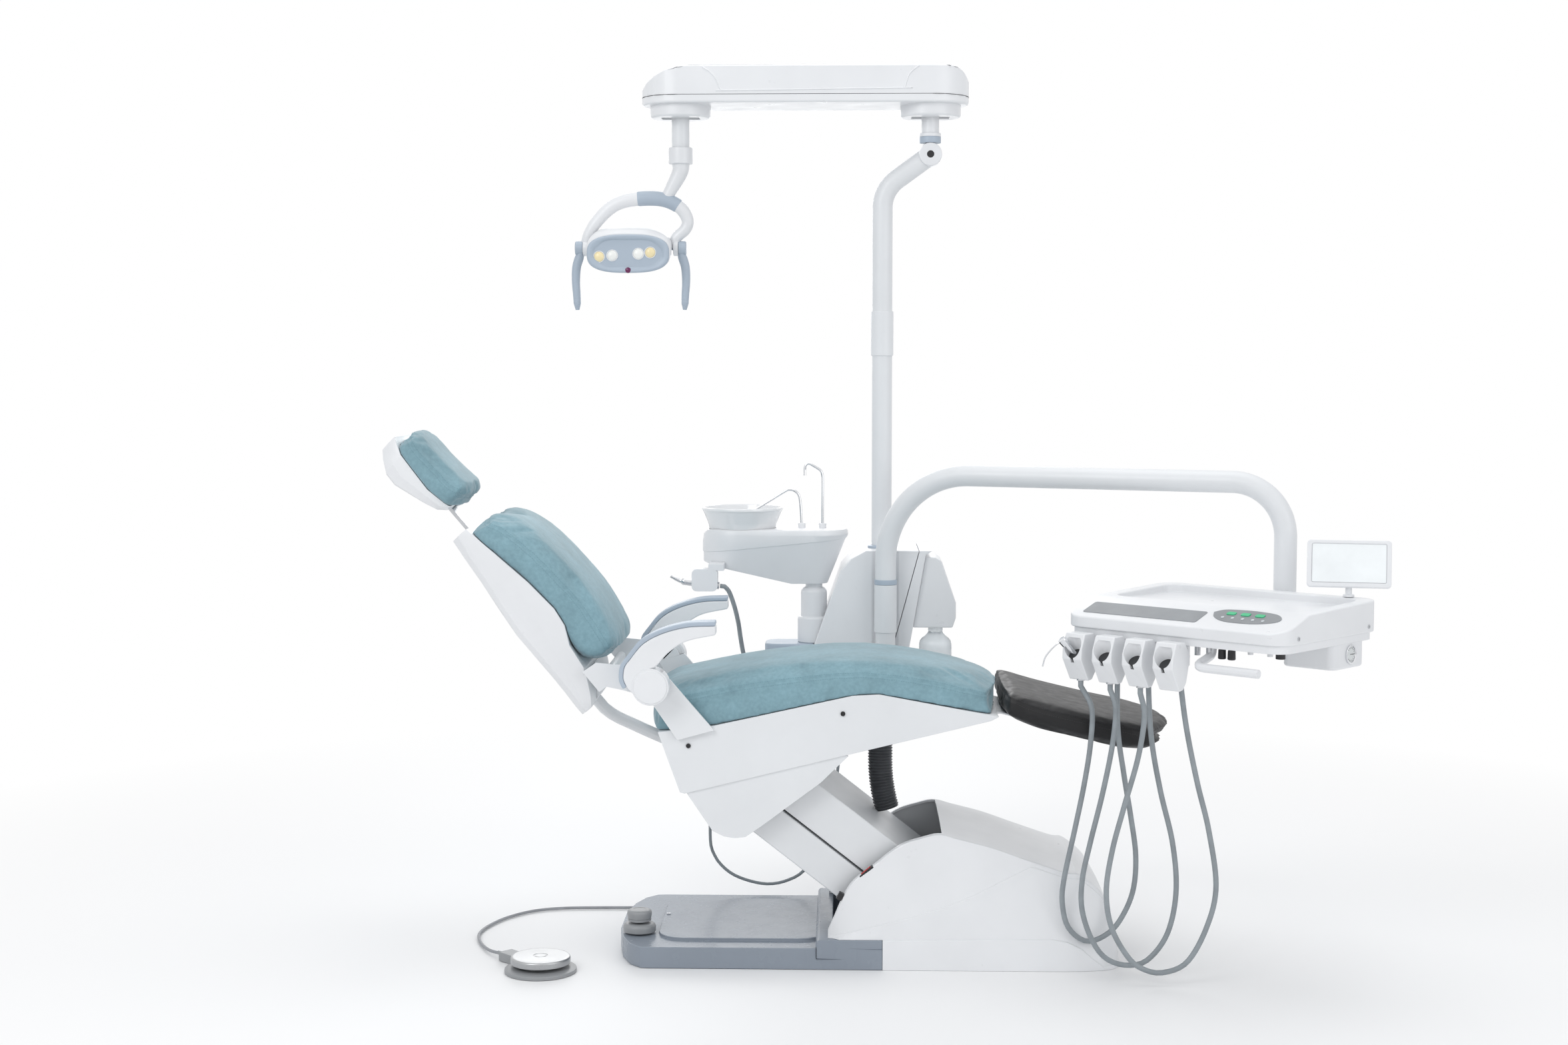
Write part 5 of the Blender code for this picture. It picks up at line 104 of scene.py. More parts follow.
class Graph(Network):
    """The nodes of one material, added from its coordinates to its shader."""

    def __init__(self, name: str) -> None:
        """Start a material of a name with a Principled shader."""
        self.material = bpy.data.materials.new(name)
        self.material.use_nodes = True
        super().__init__(self.material.node_tree)
        self.shader = self.tree.nodes["Principled BSDF"]
        self.place = self.add("ShaderNodeTexCoord", out="Object")

    def noise(self, scale: float, detail: float = 3.0, vector: object = None) -> Socket:
        """Return the value of a noise of a scale, per metre."""
        return self.add("ShaderNodeTexNoise", {
            "Vector": vector or self.place, "Scale": scale, "Detail": detail, "Roughness": 0.55,
        })

    def ramp(self, factor: object, *stops: tuple[float, tuple]) -> Socket:
        """Return the colour of a ramp over a factor."""
        colour = self.add("ShaderNodeValToRGB", {"Fac": factor})
        line = colour.node.color_ramp.elements
        while len(line) < len(stops):
            line.new(0.5)
        for spot, (place, shown) in zip(line, stops):
            spot.position = place
            spot.color = shown
        return colour

    def tinted(self, factor: object, colour: Colour, *stops: tuple[float, float]) -> Socket:
        """Return shades of one colour over a factor, each stop a place and a share of the colour."""
        return self.ramp(factor, *[(place, shade(colour, share)) for place, share in stops])

    def ranged(self, value: object, middle: float, low: float, high: float) -> Socket:
        """Return a noise's usual range spread between two shares of a middle value, at most 1."""
        return self.add("ShaderNodeMapRange", {
            "Value": value, "From Min": 0.3, "From Max": 0.7, "To Min": middle * low,
            "To Max": min(middle * high, 1.0),
        })

    def bump(self, height: object, depth: float, normal: object = None) -> Socket:
        """Return a normal bumped by a height of a depth in metres."""
        under = {"Normal": normal} if normal else {}
        return self.add("ShaderNodeBump", {"Height": height, "Distance": depth, "Strength": 1.0, **under})

    def mix(self, factor: object, first: object, second: object, how: str = "MIX") -> Socket:
        """Return two colours mixed by a factor."""
        inputs = {0: factor, 6: first, 7: second}
        return self.add("ShaderNodeMix", inputs, 2, data_type="RGBA", blend_type=how)

    def shade_with(self, **values: object) -> bpy.types.Material:
        """Return the material after its shader's sockets, given with _ for a space, are set or linked."""
        for key, value in values.items():
            self.feed(self.shader.inputs[key.replace("_", " ")], value)
        return self.material


@dataclass(frozen=True)
class Finish:
    """A finish of the unit, whose material is made the first time that it is asked for."""

    name: str
    colour: Colour
    roughness: float = 0.35

    def material(self) -> bpy.types.Material:
        """Return the finish's material."""
        return bpy.data.materials.get(self.name) or self.build(Graph(self.name))

    def build(self, graph: Graph) -> bpy.types.Material:
        """Return the material, built in a graph."""
        raise NotImplementedError


@dataclass(frozen=True)
class Moulding(Finish):
    """Moulded plastic or paint: faint flow mottling, a fine grain and slightly rubbed edges."""

    mottling: float = 0.03
    grain: float = 700.0
    grain_depth: float = 0.00003
    coat: float = 0.0
    specular: float = 0.5

    def build(self, graph: Graph) -> bpy.types.Material:
        """Return the moulded material."""
        cloud = graph.tinted(
            graph.noise(4.0, 4.0), self.colour, (0.35, 1 - self.mottling), (0.65, 1 + self.mottling))
        black, rubbed = (0, 0, 0, 1), (0.2, 0.2, 0.2, 1)
        edge = graph.ramp(
            graph.add("ShaderNodeNewGeometry", out="Pointiness"), (0.47, black), (0.5, black), (0.56, rubbed))
        return graph.shade_with(
            Base_Color=graph.mix(edge, cloud, shade(self.colour, 1.12)),
            Roughness=graph.ranged(graph.noise(18.0, 5.0), self.roughness, 0.85, 1.2),
            Normal=graph.bump(graph.noise(self.grain, 2.0), self.grain_depth), Coat_Weight=self.coat,
            Coat_Roughness=0.12, Specular_IOR_Level=self.specular,
        )


@dataclass(frozen=True)
class Metal(Finish):
    """Plated or brushed metal, its brushing along one axis."""

    stretch: tuple[float, float, float] = (1.0, 1.0, 1.0)
    depth: float = 0.00001

    def build(self, graph: Graph) -> bpy.types.Material:
        """Return the metal."""
        stretched = graph.add("ShaderNodeMapping", {"Vector": graph.place, "Scale": self.stretch})
        lines = graph.noise(260.0, 4.0, stretched)
        return graph.shade_with(
            Base_Color=graph.tinted(graph.noise(14.0, 4.0), self.colour, (0.3, 0.9), (0.7, 1.08)),
            Roughness=graph.ranged(lines, self.roughness, 0.7, 1.3), Metallic=1.0,
            Normal=graph.bump(lines, self.depth),
        )


@dataclass(frozen=True)
class Suede(Finish):
    """Suede-like upholstery: cloudy nap, fine fibres, pores and a soft sheen."""

    nap: float = 0.16
    sheen: float = 0.35
    pore_depth: float = 0.00012

    def build(self, graph: Graph) -> bpy.types.Material:
        """Return the upholstery."""
        clouds = graph.tinted(
            graph.noise(9.0, 6.0), self.colour, (0.32, 1 - self.nap), (0.5, 1.0), (0.7, 1 + self.nap))
        flecks = graph.ramp(graph.noise(120.0, 5.0), (0.35, (0.86, 0.87, 0.88, 1)), (0.65, (1, 1, 1, 1)))
        cells = graph.add("ShaderNodeTexVoronoi", {"Vector": graph.place, "Scale": 620.0})
        folds = graph.bump(graph.noise(26.0, 3.0), 0.0009)
        fibres = graph.bump(graph.noise(900.0, 3.0), self.pore_depth * 0.6, folds)
        return graph.shade_with(
            Base_Color=graph.mix(1.0, clouds, flecks, "MULTIPLY"),
            Roughness=graph.ranged(graph.noise(40.0, 4.0), self.roughness, 0.9, 1.15),
            Normal=graph.bump(cells, self.pore_depth, fibres), Sheen_Weight=self.sheen,
            Sheen_Roughness=0.45, Specular_IOR_Level=0.35,
        )


@dataclass(frozen=True)
class Rubber(Finish):
    """Extruded or moulded rubber with a dull bloom."""

    def build(self, graph: Graph) -> bpy.types.Material:
        """Return the rubber."""
        bloom = graph.noise(30.0, 6.0)
        return graph.shade_with(
            Base_Color=graph.tinted(bloom, self.colour, (0.3, 0.9), (0.75, 1.15)),
            Roughness=graph.ranged(bloom, self.roughness, 0.8, 1.15),
            Normal=graph.bump(graph.noise(520.0), 0.00004),
        )


@dataclass(frozen=True)
class Clear(Finish):
    """Milky or clear plastic and glass."""

    passing: float = 0.6
    glow: float = 0.0

    def build(self, graph: Graph) -> bpy.types.Material:
        """Return the clear material."""
        haze = graph.noise(20.0, 4.0)
        return graph.shade_with(
            Base_Color=graph.tinted(haze, self.colour, (0.3, 0.96), (0.7, 1.03)),
            Roughness=graph.ranged(haze, self.roughness, 0.7, 1.4), Transmission_Weight=self.passing,
            IOR=1.46, Emission_Color=(1.0, 0.96, 0.88, 1.0), Emission_Strength=self.glow,
        )


WHITE = Moulding("white_moulding", (0.8, 0.81, 0.825), 0.32, grain=320.0, grain_depth=0.00001, coat=0.1)
PAINT = Moulding("white_powder_coat", (0.77, 0.785, 0.8), 0.36, grain=260.0, grain_depth=0.00002)
CHINA = Moulding("glazed_bowl", (0.83, 0.84, 0.85), 0.09, mottling=0.012, grain=60.0, coat=0.6)
SOFT_BLUE = Moulding("pale_blue_grey", (0.42, 0.49, 0.57), 0.42, grain=420.0, grain_depth=0.00007)
BASE_GLOSS = Moulding(
    "base_gloss_grey", (0.275, 0.31, 0.358), 0.26, grain=300.0, grain_depth=0.00001, specular=0.16)
SWITCH_GREY = Moulding("switch_grey", (0.3, 0.31, 0.32), 0.4, grain=380.0, grain_depth=0.00006)
STEEL_GREY = Moulding("frame_grey", (0.17, 0.18, 0.19), 0.5, grain=200.0, grain_depth=0.00008)
PANEL_GREY = Moulding("panel_grey", (0.24, 0.255, 0.27), 0.33, mottling=0.22)
PALE_MARK = Moulding("pale_mark", (0.62, 0.66, 0.68), 0.4)
BLACK = Moulding("black_moulding", (0.014, 0.014, 0.016), 0.35, mottling=0.1)
# Painted shade: a near-black colour put on sheets inside gaps and bores, standing in for the shadow there.
PAINTED_GAP_SHADE = Moulding("shadow_gap", (0.03, 0.032, 0.035), 0.7)
RED = Moulding("red_rocker", (0.55, 0.02, 0.02), 0.25)
GREEN = Moulding("green_key", (0.03, 0.5, 0.22), 0.35)
TEAL = Suede("teal_suede", (0.225, 0.375, 0.43), 0.68)
BLACK_HIDE = Suede("black_hide", (0.011, 0.011, 0.012), 0.46, nap=0.2, sheen=0.03)
THREAD = Rubber("thread", (0.15, 0.27, 0.32), 0.8)
CHROME = Metal("polished_chrome", (0.75, 0.76, 0.78), 0.09)
BRUSHED = Metal("brushed_steel", (0.58, 0.59, 0.61), 0.28, stretch=(1.0, 1.0, 12.0), depth=0.00003)
DISC_METAL = Metal("pedal_metal", (0.43, 0.44, 0.45), 0.34, stretch=(1.0, 14.0, 1.0), depth=0.00002)
HOSE = Rubber("hose_grey", (0.27, 0.3, 0.32), 0.45)
CABLE = Rubber("cable_grey", (0.3, 0.31, 0.33), 0.5)
CONDUIT = Rubber("conduit_dark", (0.075, 0.08, 0.086), 0.38)
BOTTLE = Clear("milky_bottle", (0.9, 0.94, 0.96), 0.16, passing=0.65)
LENS_WARM = Clear("warm_lens", (0.95, 0.8, 0.45), 0.12, passing=0.15, glow=0.1)
LENS_COOL = Clear("cool_lens", (0.92, 0.93, 0.9), 0.1, passing=0.2, glow=0.14)
SENSOR = Clear("sensor_window", (0.16, 0.02, 0.1), 0.08, passing=0.1)
SCREEN = Clear("viewer_screen", (0.8, 0.84, 0.86), 0.1, passing=0.0, glow=0.12)
DIAL = Clear("gauge_glass", (0.85, 0.88, 0.88), 0.06, passing=0.2)


# Lines
def smooth(points: Iterable[Point], count: int) -> list[Vector]:
    """Return points read at even steps from a smooth curve through the given ones.

    Args:
        points: The route's points.
        count: The number of steps.

    Returns:
        One point more than there are steps.
    """
    nodes = [Vector(point) for point in points]
    nodes = [nodes[0] * 2 - nodes[1]] + nodes + [nodes[-1] * 2 - nodes[-2]]
    fine = []
    for a, b, c, d in zip(nodes, nodes[1:], nodes[2:], nodes[3:]):
        for k in range(16):
            t = k / 16
            fine.append(0.5 * (b * 2 + (c - a) * t + (a * 2 - b * 5 + c * 4 - d) * t ** 2
                               + (b * 3 - a - c * 3 + d) * t ** 3))
    fine.append(nodes[-2])
    return even(fine, count)


def even(line: Sequence[Vector], count: int) -> list[Vector]:
    """Return a line's points read at even steps."""
    walked = [0.0]
    for start, end in zip(line, line[1:]):
        walked.append(walked[-1] + (end - start).length)
    read = []
    place = 0
    for i in range(count + 1):
        target = walked[-1] * i / count
        while place < len(line) - 2 and walked[place + 1] < target:
            place += 1
        gap = max(walked[place + 1] - walked[place], 1e-12)
        read.append(line[place].lerp(line[place + 1], (target - walked[place]) / gap))
    return read


def length_of(line: Sequence[Vector]) -> float:
    """Return a line's length."""
    return sum((end - start).length for start, end in zip(line, line[1:]))


def fillet(points: Sequence[Point], radii: Sequence[float], steps: int) -> list[Vector]:
    """Return a route whose inner corners are arcs of the given radii."""
    route = [Vector(points[0])]
    for before, corner, after, radius in zip(points, points[1:], points[2:], radii):
        corner = Vector(corner)
        back = (Vector(before) - corner).normalized()
        ahead = (Vector(after) - corner).normalized()
        half = back.angle(ahead) / 2
        centre = corner + (back + ahead).normalized() * radius / math.sin(half)
        start = corner + back * radius / math.tan(half) - centre
        end = corner + ahead * radius / math.tan(half) - centre
        route += [centre + start.slerp(end, i / steps) * radius for i in range(steps + 1)]
    route.append(Vector(points[-1]))
    return route


def smooth_pairs(pairs: Iterable[Point], count: int) -> list[tuple[float, float]]:
    """Return pairs read at even steps from a smooth curve through the given ones."""
    return [(p.x, p.y) for p in smooth([(x, y, 0) for x, y in pairs], count)]


def arc(cx: float, cz: float, radius: float, start: float, end: float, steps: int) -> list:
    """Return points along an arc between two angles in degrees."""
    turns = [math.radians(start + (end - start) * i / steps) for i in range(steps + 1)]
    return [(cx + radius * math.cos(turn), cz + radius * math.sin(turn)) for turn in turns]


def rounded(x0: float, x1: float, y0: float, y1: float, radius: float, steps: int = 6) -> list:
    """Return a rectangle's outline with round corners."""
    points = []
    for x, y, start in ((x1, y1, 0), (x0, y1, 90), (x0, y0, 180), (x1, y0, 270)):
        cx = x - radius if x == x1 else x + radius
        cy = y - radius if y == y1 else y + radius
        points += arc(cx, cy, radius, start, start + 90, steps)
    return points


def scaled(shares: Iterable[Point], left: float, low: float, width: float, height: float) -> list:
    """Return outline points from shares of a width and a height."""
    return [(left + across * width, low + up * height) for across, up in shares]


def offset_line(points: Sequence[Point], distance: float) -> list[tuple[float, float]]:
    """Return a line of 2D points moved to the right of its direction."""
    moved = []
    for i, point in enumerate(points):
        run = Vector(points[min(i + 1, len(points) - 1)][:2]) - Vector(points[max(i - 1, 0)][:2])
        run.normalize()
        moved.append((point[0] + run.y * distance, point[1] - run.x * distance))
    return moved


def at(x: float, y: float, z: float = 0.0) -> Matrix:
    """Return a frame moved to a place."""
    return Matrix.Translation((x, y, z))


def turned(degrees: float, axis: str) -> Matrix:
    """Return a frame turned about an axis."""
    return Matrix.Rotation(math.radians(degrees), 4, axis)


def slope_frame(place: Vector, degrees: float) -> Matrix:
    """Return a frame whose X climbs to the left by an angle in the chair's middle plane."""
    turn = math.radians(degrees)
    along = Vector((-math.cos(turn), 0, math.sin(turn)))
    out = Vector((along.z, 0, -along.x))
    return Matrix.Translation(place) @ Matrix((along, out.cross(along), out)).transposed().to_4x4()


BACK_AXIS = Vector((-0.463, 0.0, 0.624))
BACK_FRAME = slope_frame(BACK_AXIS, 49.72)
HEAD_FRAME = slope_frame(BACK_FRAME @ Vector((0.6, 0.0, -0.122)), 45.8)
TRAY_FRAME = at(0.763, -0.219, 0.75) @ turned(-42, "Z")
KEEN, CRISP, SHARP, ROUND, SMOOTH = 24.0, 30.0, 38.0, 50.0, 180.0  # above these degrees an edge stays sharp


def add_object(name: str, data: bpy.types.ID) -> Object:
    """Return a new object in the scene."""
    item = bpy.data.objects.new(name, data)
    bpy.context.scene.collection.objects.link(item)
    return item


def settled(item: Object) -> Mesh:
    """Return an object's mesh as its modifiers leave it."""
    bpy.context.view_layer.update()
    return bpy.data.meshes.new_from_object(item.evaluated_get(bpy.context.evaluated_depsgraph_get()))


def modified(mesh: Mesh, kind: str, **settings: object) -> Mesh:
    """Return a mesh after one modifier of a kind, with its settings."""
    holder = add_object("holder", mesh)
    step = holder.modifiers.new("step", kind)
    for key, value in settings.items():
        setattr(step, key, value)
    result = settled(holder)
    bpy.data.objects.remove(holder, do_unlink=True)
    return result


# Shapes
class Shape:
    """A mesh under construction, in metres and in the unit's own frame."""

    def __init__(self, source: Mesh | None = None) -> None:
        """Start empty, or from a mesh whose doubles are merged."""
        self.bm = bmesh.new()
        if source:
            self.bm.from_mesh(source)
            bmesh.ops.remove_doubles(self.bm, verts=self.bm.verts, dist=1e-5)

    def skin(self, rings: Sequence[Sequence[Point]], capped: bool, closed: bool = False) -> "Shape":
        """Add the skin through rings of equal point counts."""
        rows = [[self.bm.verts.new(point) for point in ring] for ring in rings]
        count = len(rows[0])
        faces = []
        for low, high in list(zip(rows, rows[1:])) + ([(rows[-1], rows[0])] if closed else []):
            for i in range(count):
                j = (i + 1) % count
                faces.append(self.bm.faces.new((low[i], low[j], high[j], high[i])))
        if capped:
            faces.append(self.bm.faces.new(list(reversed(rows[0]))))
            faces.append(self.bm.faces.new(rows[-1]))
        bmesh.ops.recalc_face_normals(self.bm, faces=faces)
        return self

    def loft(self, rings: Sequence[Sequence[Point]], matrix: Matrix = Matrix()) -> "Shape":
        """Add a body through rings of equal point counts, capped at both ends."""
        return self.skin([[matrix @ Vector(point) for point in ring] for ring in rings], True)

    def side(self, outline: Sequence[Point], near: float, far: float, matrix: Matrix = Matrix()) -> "Shape":
        """Add an outline in X and Z, run from one Y to another."""
        return self.loft([[(x, y, z) for x, z in outline] for y in (near, far)], matrix)

    def plan(self, outline: Sequence[Point], low: float, high: float, matrix: Matrix = Matrix()) -> "Shape":
        """Add an outline in X and Y, run from one Z to another."""
        return self.loft([[(x, y, z) for x, y in outline] for z in (low, high)], matrix)

    def box(self, low: Point, high: Point, matrix: Matrix = Matrix()) -> "Shape":
        """Add a box between two corners."""
        outline = ((low[0], low[1]), (high[0], low[1]), (high[0], high[1]), (low[0], high[1]))
        return self.plan(outline, low[2], high[2], matrix)

    def lathe(self, profile: Sequence[Point], matrix: Matrix = Matrix(), steps: int = 48) -> "Shape":
        """Add a turned body; a profile that starts and ends at one point is a closed ring."""
        ring = profile[0] == profile[-1]
        turns = [math.tau * i / steps for i in range(steps)]
        rows = [[matrix @ Vector((radius * math.cos(a), radius * math.sin(a), height)) for a in turns]
                for radius, height in (profile[:-1] if ring else profile)]
        self.skin(rows, False, ring)
        bmesh.ops.remove_doubles(self.bm, verts=self.bm.verts, dist=1e-7)
        bmesh.ops.recalc_face_normals(self.bm, faces=self.bm.faces)
        return self

    def tube(self, line: Sequence[Point], radius: float | Sequence[float], sides: int = 20,
             matrix: Matrix = Matrix(), flat: float = 1.0) -> "Shape":
        """Add a round or flattened tube along a line, without twist.

        Args:
            line: The centreline's points.
            radius: One radius, or one for each point.
            sides: The number of sides.
            matrix: The frame that the line is given in.
            flat: The section's height as a share of its width.

        Returns:
            This shape.
        """
        points = [matrix @ Vector(point) for point in line]
        radii = list(radius) if isinstance(radius, (list, tuple)) else [radius] * len(points)
        runs = [(points[min(i + 1, len(points) - 1)] - points[max(i - 1, 0)]).normalized()
                for i in range(len(points))]
        across = runs[0].orthogonal().normalized()
        rings = []
        for point, run, size in zip(points, runs, radii):
            across = (across - run * across.dot(run)).normalized()
            up = run.cross(across)
            rings.append([point + across * math.cos(math.tau * k / sides) * size
                          + up * math.sin(math.tau * k / sides) * size * flat for k in range(sides)])
        return self.skin(rings, True)

    def rod(self, start: Point, end: Point, radius: float, end_radius: float | None = None,
            sides: int = 28) -> "Shape":
        """Add a straight cylinder or cone between two points."""
        return self.tube((start, end), [radius, radius if end_radius is None else end_radius], sides)

    def dissolve(self, degrees: float = 1.0) -> "Shape":
        """Merge flat neighbouring faces."""
        bmesh.ops.dissolve_limit(
            self.bm, angle_limit=math.radians(degrees), verts=self.bm.verts, edges=self.bm.edges,
        )
        return self

    def bevel(self, width: float, segments: int = 3, degrees: float = 32.0,
              only: Callable[[Vector], bool] | None = None) -> "Shape":
        """Round the edges sharper than an angle, or those whose middle a test picks."""
        edges = []
        for edge in self.bm.edges:
            if len(edge.link_faces) != 2 or edge.calc_face_angle(0.0) < math.radians(degrees):
                continue
            if only is None or only((edge.verts[0].co + edge.verts[1].co) / 2):
                edges.append(edge)
        bmesh.ops.bevel(
            self.bm, geom=edges, offset=width, offset_type="OFFSET", segments=segments, profile=0.5,
            affect="EDGES", clamp_overlap=False,
        )
        return self

    def trim(self, place: Point, outward: Point) -> "Shape":
        """Cut away what lies beyond a plane and close the cut."""
        geometry = list(self.bm.verts) + list(self.bm.edges) + list(self.bm.faces)
        result = bmesh.ops.bisect_plane(
            self.bm, geom=geometry, plane_co=place, plane_no=outward, clear_outer=True, dist=1e-7,
        )
        edges = [item for item in result["geom_cut"] if isinstance(item, bmesh.types.BMEdge)]
        bmesh.ops.edgenet_fill(self.bm, edges=edges)
        bmesh.ops.recalc_face_normals(self.bm, faces=self.bm.faces)
        return self

    def boolean(self, other: "Shape", how: str = "DIFFERENCE") -> "Shape":
        """Cut, join or intersect this shape with another, which is used up."""
        tool = add_object("tool", other.mesh("tool"))
        result = modified(self.mesh("body"), "BOOLEAN", operation=how, solver="EXACT", object=tool)
        bpy.data.objects.remove(tool, do_unlink=True)
        self.bm = bmesh.new()
        self.bm.from_mesh(result)
        bmesh.ops.remove_doubles(self.bm, verts=self.bm.verts, dist=1e-6)
        return self

    def mesh(self, name: str) -> Mesh:
        """Return the shape as a mesh and free it."""
        mesh = bpy.data.meshes.new(name)
        self.bm.to_mesh(mesh)
        self.bm.free()
        return mesh

    def put(self, name: str, body: str, finish: Finish, slot: str, degrees: float = SHARP) -> None:
        """Add the shape to a body as a piece beside the CAD nodes."""
        set_piece(name, self.mesh(name), body, finish, (), degrees)

    def stand_for(self, node: str, name: str, finish: Finish, degrees: float = SHARP) -> None:
        """Put the shape in a CAD node's place as a piece of a name."""
        set_piece(name, self.mesh(name), BODY[node], finish, (node,), degrees)


def set_piece(name: str, mesh: Mesh, body: str, finish: Finish,
              replaced: Sequence[str] = (), degrees: float = SHARP) -> Object:
    """Put a finished mesh on a body.

    Args:
        name: The piece's name.
        mesh: Its mesh, in the unit's frame.
        body: The body that it rides on.
        finish: Its finish.
        replaced: The CAD nodes that it stands for.
        degrees: The angle above which an edge stays sharp.

    Returns:
        The piece.
    """
    mesh.materials.clear()
    mesh.materials.append(finish.material())
    mesh.shade_smooth()
    mesh.set_sharp_from_angle(angle=math.radians(degrees))
    if degrees < SMOOTH:
        mesh = modified(mesh, "WEIGHTED_NORMAL", keep_sharp=True)
        mesh.name = f"{name}_mesh"
    piece = add_object(name, mesh)
    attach(piece, body)
    if replaced:
        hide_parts(*replaced)
    LOG.info("%s on %s, %d faces", name, body, len(mesh.polygons))
    return piece


def cad_shape(node: str) -> Shape:
    """Return a CAD node's solid as a shape."""
    return Shape(frame["nodes"][node].data)


def dress(node: str, finish: Finish) -> None:
    """Give a CAD node that stays a finish in its own slots."""
    piece = frame["nodes"][node]
    piece.data.materials.clear()
    piece.data.materials.append(finish.material())
    LOG.info("%s keeps its shape in %s", node, finish.name)


def softened(node: str, finish: Finish, width: float, segments: int = 3, sharp: float = SHARP) -> None:
    """Replace a CAD node by a copy with rounded edges.

    Args:
        node: The node.
        finish: The copy's finish.
        width: The width of the rounding.
        segments: The rounding's segments.
        sharp: The angle above which an edge stays sharp in the shading.
    """
    cad_shape(node).dissolve().bevel(width, segments).stand_for(node, f"{node}_shape", finish, sharp)


# Repeated pieces
class Tree(Network):
    """A Geometry Nodes tree built here, with named inputs for its sizes."""

    def __init__(self, name: str) -> None:
        """Start a tree with its geometry sockets."""
        super().__init__(bpy.data.node_groups.new(name, "GeometryNodeTree"))
        for way in ("INPUT", "OUTPUT"):
            self.tree.interface.new_socket("Geometry", in_out=way, socket_type="NodeSocketGeometry")
        self.entry = self.tree.nodes.new("NodeGroupInput")
        self.exit = self.tree.nodes.new("NodeGroupOutput")

    def size(self, name: str, kind: str = "NodeSocketFloat") -> Socket:
        """Return a new named input."""
        self.tree.interface.new_socket(name, in_out="INPUT", socket_type=kind)
        return self.entry.outputs[name]

    def math(self, how: str, first: object, second: object = 0.0) -> Socket:
        """Return the result of a calculation."""
        return self.add("ShaderNodeMath", {0: first, 1: second}, operation=how)

    def aligned(self, way: Socket, axis: str) -> Socket:
        """Return the turn that lays an axis along a direction."""
        return self.add("FunctionNodeAlignRotationToVector", {"Vector": way}, axis=axis)

    def close(self, geometry: Socket) -> "Tree":
        """End the tree with real instances and a named material."""
        solid = self.add("GeometryNodeRealizeInstances", {"Geometry": geometry})
        finish = self.size("Finish", "NodeSocketMaterial")
        dressed = self.add("GeometryNodeSetMaterial", {"Geometry": solid, "Material": finish})
        self.feed(self.exit.inputs[0], dressed)
        return self

    def run(self, source: Mesh, values: dict[str, object]) -> Mesh:
        """Make a plain mesh.

        Args:
            source: The mesh that holds the tree's points or lines.
            values: The tree's inputs, by name.

        Returns:
            The mesh, with the modifier gone.
        """
        holder = add_object(self.tree.name, source)
        step = holder.modifiers.new(self.tree.name, "NODES")
        step.node_group = self.tree
        for item in self.tree.interface.items_tree:
            if item.in_out == "INPUT" and item.name in values:
                step[item.identifier] = values[item.name]
        holder.update_tag()
        result = settled(holder)
        bpy.data.objects.remove(holder, do_unlink=True)
        return result


def line_mesh(line: Sequence[Point], closed: bool = False) -> Mesh:
    """Return a mesh of edges along a line."""
    mesh = bpy.data.meshes.new("line")
    edges = [(i, i + 1) for i in range(len(line) - 1)] + ([(len(line) - 1, 0)] if closed else [])
    mesh.from_pydata([tuple(point) for point in line], edges, [])
    return mesh


def facing_mesh(spots: Sequence[tuple[Point, Point]]) -> Mesh:
    """Return a mesh of points, each with the direction that it faces."""
    mesh = bpy.data.meshes.new("spots")
    mesh.from_pydata([tuple(place) for place, _ in spots], [], [])
    facing = mesh.attributes.new("facing", "FLOAT_VECTOR", "POINT")
    facing.data.foreach_set("vector", [value for _, way in spots for value in way])
    return mesh


def stitch_tree() -> Tree:
    """Return the tree that sews stitches along a line."""
    tree = Tree("stitches")
    pitch, long, thick = tree.size("Pitch"), tree.size("Stitch Length"), tree.size("Thread Radius")
    line = tree.add("GeometryNodeMeshToCurve", {"Mesh": tree.entry.outputs["Geometry"]})
    spots = tree.add("GeometryNodeResampleCurve", {"Curve": line, "Length": pitch}, mode="LENGTH")
    ball = tree.add("GeometryNodeMeshUVSphere", {"Segments": 8, "Rings": 5, "Radius": thick})
    share = tree.math("DIVIDE", long, tree.math("MULTIPLY", thick, 2.0))
    stretch = tree.add("ShaderNodeCombineXYZ", {"X": share, "Y": 1.0, "Z": 1.0})
    stitch = tree.add("GeometryNodeTransform", {"Geometry": ball, "Scale": stretch})
    turn = tree.aligned(tree.add("GeometryNodeInputTangent"), "X")
    return tree.close(tree.add(
        "GeometryNodeInstanceOnPoints", {"Points": spots, "Instance": stitch, "Rotation": turn}))


def screw_tree() -> Tree:
    """Return the tree that sets socket-head screws at points."""
    tree = Tree("screws")
    radius, height = tree.size("Head Radius"), tree.size("Head Height")
    head = tree.add("GeometryNodeMeshCylinder", {"Vertices": 20, "Radius": radius, "Depth": height})
    socket = tree.add("GeometryNodeMeshCylinder", {
        "Vertices": 6, "Radius": tree.math("MULTIPLY", radius, 0.5), "Depth": height,
    })
    lift = tree.add("ShaderNodeCombineXYZ", {"Z": tree.math("MULTIPLY", height, 0.5)})
    raised = tree.add("GeometryNodeTransform", {"Geometry": socket, "Translation": lift})
    bored = tree.add("GeometryNodeMeshBoolean", {"Mesh 1": head, "Mesh 2": raised}, operation="DIFFERENCE")
    way = tree.add("GeometryNodeInputNamedAttribute", {"Name": "facing"}, data_type="FLOAT_VECTOR")
    return tree.close(tree.add("GeometryNodeInstanceOnPoints", {
        "Points": tree.entry.outputs["Geometry"], "Instance": bored, "Rotation": tree.aligned(way, "Z"),
    }))


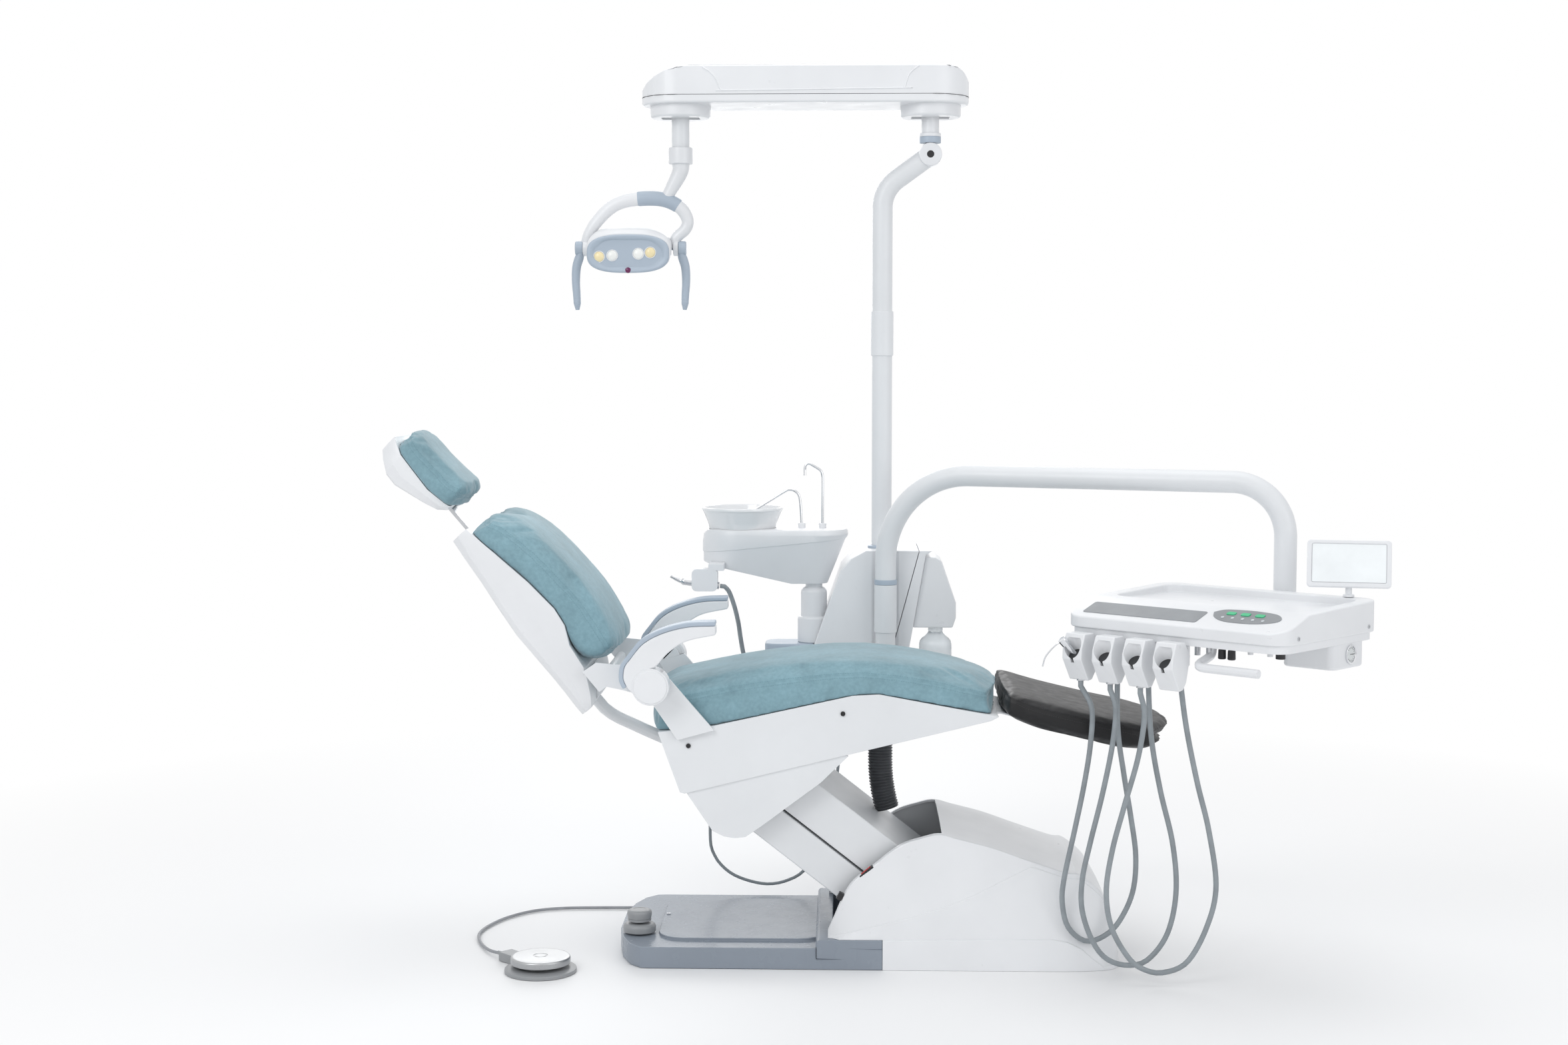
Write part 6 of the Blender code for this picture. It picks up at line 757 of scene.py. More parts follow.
def rib_tree() -> Tree:
    """Return the tree that sweeps a ribbed hose along a line."""
    tree = Tree("ribs")
    radius, rib, count = tree.size("Radius"), tree.size("Rib Height"), tree.size("Rib Count")
    line = tree.add("GeometryNodeMeshToCurve", {"Mesh": tree.entry.outputs["Geometry"]})
    fine = tree.add("GeometryNodeResampleCurve", {"Curve": line, "Count": 330}, mode="COUNT")
    along = tree.add("GeometryNodeSplineParameter", out="Factor")
    wave = tree.math("SINE", tree.math("MULTIPLY", tree.math("MULTIPLY", along, count), math.tau))
    crest = tree.math("MULTIPLY", tree.math("ADD", wave, 1.0), 0.5)
    size = tree.math("ADD", radius, tree.math("MULTIPLY", tree.math("POWER", crest, 0.6), rib))
    circle = tree.add("GeometryNodeCurvePrimitiveCircle", {"Resolution": 32, "Radius": 1.0}, mode="RADIUS")
    return tree.close(tree.add("GeometryNodeCurveToMesh", {
        "Curve": fine, "Profile Curve": circle, "Scale": size, "Fill Caps": True,
    }))


@dataclass
class Fasteners:
    """Socket-head screws, one mesh for each body."""

    tree: Tree = field(default_factory=screw_tree)

    def set(self, name: str, body: str, slot: str, spots: Sequence[tuple[Point, Point]],
            radius: float = 0.0042, finish: Finish = BRUSHED) -> None:
        """Set screws of one size on a body.

        Args:
            name: The piece's name.
            body: The body that they ride on.
            slot: Not used.
            spots: Places, each with the way that it faces.
            radius: The heads' radius.
            finish: Their finish.
        """
        mesh = self.tree.run(facing_mesh(spots), {
            "Head Radius": radius, "Head Height": radius * 0.6, "Finish": finish.material(),
        })
        set_piece(name, mesh, body, finish)


# Stage
@dataclass
class Studio:
    """The camera, the lamps, the pale floor and the white surround."""

    eye: Point = (-0.0486, -4.9, 1.321)
    pitch_down: float = 4.218
    yaw: float = 1.57
    lens: float = 50.0
    sensor: float = 36.0
    middle: Point = (0.0, 0.0, 0.9)
    lamps: tuple = (
        ("key", (-2.6, -3.4, 3.3), 2.2, 57.0), ("fill", (3.2, -3.0, 1.9), 2.6, 27.0),
        ("crown", (0.2, 0.4, 4.2), 2.8, 42.0), ("back", (-0.6, 4.2, 2.6), 2.6, 40.0),
    )
    surround: float = 0.62
    reach: float = 9.0
    fade: Point = (1.1, 3.2)

    def build(self) -> None:
        """Set the camera, the lamps, the floor and the world."""
        scene = bpy.context.scene
        scene.view_settings.view_transform = "Standard"
        data = bpy.data.cameras.new("camera")
        data.lens = self.lens
        data.sensor_width = self.sensor
        scene.camera = add_object("camera", data)
        scene.camera.location = self.eye
        scene.camera.rotation_euler = (math.radians(90 - self.pitch_down), 0, math.radians(self.yaw))
        for name, place, size, power in self.lamps:
            data = bpy.data.lights.new(name, "AREA")
            data.size = size
            data.energy = power
            lamp = add_object(name, data)
            lamp.location = place
            lamp.rotation_euler = (Vector(self.middle) - Vector(place)).to_track_quat("-Z", "Y").to_euler()
        self.world()
        self.floor()

    def world(self) -> None:
        """Make the surround white to the camera and softer as a light."""
        world = bpy.data.worlds.new("surround")
        bpy.context.scene.world = world
        world.use_nodes = True
        net = Network(world.node_tree)
        seen = net.tree.nodes["Background"]
        seen.inputs["Color"].default_value = (1, 1, 1, 1)
        lit = net.add("ShaderNodeBackground", {"Color": (0.95, 0.97, 1.0, 1), "Strength": self.surround})
        rays = net.add("ShaderNodeLightPath").node.outputs
        direct = rays["Is Camera Ray"]
        for kind in ("Is Glossy Ray", "Is Transmission Ray"):
            direct = net.add("ShaderNodeMath", {0: direct, 1: rays[kind]}, operation="MAXIMUM")
        mix = net.add("ShaderNodeMixShader", {0: direct, 1: lit, 2: seen.outputs[0]})
        net.feed(net.tree.nodes["World Output"].inputs["Surface"], mix)

    def floor(self) -> None:
        """Lay the pale floor, which fades to white away from the unit."""
        graph = Graph("floor")
        far = graph.add("ShaderNodeVectorMath", {0: graph.place}, "Value", operation="LENGTH")
        near, away = self.fade
        faded = graph.add("ShaderNodeMapRange", {"Value": far, "From Min": near, "From Max": away})
        seen = graph.add("ShaderNodeLightPath", out="Is Camera Ray")
        shown = graph.add("ShaderNodeMath", {0: faded, 1: seen}, operation="MULTIPLY")
        glow = graph.add("ShaderNodeEmission", {"Color": (1, 1, 1, 1), "Strength": 1.0})
        mix = graph.add("ShaderNodeMixShader", {0: shown, 1: graph.shader.outputs[0], 2: glow})
        graph.feed(graph.tree.nodes["Material Output"].inputs["Surface"], mix)
        graph.shade_with(Base_Color=(0.93, 0.93, 0.93, 1), Roughness=0.6)
        mesh = bpy.data.meshes.new("floor")
        corners = ((-1, -1), (1, -1), (1, 1), (-1, 1))
        mesh.from_pydata([(x * self.reach, y * self.reach, -0.0006) for x, y in corners], [], [(0, 1, 2, 3)])
        mesh.materials.append(graph.material)
        add_object("floor", mesh)


# Hoses and the cable
class Lay(Enum):
    """How a cord is held."""

    HANGING = "hanging"
    LOOSE = "loose"


@dataclass
class Cord:
    """One flexible line that goes back into the unit."""

    name: str
    body: str
    radius: float
    route: Sequence[Vector]
    finish: Finish
    lay: Lay = Lay.HANGING
    stiffness: str = "medium"

    def build(self) -> None:
        curve = bpy.data.curves.new(f"{self.name}_line", "CURVE")
        curve.dimensions = "3D"
        curve.bevel_depth = self.radius
        curve.bevel_resolution = 5
        curve.use_fill_caps = True
        line = curve.splines.new("POLY")
        line.points.add(len(self.route) - 1)
        for spot, point in zip(line.points, self.route):
            spot.co = (*point, 1)
        line.use_smooth = True
        curve.materials.append(self.finish.material())
        piece = add_object(f"{self.name}_line", curve)
        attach(piece, self.body)
        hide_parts(self.name)


@dataclass
class Hoses:
    """The instrument hoses, the suction and drain hoses and the pedal's cable."""

    hose_radius: float = 0.0058
    suction_radius: float = 0.0055
    drain_radius: float = 0.00375
    cable_radius: float = 0.0035
    holder_pitch: float = 0.0765
    instrument: tuple = (
        ((0.486, 0.578), (0.484, 0.499), (0.471, 0.409), (0.452, 0.312), (0.43, 0.204), (0.427, 0.15),
         (0.441, 0.097), (0.481, 0.068), (0.528, 0.087), (0.559, 0.128), (0.58, 0.185), (0.584, 0.259),
         (0.572, 0.345), (0.556, 0.438), (0.542, 0.54)),
        ((0.531, 0.586), (0.525, 0.508), (0.505, 0.402), (0.48, 0.296), (0.464, 0.217), (0.464, 0.15),
         (0.486, 0.084), (0.517, 0.044), (0.562, 0.03), (0.606, 0.043), (0.647, 0.101), (0.664, 0.192),
         (0.655, 0.297), (0.627, 0.413), (0.606, 0.534)),
        ((0.585, 0.579), (0.573, 0.491), (0.545, 0.386), (0.521, 0.292), (0.509, 0.203), (0.521, 0.125),
         (0.557, 0.061), (0.589, 0.036), (0.63, 0.029), (0.681, 0.052), (0.721, 0.126), (0.74, 0.215),
         (0.723, 0.335), (0.697, 0.439), (0.672, 0.56)),
    )
    suction: tuple = (
        (-0.325, 0.338, 0.766), (-0.313, 0.35, 0.73), (-0.305, 0.385, 0.685), (-0.3, 0.4, 0.644),
        (-0.292, 0.412, 0.6), (-0.274, 0.421, 0.562), (-0.24, 0.428, 0.54), (-0.2, 0.434, 0.53),
        (-0.165, 0.438, 0.528), (-0.138, 0.44, 0.528),
    )
    drain: tuple = (
        (-0.2, 0.405, 0.585), (-0.203, 0.404, 0.568), (-0.225, 0.392, 0.538), (-0.27, 0.358, 0.502),
        (-0.318, 0.318, 0.458), (-0.35, 0.285, 0.395), (-0.364, 0.272, 0.31), (-0.368, 0.27, 0.178),
        (-0.358, 0.27, 0.136), (-0.338, 0.27, 0.108), (-0.308, 0.27, 0.086), (-0.265, 0.27, 0.071),
        (-0.225, 0.27, 0.066), (-0.185, 0.27, 0.074), (-0.145, 0.272, 0.096), (-0.105, 0.276, 0.15),
        (-0.078, 0.292, 0.23), (-0.062, 0.325, 0.33), (-0.055, 0.365, 0.415), (-0.053, 0.392, 0.462),
        (-0.053, 0.397, 0.49),
    )
    cable: tuple = (
        (-0.4, 0.245, 0.02), (-0.403, 0.258, 0.0185), (-0.418, 0.27, 0.014), (-0.445, 0.276, 0.008),
        (-0.48, 0.2765, 0.0045), (-0.537, 0.2745, 0.0045), (-0.636, 0.2715, 0.0045), (-0.727, 0.263, 0.0045),
        (-0.793, 0.234, 0.0045), (-0.845, 0.171, 0.0045), (-0.876, 0.096, 0.0045), (-0.887, 0.03, 0.0045),
        (-0.879, -0.026, 0.0045), (-0.862, -0.078, 0.0045), (-0.836, -0.131, 0.0075),
    )

    def build(self) -> None:
        """Make every cord, from its exit to where it goes back in."""
        for index, places in enumerate(self.instrument):
            self.instrument_hose(index, places)
        start, run = Vector((-0.3466, 0.33185, 0.78106)), Vector((1.0, 0.0, -0.12)).normalized()
        route = [start] + smooth([start + run * self.suction_radius * 2, *self.suction], 60)
        route.append(Vector((-0.1315, 0.44, 0.528)))
        Cord("suction_hose", "cuspidor", self.suction_radius, route, HOSE).build()
        route = [Vector((-0.2, 0.405, 0.5927))] + smooth(self.drain, 90) + [Vector((-0.053, 0.397, 0.4997))]
        Cord("drain_hose", "seat", self.drain_radius, route, HOSE).build()
        self.pedal_cable()

    def instrument_hose(self, index: int, places: Sequence[Point]) -> None:
        """Make one hose from its holder down to its loop and up under the tray."""
        start = TRAY_FRAME @ Vector((-0.2096 + self.holder_pitch * index, -0.217, -0.1121))
        end = TRAY_FRAME @ Vector((-0.15108 + self.holder_pitch * index, -0.165, -0.0473))
        drop = Vector((0, 0, -self.hose_radius * 2))
        route = [start + drop]
        for i, (x, z) in enumerate(places):
            share = (i + 1) / (len(places) + 1)
            route.append(Vector((x, start.y + (end.y - start.y) * share, z)))
        line = [start] + smooth(route + [end + drop], 110) + [end]
        Cord(f"hose_{index + 1}", "tray", self.hose_radius, line, HOSE).build()

    def pedal_cable(self) -> None:
        """Make the pedal's cable across the floor, and the taper where it enters the pedal."""
        turn = math.radians(135)
        run = Vector((math.cos(turn), math.sin(turn), 0))
        plug = Vector((-0.7754, -0.1946, 0.0103)) + run * 0.0303
        route = [Vector(point) for point in self.cable] + [plug + run * self.cable_radius * 4]
        line = [Vector((-0.4, 0.2378, 0.02))] + smooth(route, 110) + [plug]
        Cord("pedal_cable", "base", self.cable_radius, line, CABLE, Lay.LOOSE).build()
        boot = [plug + run * d for d in (-0.002, 0.004, 0.013, 0.026)]
        Shape().tube(boot, [0.0068, 0.0066, 0.0052, 0.004], 24).put(
            "pedal_cable_boot", "base", CABLE, "pedal_base")


# Upholstery
SEAM_STEP, SEAM_REACH, SEAM_DEPTH = 0.003, 0.007, 0.0022
THREAD_APART, THREAD_LIFT = 0.0055, 0.0001
STITCH = {"Pitch": 0.0052, "Stitch Length": 0.0034, "Thread Radius": 0.00038}
REST_GAP, FREE_GAP = 0.0025, 0.022
CLOTH_PRESSURE, CLOTH_QUALITY, CLOTH_FRAMES = 4.0, 4, 20
@dataclass
class Cushion:
    """One cushion: its solid's form filled out by a cloth simulation, with its sewn seam."""

    node: str
    finish: Finish
    rests_on: tuple[str, ...]
    stations: tuple
    half_width: float
    place: Callable[[float, float], tuple[float, float]]
    matrix: Matrix = field(default_factory=Matrix)
    first_shift: Callable[[float], float] = lambda across: 0.0
    last_shift: Callable[[float], float] = lambda across: 0.0
    cap: float = 0.01
    shrink: float = 0.003
    side_limit: float = 1.0
    voxel: float = 0.0065
    passes: int = 3

    def seam_line(self) -> list[Vector]:
        """Return the closed line where the top panel meets the side panel, before it is laid on."""
        side = [(self.place(along, level), self.half_width * share) for along, level, share in self.stations]
        loop = []
        for way, shift in ((-1, self.first_shift), (1, self.last_shift)):
            (x, z), wide = side[0 if way < 0 else -1]
            for k in range(13):
                across = way * (1 - k / 6)
                loop.append(Vector((x + shift(abs(across)), across * wide * 0.94, z)))
            long = [Vector((x, -way * y, z)) for (x, z), y in side[1:-1]]
            loop += long if way < 0 else long[::-1]
        return [self.matrix @ point for point in smooth(loop + [loop[0]], 420)[:-1]]

    def held(self, point: Vector, supports: Sequence[BVHTree]) -> float:
        """Return 0 where the cushion rests on something and 1 where it is free."""
        near = min((tree.find_nearest(point)[3] or 1.0) for tree in supports)
        return min(max((near - REST_GAP) / FREE_GAP, 0.0), 1.0)

    def filled(self) -> Mesh:
        """Return the cushion's mesh, blown up by cloth pressure within its cap."""
        supports = [BVHTree.FromBMesh(cad_shape(name).bm) for name in self.rests_on]
        mesh = cad_shape(self.node).mesh(self.node)
        mesh = modified(mesh, "REMESH", mode="VOXEL", voxel_size=self.voxel)
        free = [self.held(vert.co, supports) for vert in mesh.vertices]
        normals = [vert.normal.copy() for vert in mesh.vertices]
        for vert, normal, share in zip(mesh.vertices, normals, free):
            vert.co -= normal * self.shrink * share
        start = [vert.co.copy() for vert in mesh.vertices]
        mesh = self.simulated(mesh, free)
        for vert, rest, share, normal in zip(mesh.vertices, start, free, normals):
            move = vert.co - rest
            if move.length > self.cap * share:
                move = move.normalized() * (self.cap * share)
            vert.co = rest + move
            if abs(vert.co.y) > self.side_limit:
                vert.co.y = math.copysign(self.side_limit, vert.co.y)
        shape = Shape(mesh)
        loose = [vert for vert, share in zip(shape.bm.verts, free) if share > 0.3]
        for _ in range(self.passes):
            bmesh.ops.smooth_vert(shape.bm, verts=loose, factor=0.35, use_axis_x=True,
                                  use_axis_y=True, use_axis_z=True)
        return modified(shape.mesh("pad"), "SUBSURF", levels=1, render_levels=1)

    def simulated(self, mesh: Mesh, free: Sequence[float]) -> Mesh:
        """Return a mesh after its cloth has run, pinned where it isn't free."""
        holder = add_object("pad", mesh)
        pins = holder.vertex_groups.new(name="held")
        pins.add([index for index, share in enumerate(free) if share < 0.05], 1.0, "REPLACE")
        settings = holder.modifiers.new("cloth", "CLOTH").settings
        settings.use_pressure = True
        settings.uniform_pressure_force = CLOTH_PRESSURE
        settings.effector_weights.gravity = 0.0
        settings.vertex_group_mass = "held"
        settings.quality = CLOTH_QUALITY
        for number in range(1, CLOTH_FRAMES + 1):
            bpy.context.scene.frame_set(number)
        result = settled(holder)
        bpy.data.objects.remove(holder, do_unlink=True)
        bpy.context.scene.frame_set(1)
        return result

    def build(self, stitches: Tree) -> None:
        """Make the cushion with its sunk seam and its two rows of stitches.

        Args:
            stitches: The tree that sews them.
        """
        shape = Shape(self.filled())
        surface = BVHTree.FromBMesh(shape.bm)
        seam = [surface.find_nearest(point)[0] for point in self.seam_line()]
        seam = even(seam + [seam[0]], int(length_of(seam) / SEAM_STEP))[:-1]
        tree = KDTree(len(seam))
        for index, point in enumerate(seam):
            tree.insert(point, index)
        tree.balance()
        shape.bm.normal_update()
        normals = [vert.normal.copy() for vert in shape.bm.verts]
        for vert, normal in zip(shape.bm.verts, normals):
            distance = tree.find(vert.co)[2]
            if distance < SEAM_REACH:
                vert.co -= normal * (SEAM_DEPTH * (1 - distance / SEAM_REACH) ** 2)
        surface = BVHTree.FromBMesh(shape.bm)
        rows = []
        for way in (1.0, -1.0):
            row = []
            for index, point in enumerate(seam):
                run = (seam[(index + 2) % len(seam)] - seam[index - 2]).normalized()
                normal = surface.find_nearest(point)[1]
                spot, normal, _, _ = surface.find_nearest(point + run.cross(normal) * THREAD_APART * way)
                row.append(spot + normal * THREAD_LIFT)
            rows.append(row)
        piece = set_piece(
            f"{self.node}_cover", shape.mesh(self.node), BODY[self.node], self.finish,
            (self.node,), SMOOTH,
        )
        thread = THREAD if self.finish is TEAL else BLACK
        for number, row in enumerate(rows):
            sewn = stitches.run(line_mesh(row, True), {**STITCH, "Finish": thread.material()})
            set_piece(f"{self.node}_stitches_{number + 1}", sewn, BODY[self.node], thread)


@dataclass
class Upholstery:
    """The seat, foot, back and head cushions."""

    seat: tuple = (
        (0.0, 0.48, 0.93), (0.05, 0.535, 0.985), (0.125, 0.555, 1.0), (0.25, 0.665, 1.0), (0.434, 0.78, 1.0),
        (0.615, 0.85, 1.0), (0.8, 0.74, 1.0), (0.93, 0.635, 0.985), (1.0, 0.58, 0.95),
    )
    back: tuple = (
        (0.159, -0.175, 0.93), (0.2, -0.14, 0.985), (0.3, -0.1, 1.0), (0.411, -0.045, 1.0),
        (0.49, -0.038, 1.0), (0.641, -0.045, 1.0), (0.8, -0.09, 1.0), (0.912, -0.18, 0.985),
        (0.985, -0.26, 0.93),
    )
    head: tuple = (
        (-0.165, 0.225, 0.93), (-0.12, 0.29, 0.985), (0.03, 0.255, 1.0), (0.22, 0.245, 1.0),
        (0.42, 0.245, 1.0), (0.62, 0.265, 1.0), (0.74, 0.27, 0.985), (0.81, 0.26, 0.93),
    )
    foot: tuple = (
        (0.0, 0.8, 0.97), (0.05, 0.86, 1.0), (0.2, 0.82, 1.0), (0.42, 0.82, 1.0), (0.62, 0.82, 1.0),
        (0.8, 0.8, 0.98), (0.93, 0.66, 0.92), (1.0, 0.42, 0.8),
    )
    foot_base: tuple = ((0, 1.0), (0.18, 0.7), (0.466, 0.342), (0.684, 0.08), (0.83, 0.0), (1.0, 0.05))

    def foot_place(self, along: float, level: float) -> tuple[float, float]:
        """Return a place on the foot cushion from shares of its length and thickness."""
        low = 0.6055 - 0.052 - 0.076
        for (a, low_a), (b, low_b) in zip(self.foot_base, self.foot_base[1:]):
            if along <= b:
                low += 0.076 * (low_a + (low_b - low_a) * (along - a) / (b - a))
                break
        return 0.3033 + along * 0.3965, low + level * 0.052

    def build(self) -> None:
        """Make the four cushions."""
        stitches = stitch_tree()

        def drawn(depth: float) -> Callable[[float], float]:
            """Return how far an edge is drawn in towards its ends."""
            return lambda across: depth * across ** 4

        def lobes(across: float) -> float:
            """Return how far the back's top edge is drawn in."""
            return -0.02 * max(1 - across / 0.6, 0) - 0.024 * max(across - 0.6, 0) ** 2 / 0.16

        Cushion(
            "seat_cushion", TEAL, ("seat_frame", "foot_cushion"), self.seat, 0.208,
            lambda along, level: (-0.483 + along * 0.7857, 0.495 + level * 0.18), Matrix(), drawn(0.02),
            drawn(-0.028), cap=0.008, side_limit=0.2085,
        ).build(stitches)
        Cushion(
            "foot_cushion", BLACK_HIDE, ("seat_frame", "seat_cushion"), self.foot, 0.226, self.foot_place,
            last_shift=lambda across: -0.088 * across ** 3, cap=0.006, shrink=0.0012, voxel=0.0055, passes=1,
        ).build(stitches)
        Cushion(
            "backrest_cushion", TEAL, ("backrest_shell",), self.back, 0.207,
            lambda along, level: (along * 0.535, level * 0.2), BACK_FRAME, drawn(0.024), lobes,
            side_limit=0.2095,
        ).build(stitches)
        Cushion(
            "headrest_cushion", TEAL, ("headrest_shell",), self.head, 0.13,
            lambda along, level: (along * 0.217, level * 0.217), HEAD_FRAME, drawn(0.024), drawn(-0.024),
            cap=0.008, voxel=0.005,
        ).build(stitches)


# Base
def between(table: Sequence[Point], x: float) -> list[float]:
    """Return a table's columns read at a place between its rows, or at its ends."""
    for low, high in zip(table, table[1:]):
        if x <= high[0]:
            share = min(max((x - low[0]) / (high[0] - low[0]), 0.0), 1.0)
            return [a + (b - a) * share for a, b in zip(low[1:], high[1:])]
    return list(table[-1][1:])


def read_rows(rows: Sequence[Point], count: int) -> list[tuple[float, ...]]:
    """Return rows of numbers read finely from smooth curves through given rows, led by their first."""
    width = len(rows[0])
    fine = []
    for start in range(1, width, 2):
        columns = [(row[0], row[start], row[min(start + 1, width - 1)]) for row in rows]
        fine.append(smooth(columns, count * 4))
    read = []
    for i in range(count + 1):
        x = rows[0][0] + (rows[-1][0] - rows[0][0]) * i / count
        row = [x]
        for curve in fine:
            before = max((p for p in curve if p.x <= x + 1e-9), key=lambda p: p.x)
            after = min((p for p in curve if p.x >= x - 1e-9), key=lambda p: p.x)
            share = 0.0 if after.x - before.x < 1e-9 else (x - before.x) / (after.x - before.x)
            spot = before.lerp(after, share)
            row += [spot.y, spot.z]
        read.append(tuple(row[:width]))
    return read


@dataclass
class Base:
    """The floor base: its cover with the tread, the white hump and the power rocker."""

    screws: Fasteners
    left: float = 0.09
    right: float = 0.559
    height: float = 0.291
    half_width: float = 0.239
    top_half_width: float = 0.198
    wall: float = 0.005
    mouth_half: float = 0.184
    mouth_right: float = 0.168
    rows: tuple = (
        (0.0139, 0.262, 1.0), (0.031, 0.347, 1.0), (0.086, 0.605, 1.0), (0.165, 0.756, 1.0),
        (0.254, 0.911, 1.0), (0.332, 0.973, 1.0), (0.391, 1.0, 1.0), (0.455, 0.966, 1.0), (0.569, 0.9, 1.0),
        (0.68, 0.814, 1.0), (0.814, 0.715, 0.995), (0.862, 0.698, 0.985), (0.938, 0.553, 0.955),
        (0.974, 0.344, 0.9), (1.0, 0.079, 0.8),
    )
    crease: tuple = (
        (-0.09, 0.219, 0.064), (0.032, 0.233, 0.096), (0.1, 0.233, 0.114), (0.176, 0.231, 0.137),
        (0.245, 0.226, 0.166), (0.307, 0.215, 0.196), (0.366, 0.202, 0.222),
    )
    lip: tuple = (
        (-0.1, 0.064), (0.039, 0.064), (0.404, 0.069), (0.44, 0.063), (0.47, 0.048), (0.495, 0.025),
        (0.52, 0.006),
    )

    def ring(self, x: float, top: float, spread: float, inset: float = 0.0) -> list[Point]:
        """Return the hump's closed section at one X, drawn in by an inset."""
        foot, head = self.half_width * spread - inset, self.top_half_width * spread - inset
        top -= inset
        lip = min(between(self.lip, x)[0], top * 0.5)
        side, crease = between(self.crease, x)
        side = max(min(side * spread - inset, foot - 0.0046), head + 0.002)
        crease = min(max(crease, lip + 0.008), max(top - 0.012, top * 0.7))
        half = [
            (foot, -inset), (foot, lip - 0.002), (foot - 0.0008, lip), (foot - 0.0042, lip + 0.0015),
            (side + 0.0003, crease - 0.002), (side, crease), (side - 0.0026, crease + 0.0016),
            (head + 0.0012, top - 0.0045), (head - 0.001, top - 0.0012), (head - 0.004, top),
            (head * 0.92, top + 0.0006), (head * 0.45, top + 0.0045), (0, top + 0.006),
        ]
        return [(x, y, z) for y, z in half] + [(x, -y, z) for y, z in reversed(half[:-1])]

    def hump(self) -> Shape:
        """Return the hump's shell, open on the side where the links swing out."""
        span = self.left + self.right
        line = smooth([(along * span - self.left, 0, up * self.height) for along, up, _ in self.rows], 100)
        plan = [(along * span - self.left, spread) for along, _, spread in self.rows]
        places = [(p.x, min(p.z, self.height), between(plan, p.x)[0]) for p in line]
        shell = Shape().loft([self.ring(*place) for place in places])
        shell.boolean(Shape().loft([
            self.ring(*place, self.wall) for place in places if -0.074 < place[0] < 0.548]))
        mouth = self.mouth_half
        shell.boolean(Shape().box((-0.3, -mouth, -0.1), (self.mouth_right, mouth, 0.5)))
        return shell.boolean(Shape().box((-0.3, -0.3, -0.1), (0.0383, 0.3, 0.0655)))

    def build(self) -> None:
        """Make the base's pieces."""
        dress("base_frame", STEEL_GREY)
        softened("base_cover", BASE_GLOSS, 0.0024, 3, KEEN)
        self.hump().stand_for("rear_cover", "hump_shell", WHITE, KEEN)
        softened("power_rocker", RED, 0.0012)
        place = at(0.003, -0.1915, 0.2075) @ turned(-40.6, "Y")
        surround = Shape().side(rounded(-0.0185, 0.0185, -0.0045, 0.0022, 0.002), -0.0075, 0.0075, place)
        surround.boolean(Shape().box((-0.0136, -0.004, -0.01), (0.0136, 0.004, 0.02), place))
        surround.dissolve().bevel(0.0006, 2).put("rocker_surround", "base", BLACK, "power_rocker")
        place = at(-0.052, -0.192, 0.151) @ turned(-62, "Y")
        holder = Shape().side(rounded(-0.0085, 0.0085, -0.0035, 0.0085, 0.0015), -0.0065, 0.0065, place)
        holder.bevel(0.001, 2).put("fuse_holder", "base", BLACK, "power_rocker")
        cover = BVHTree.FromBMesh(cad_shape("base_cover").bm)
        spots = [(cover.ray_cast(Vector((-0.449, 0.025, 0.5)), -UP)[0] + UP * 0.0012, (0, 0, 1))]
        self.screws.set("base_screws", "base", "base_cover", spots, 0.0045)


@dataclass
class FootControls:
    """The foot switch on the base and the round pedal on the floor."""

    switch: Point = (-0.503, -0.115)
    pedal: Point = (-0.705, -0.265)
    skirt: tuple = (
        (0.0001, 0.0473), (0.003, 0.0473), (0.033, 0.051), (0.0362, 0.0518), (0.0365, 0.054), (0.0365, 0.061),
        (0.036, 0.0645), (0.0345, 0.0672), (0.031, 0.0692), (0.0275, 0.0706), (0.0001, 0.0706),
    )
    cap: tuple = (
        (0.0001, 0.0712), (0.003, 0.0712), (0.024, 0.0748), (0.0258, 0.0756), (0.0262, 0.0775),
        (0.0262, 0.08), (0.025, 0.0806), (0.025, 0.0814), (0.0264, 0.082), (0.0272, 0.088), (0.0275, 0.093),
        (0.027, 0.0962), (0.0252, 0.0985), (0.0215, 0.1), (0.015, 0.1006), (0.014, 0.0998), (0.0001, 0.0996),
    )
    disc: tuple = (
        (0.0001, 0.007), (0.0118, 0.007), (0.0119, 0.0192), (0.063, 0.019), (0.0645, 0.0198), (0.065, 0.0215),
        (0.065, 0.03), (0.0644, 0.0326), (0.0625, 0.0342), (0.058, 0.0348), (0.056, 0.0343), (0.0545, 0.0348),
        (0.016, 0.0352), (0.015, 0.0344), (0.0135, 0.0344), (0.0125, 0.0352), (0.0001, 0.0353),
    )

    def build(self) -> None:
        """Make both foot controls."""
        for node, profile in (("foot_switch_skirt", self.skirt), ("foot_switch_cap", self.cap)):
            Shape().lathe(profile, at(*self.switch), 64).stand_for(node, f"{node}_shape", SWITCH_GREY)
        softened("pedal_base", SWITCH_GREY, 0.0011, 2)
        Shape().lathe(self.disc, at(*self.pedal), 96).stand_for("pedal_disc", "pedal_disc_shape", DISC_METAL)


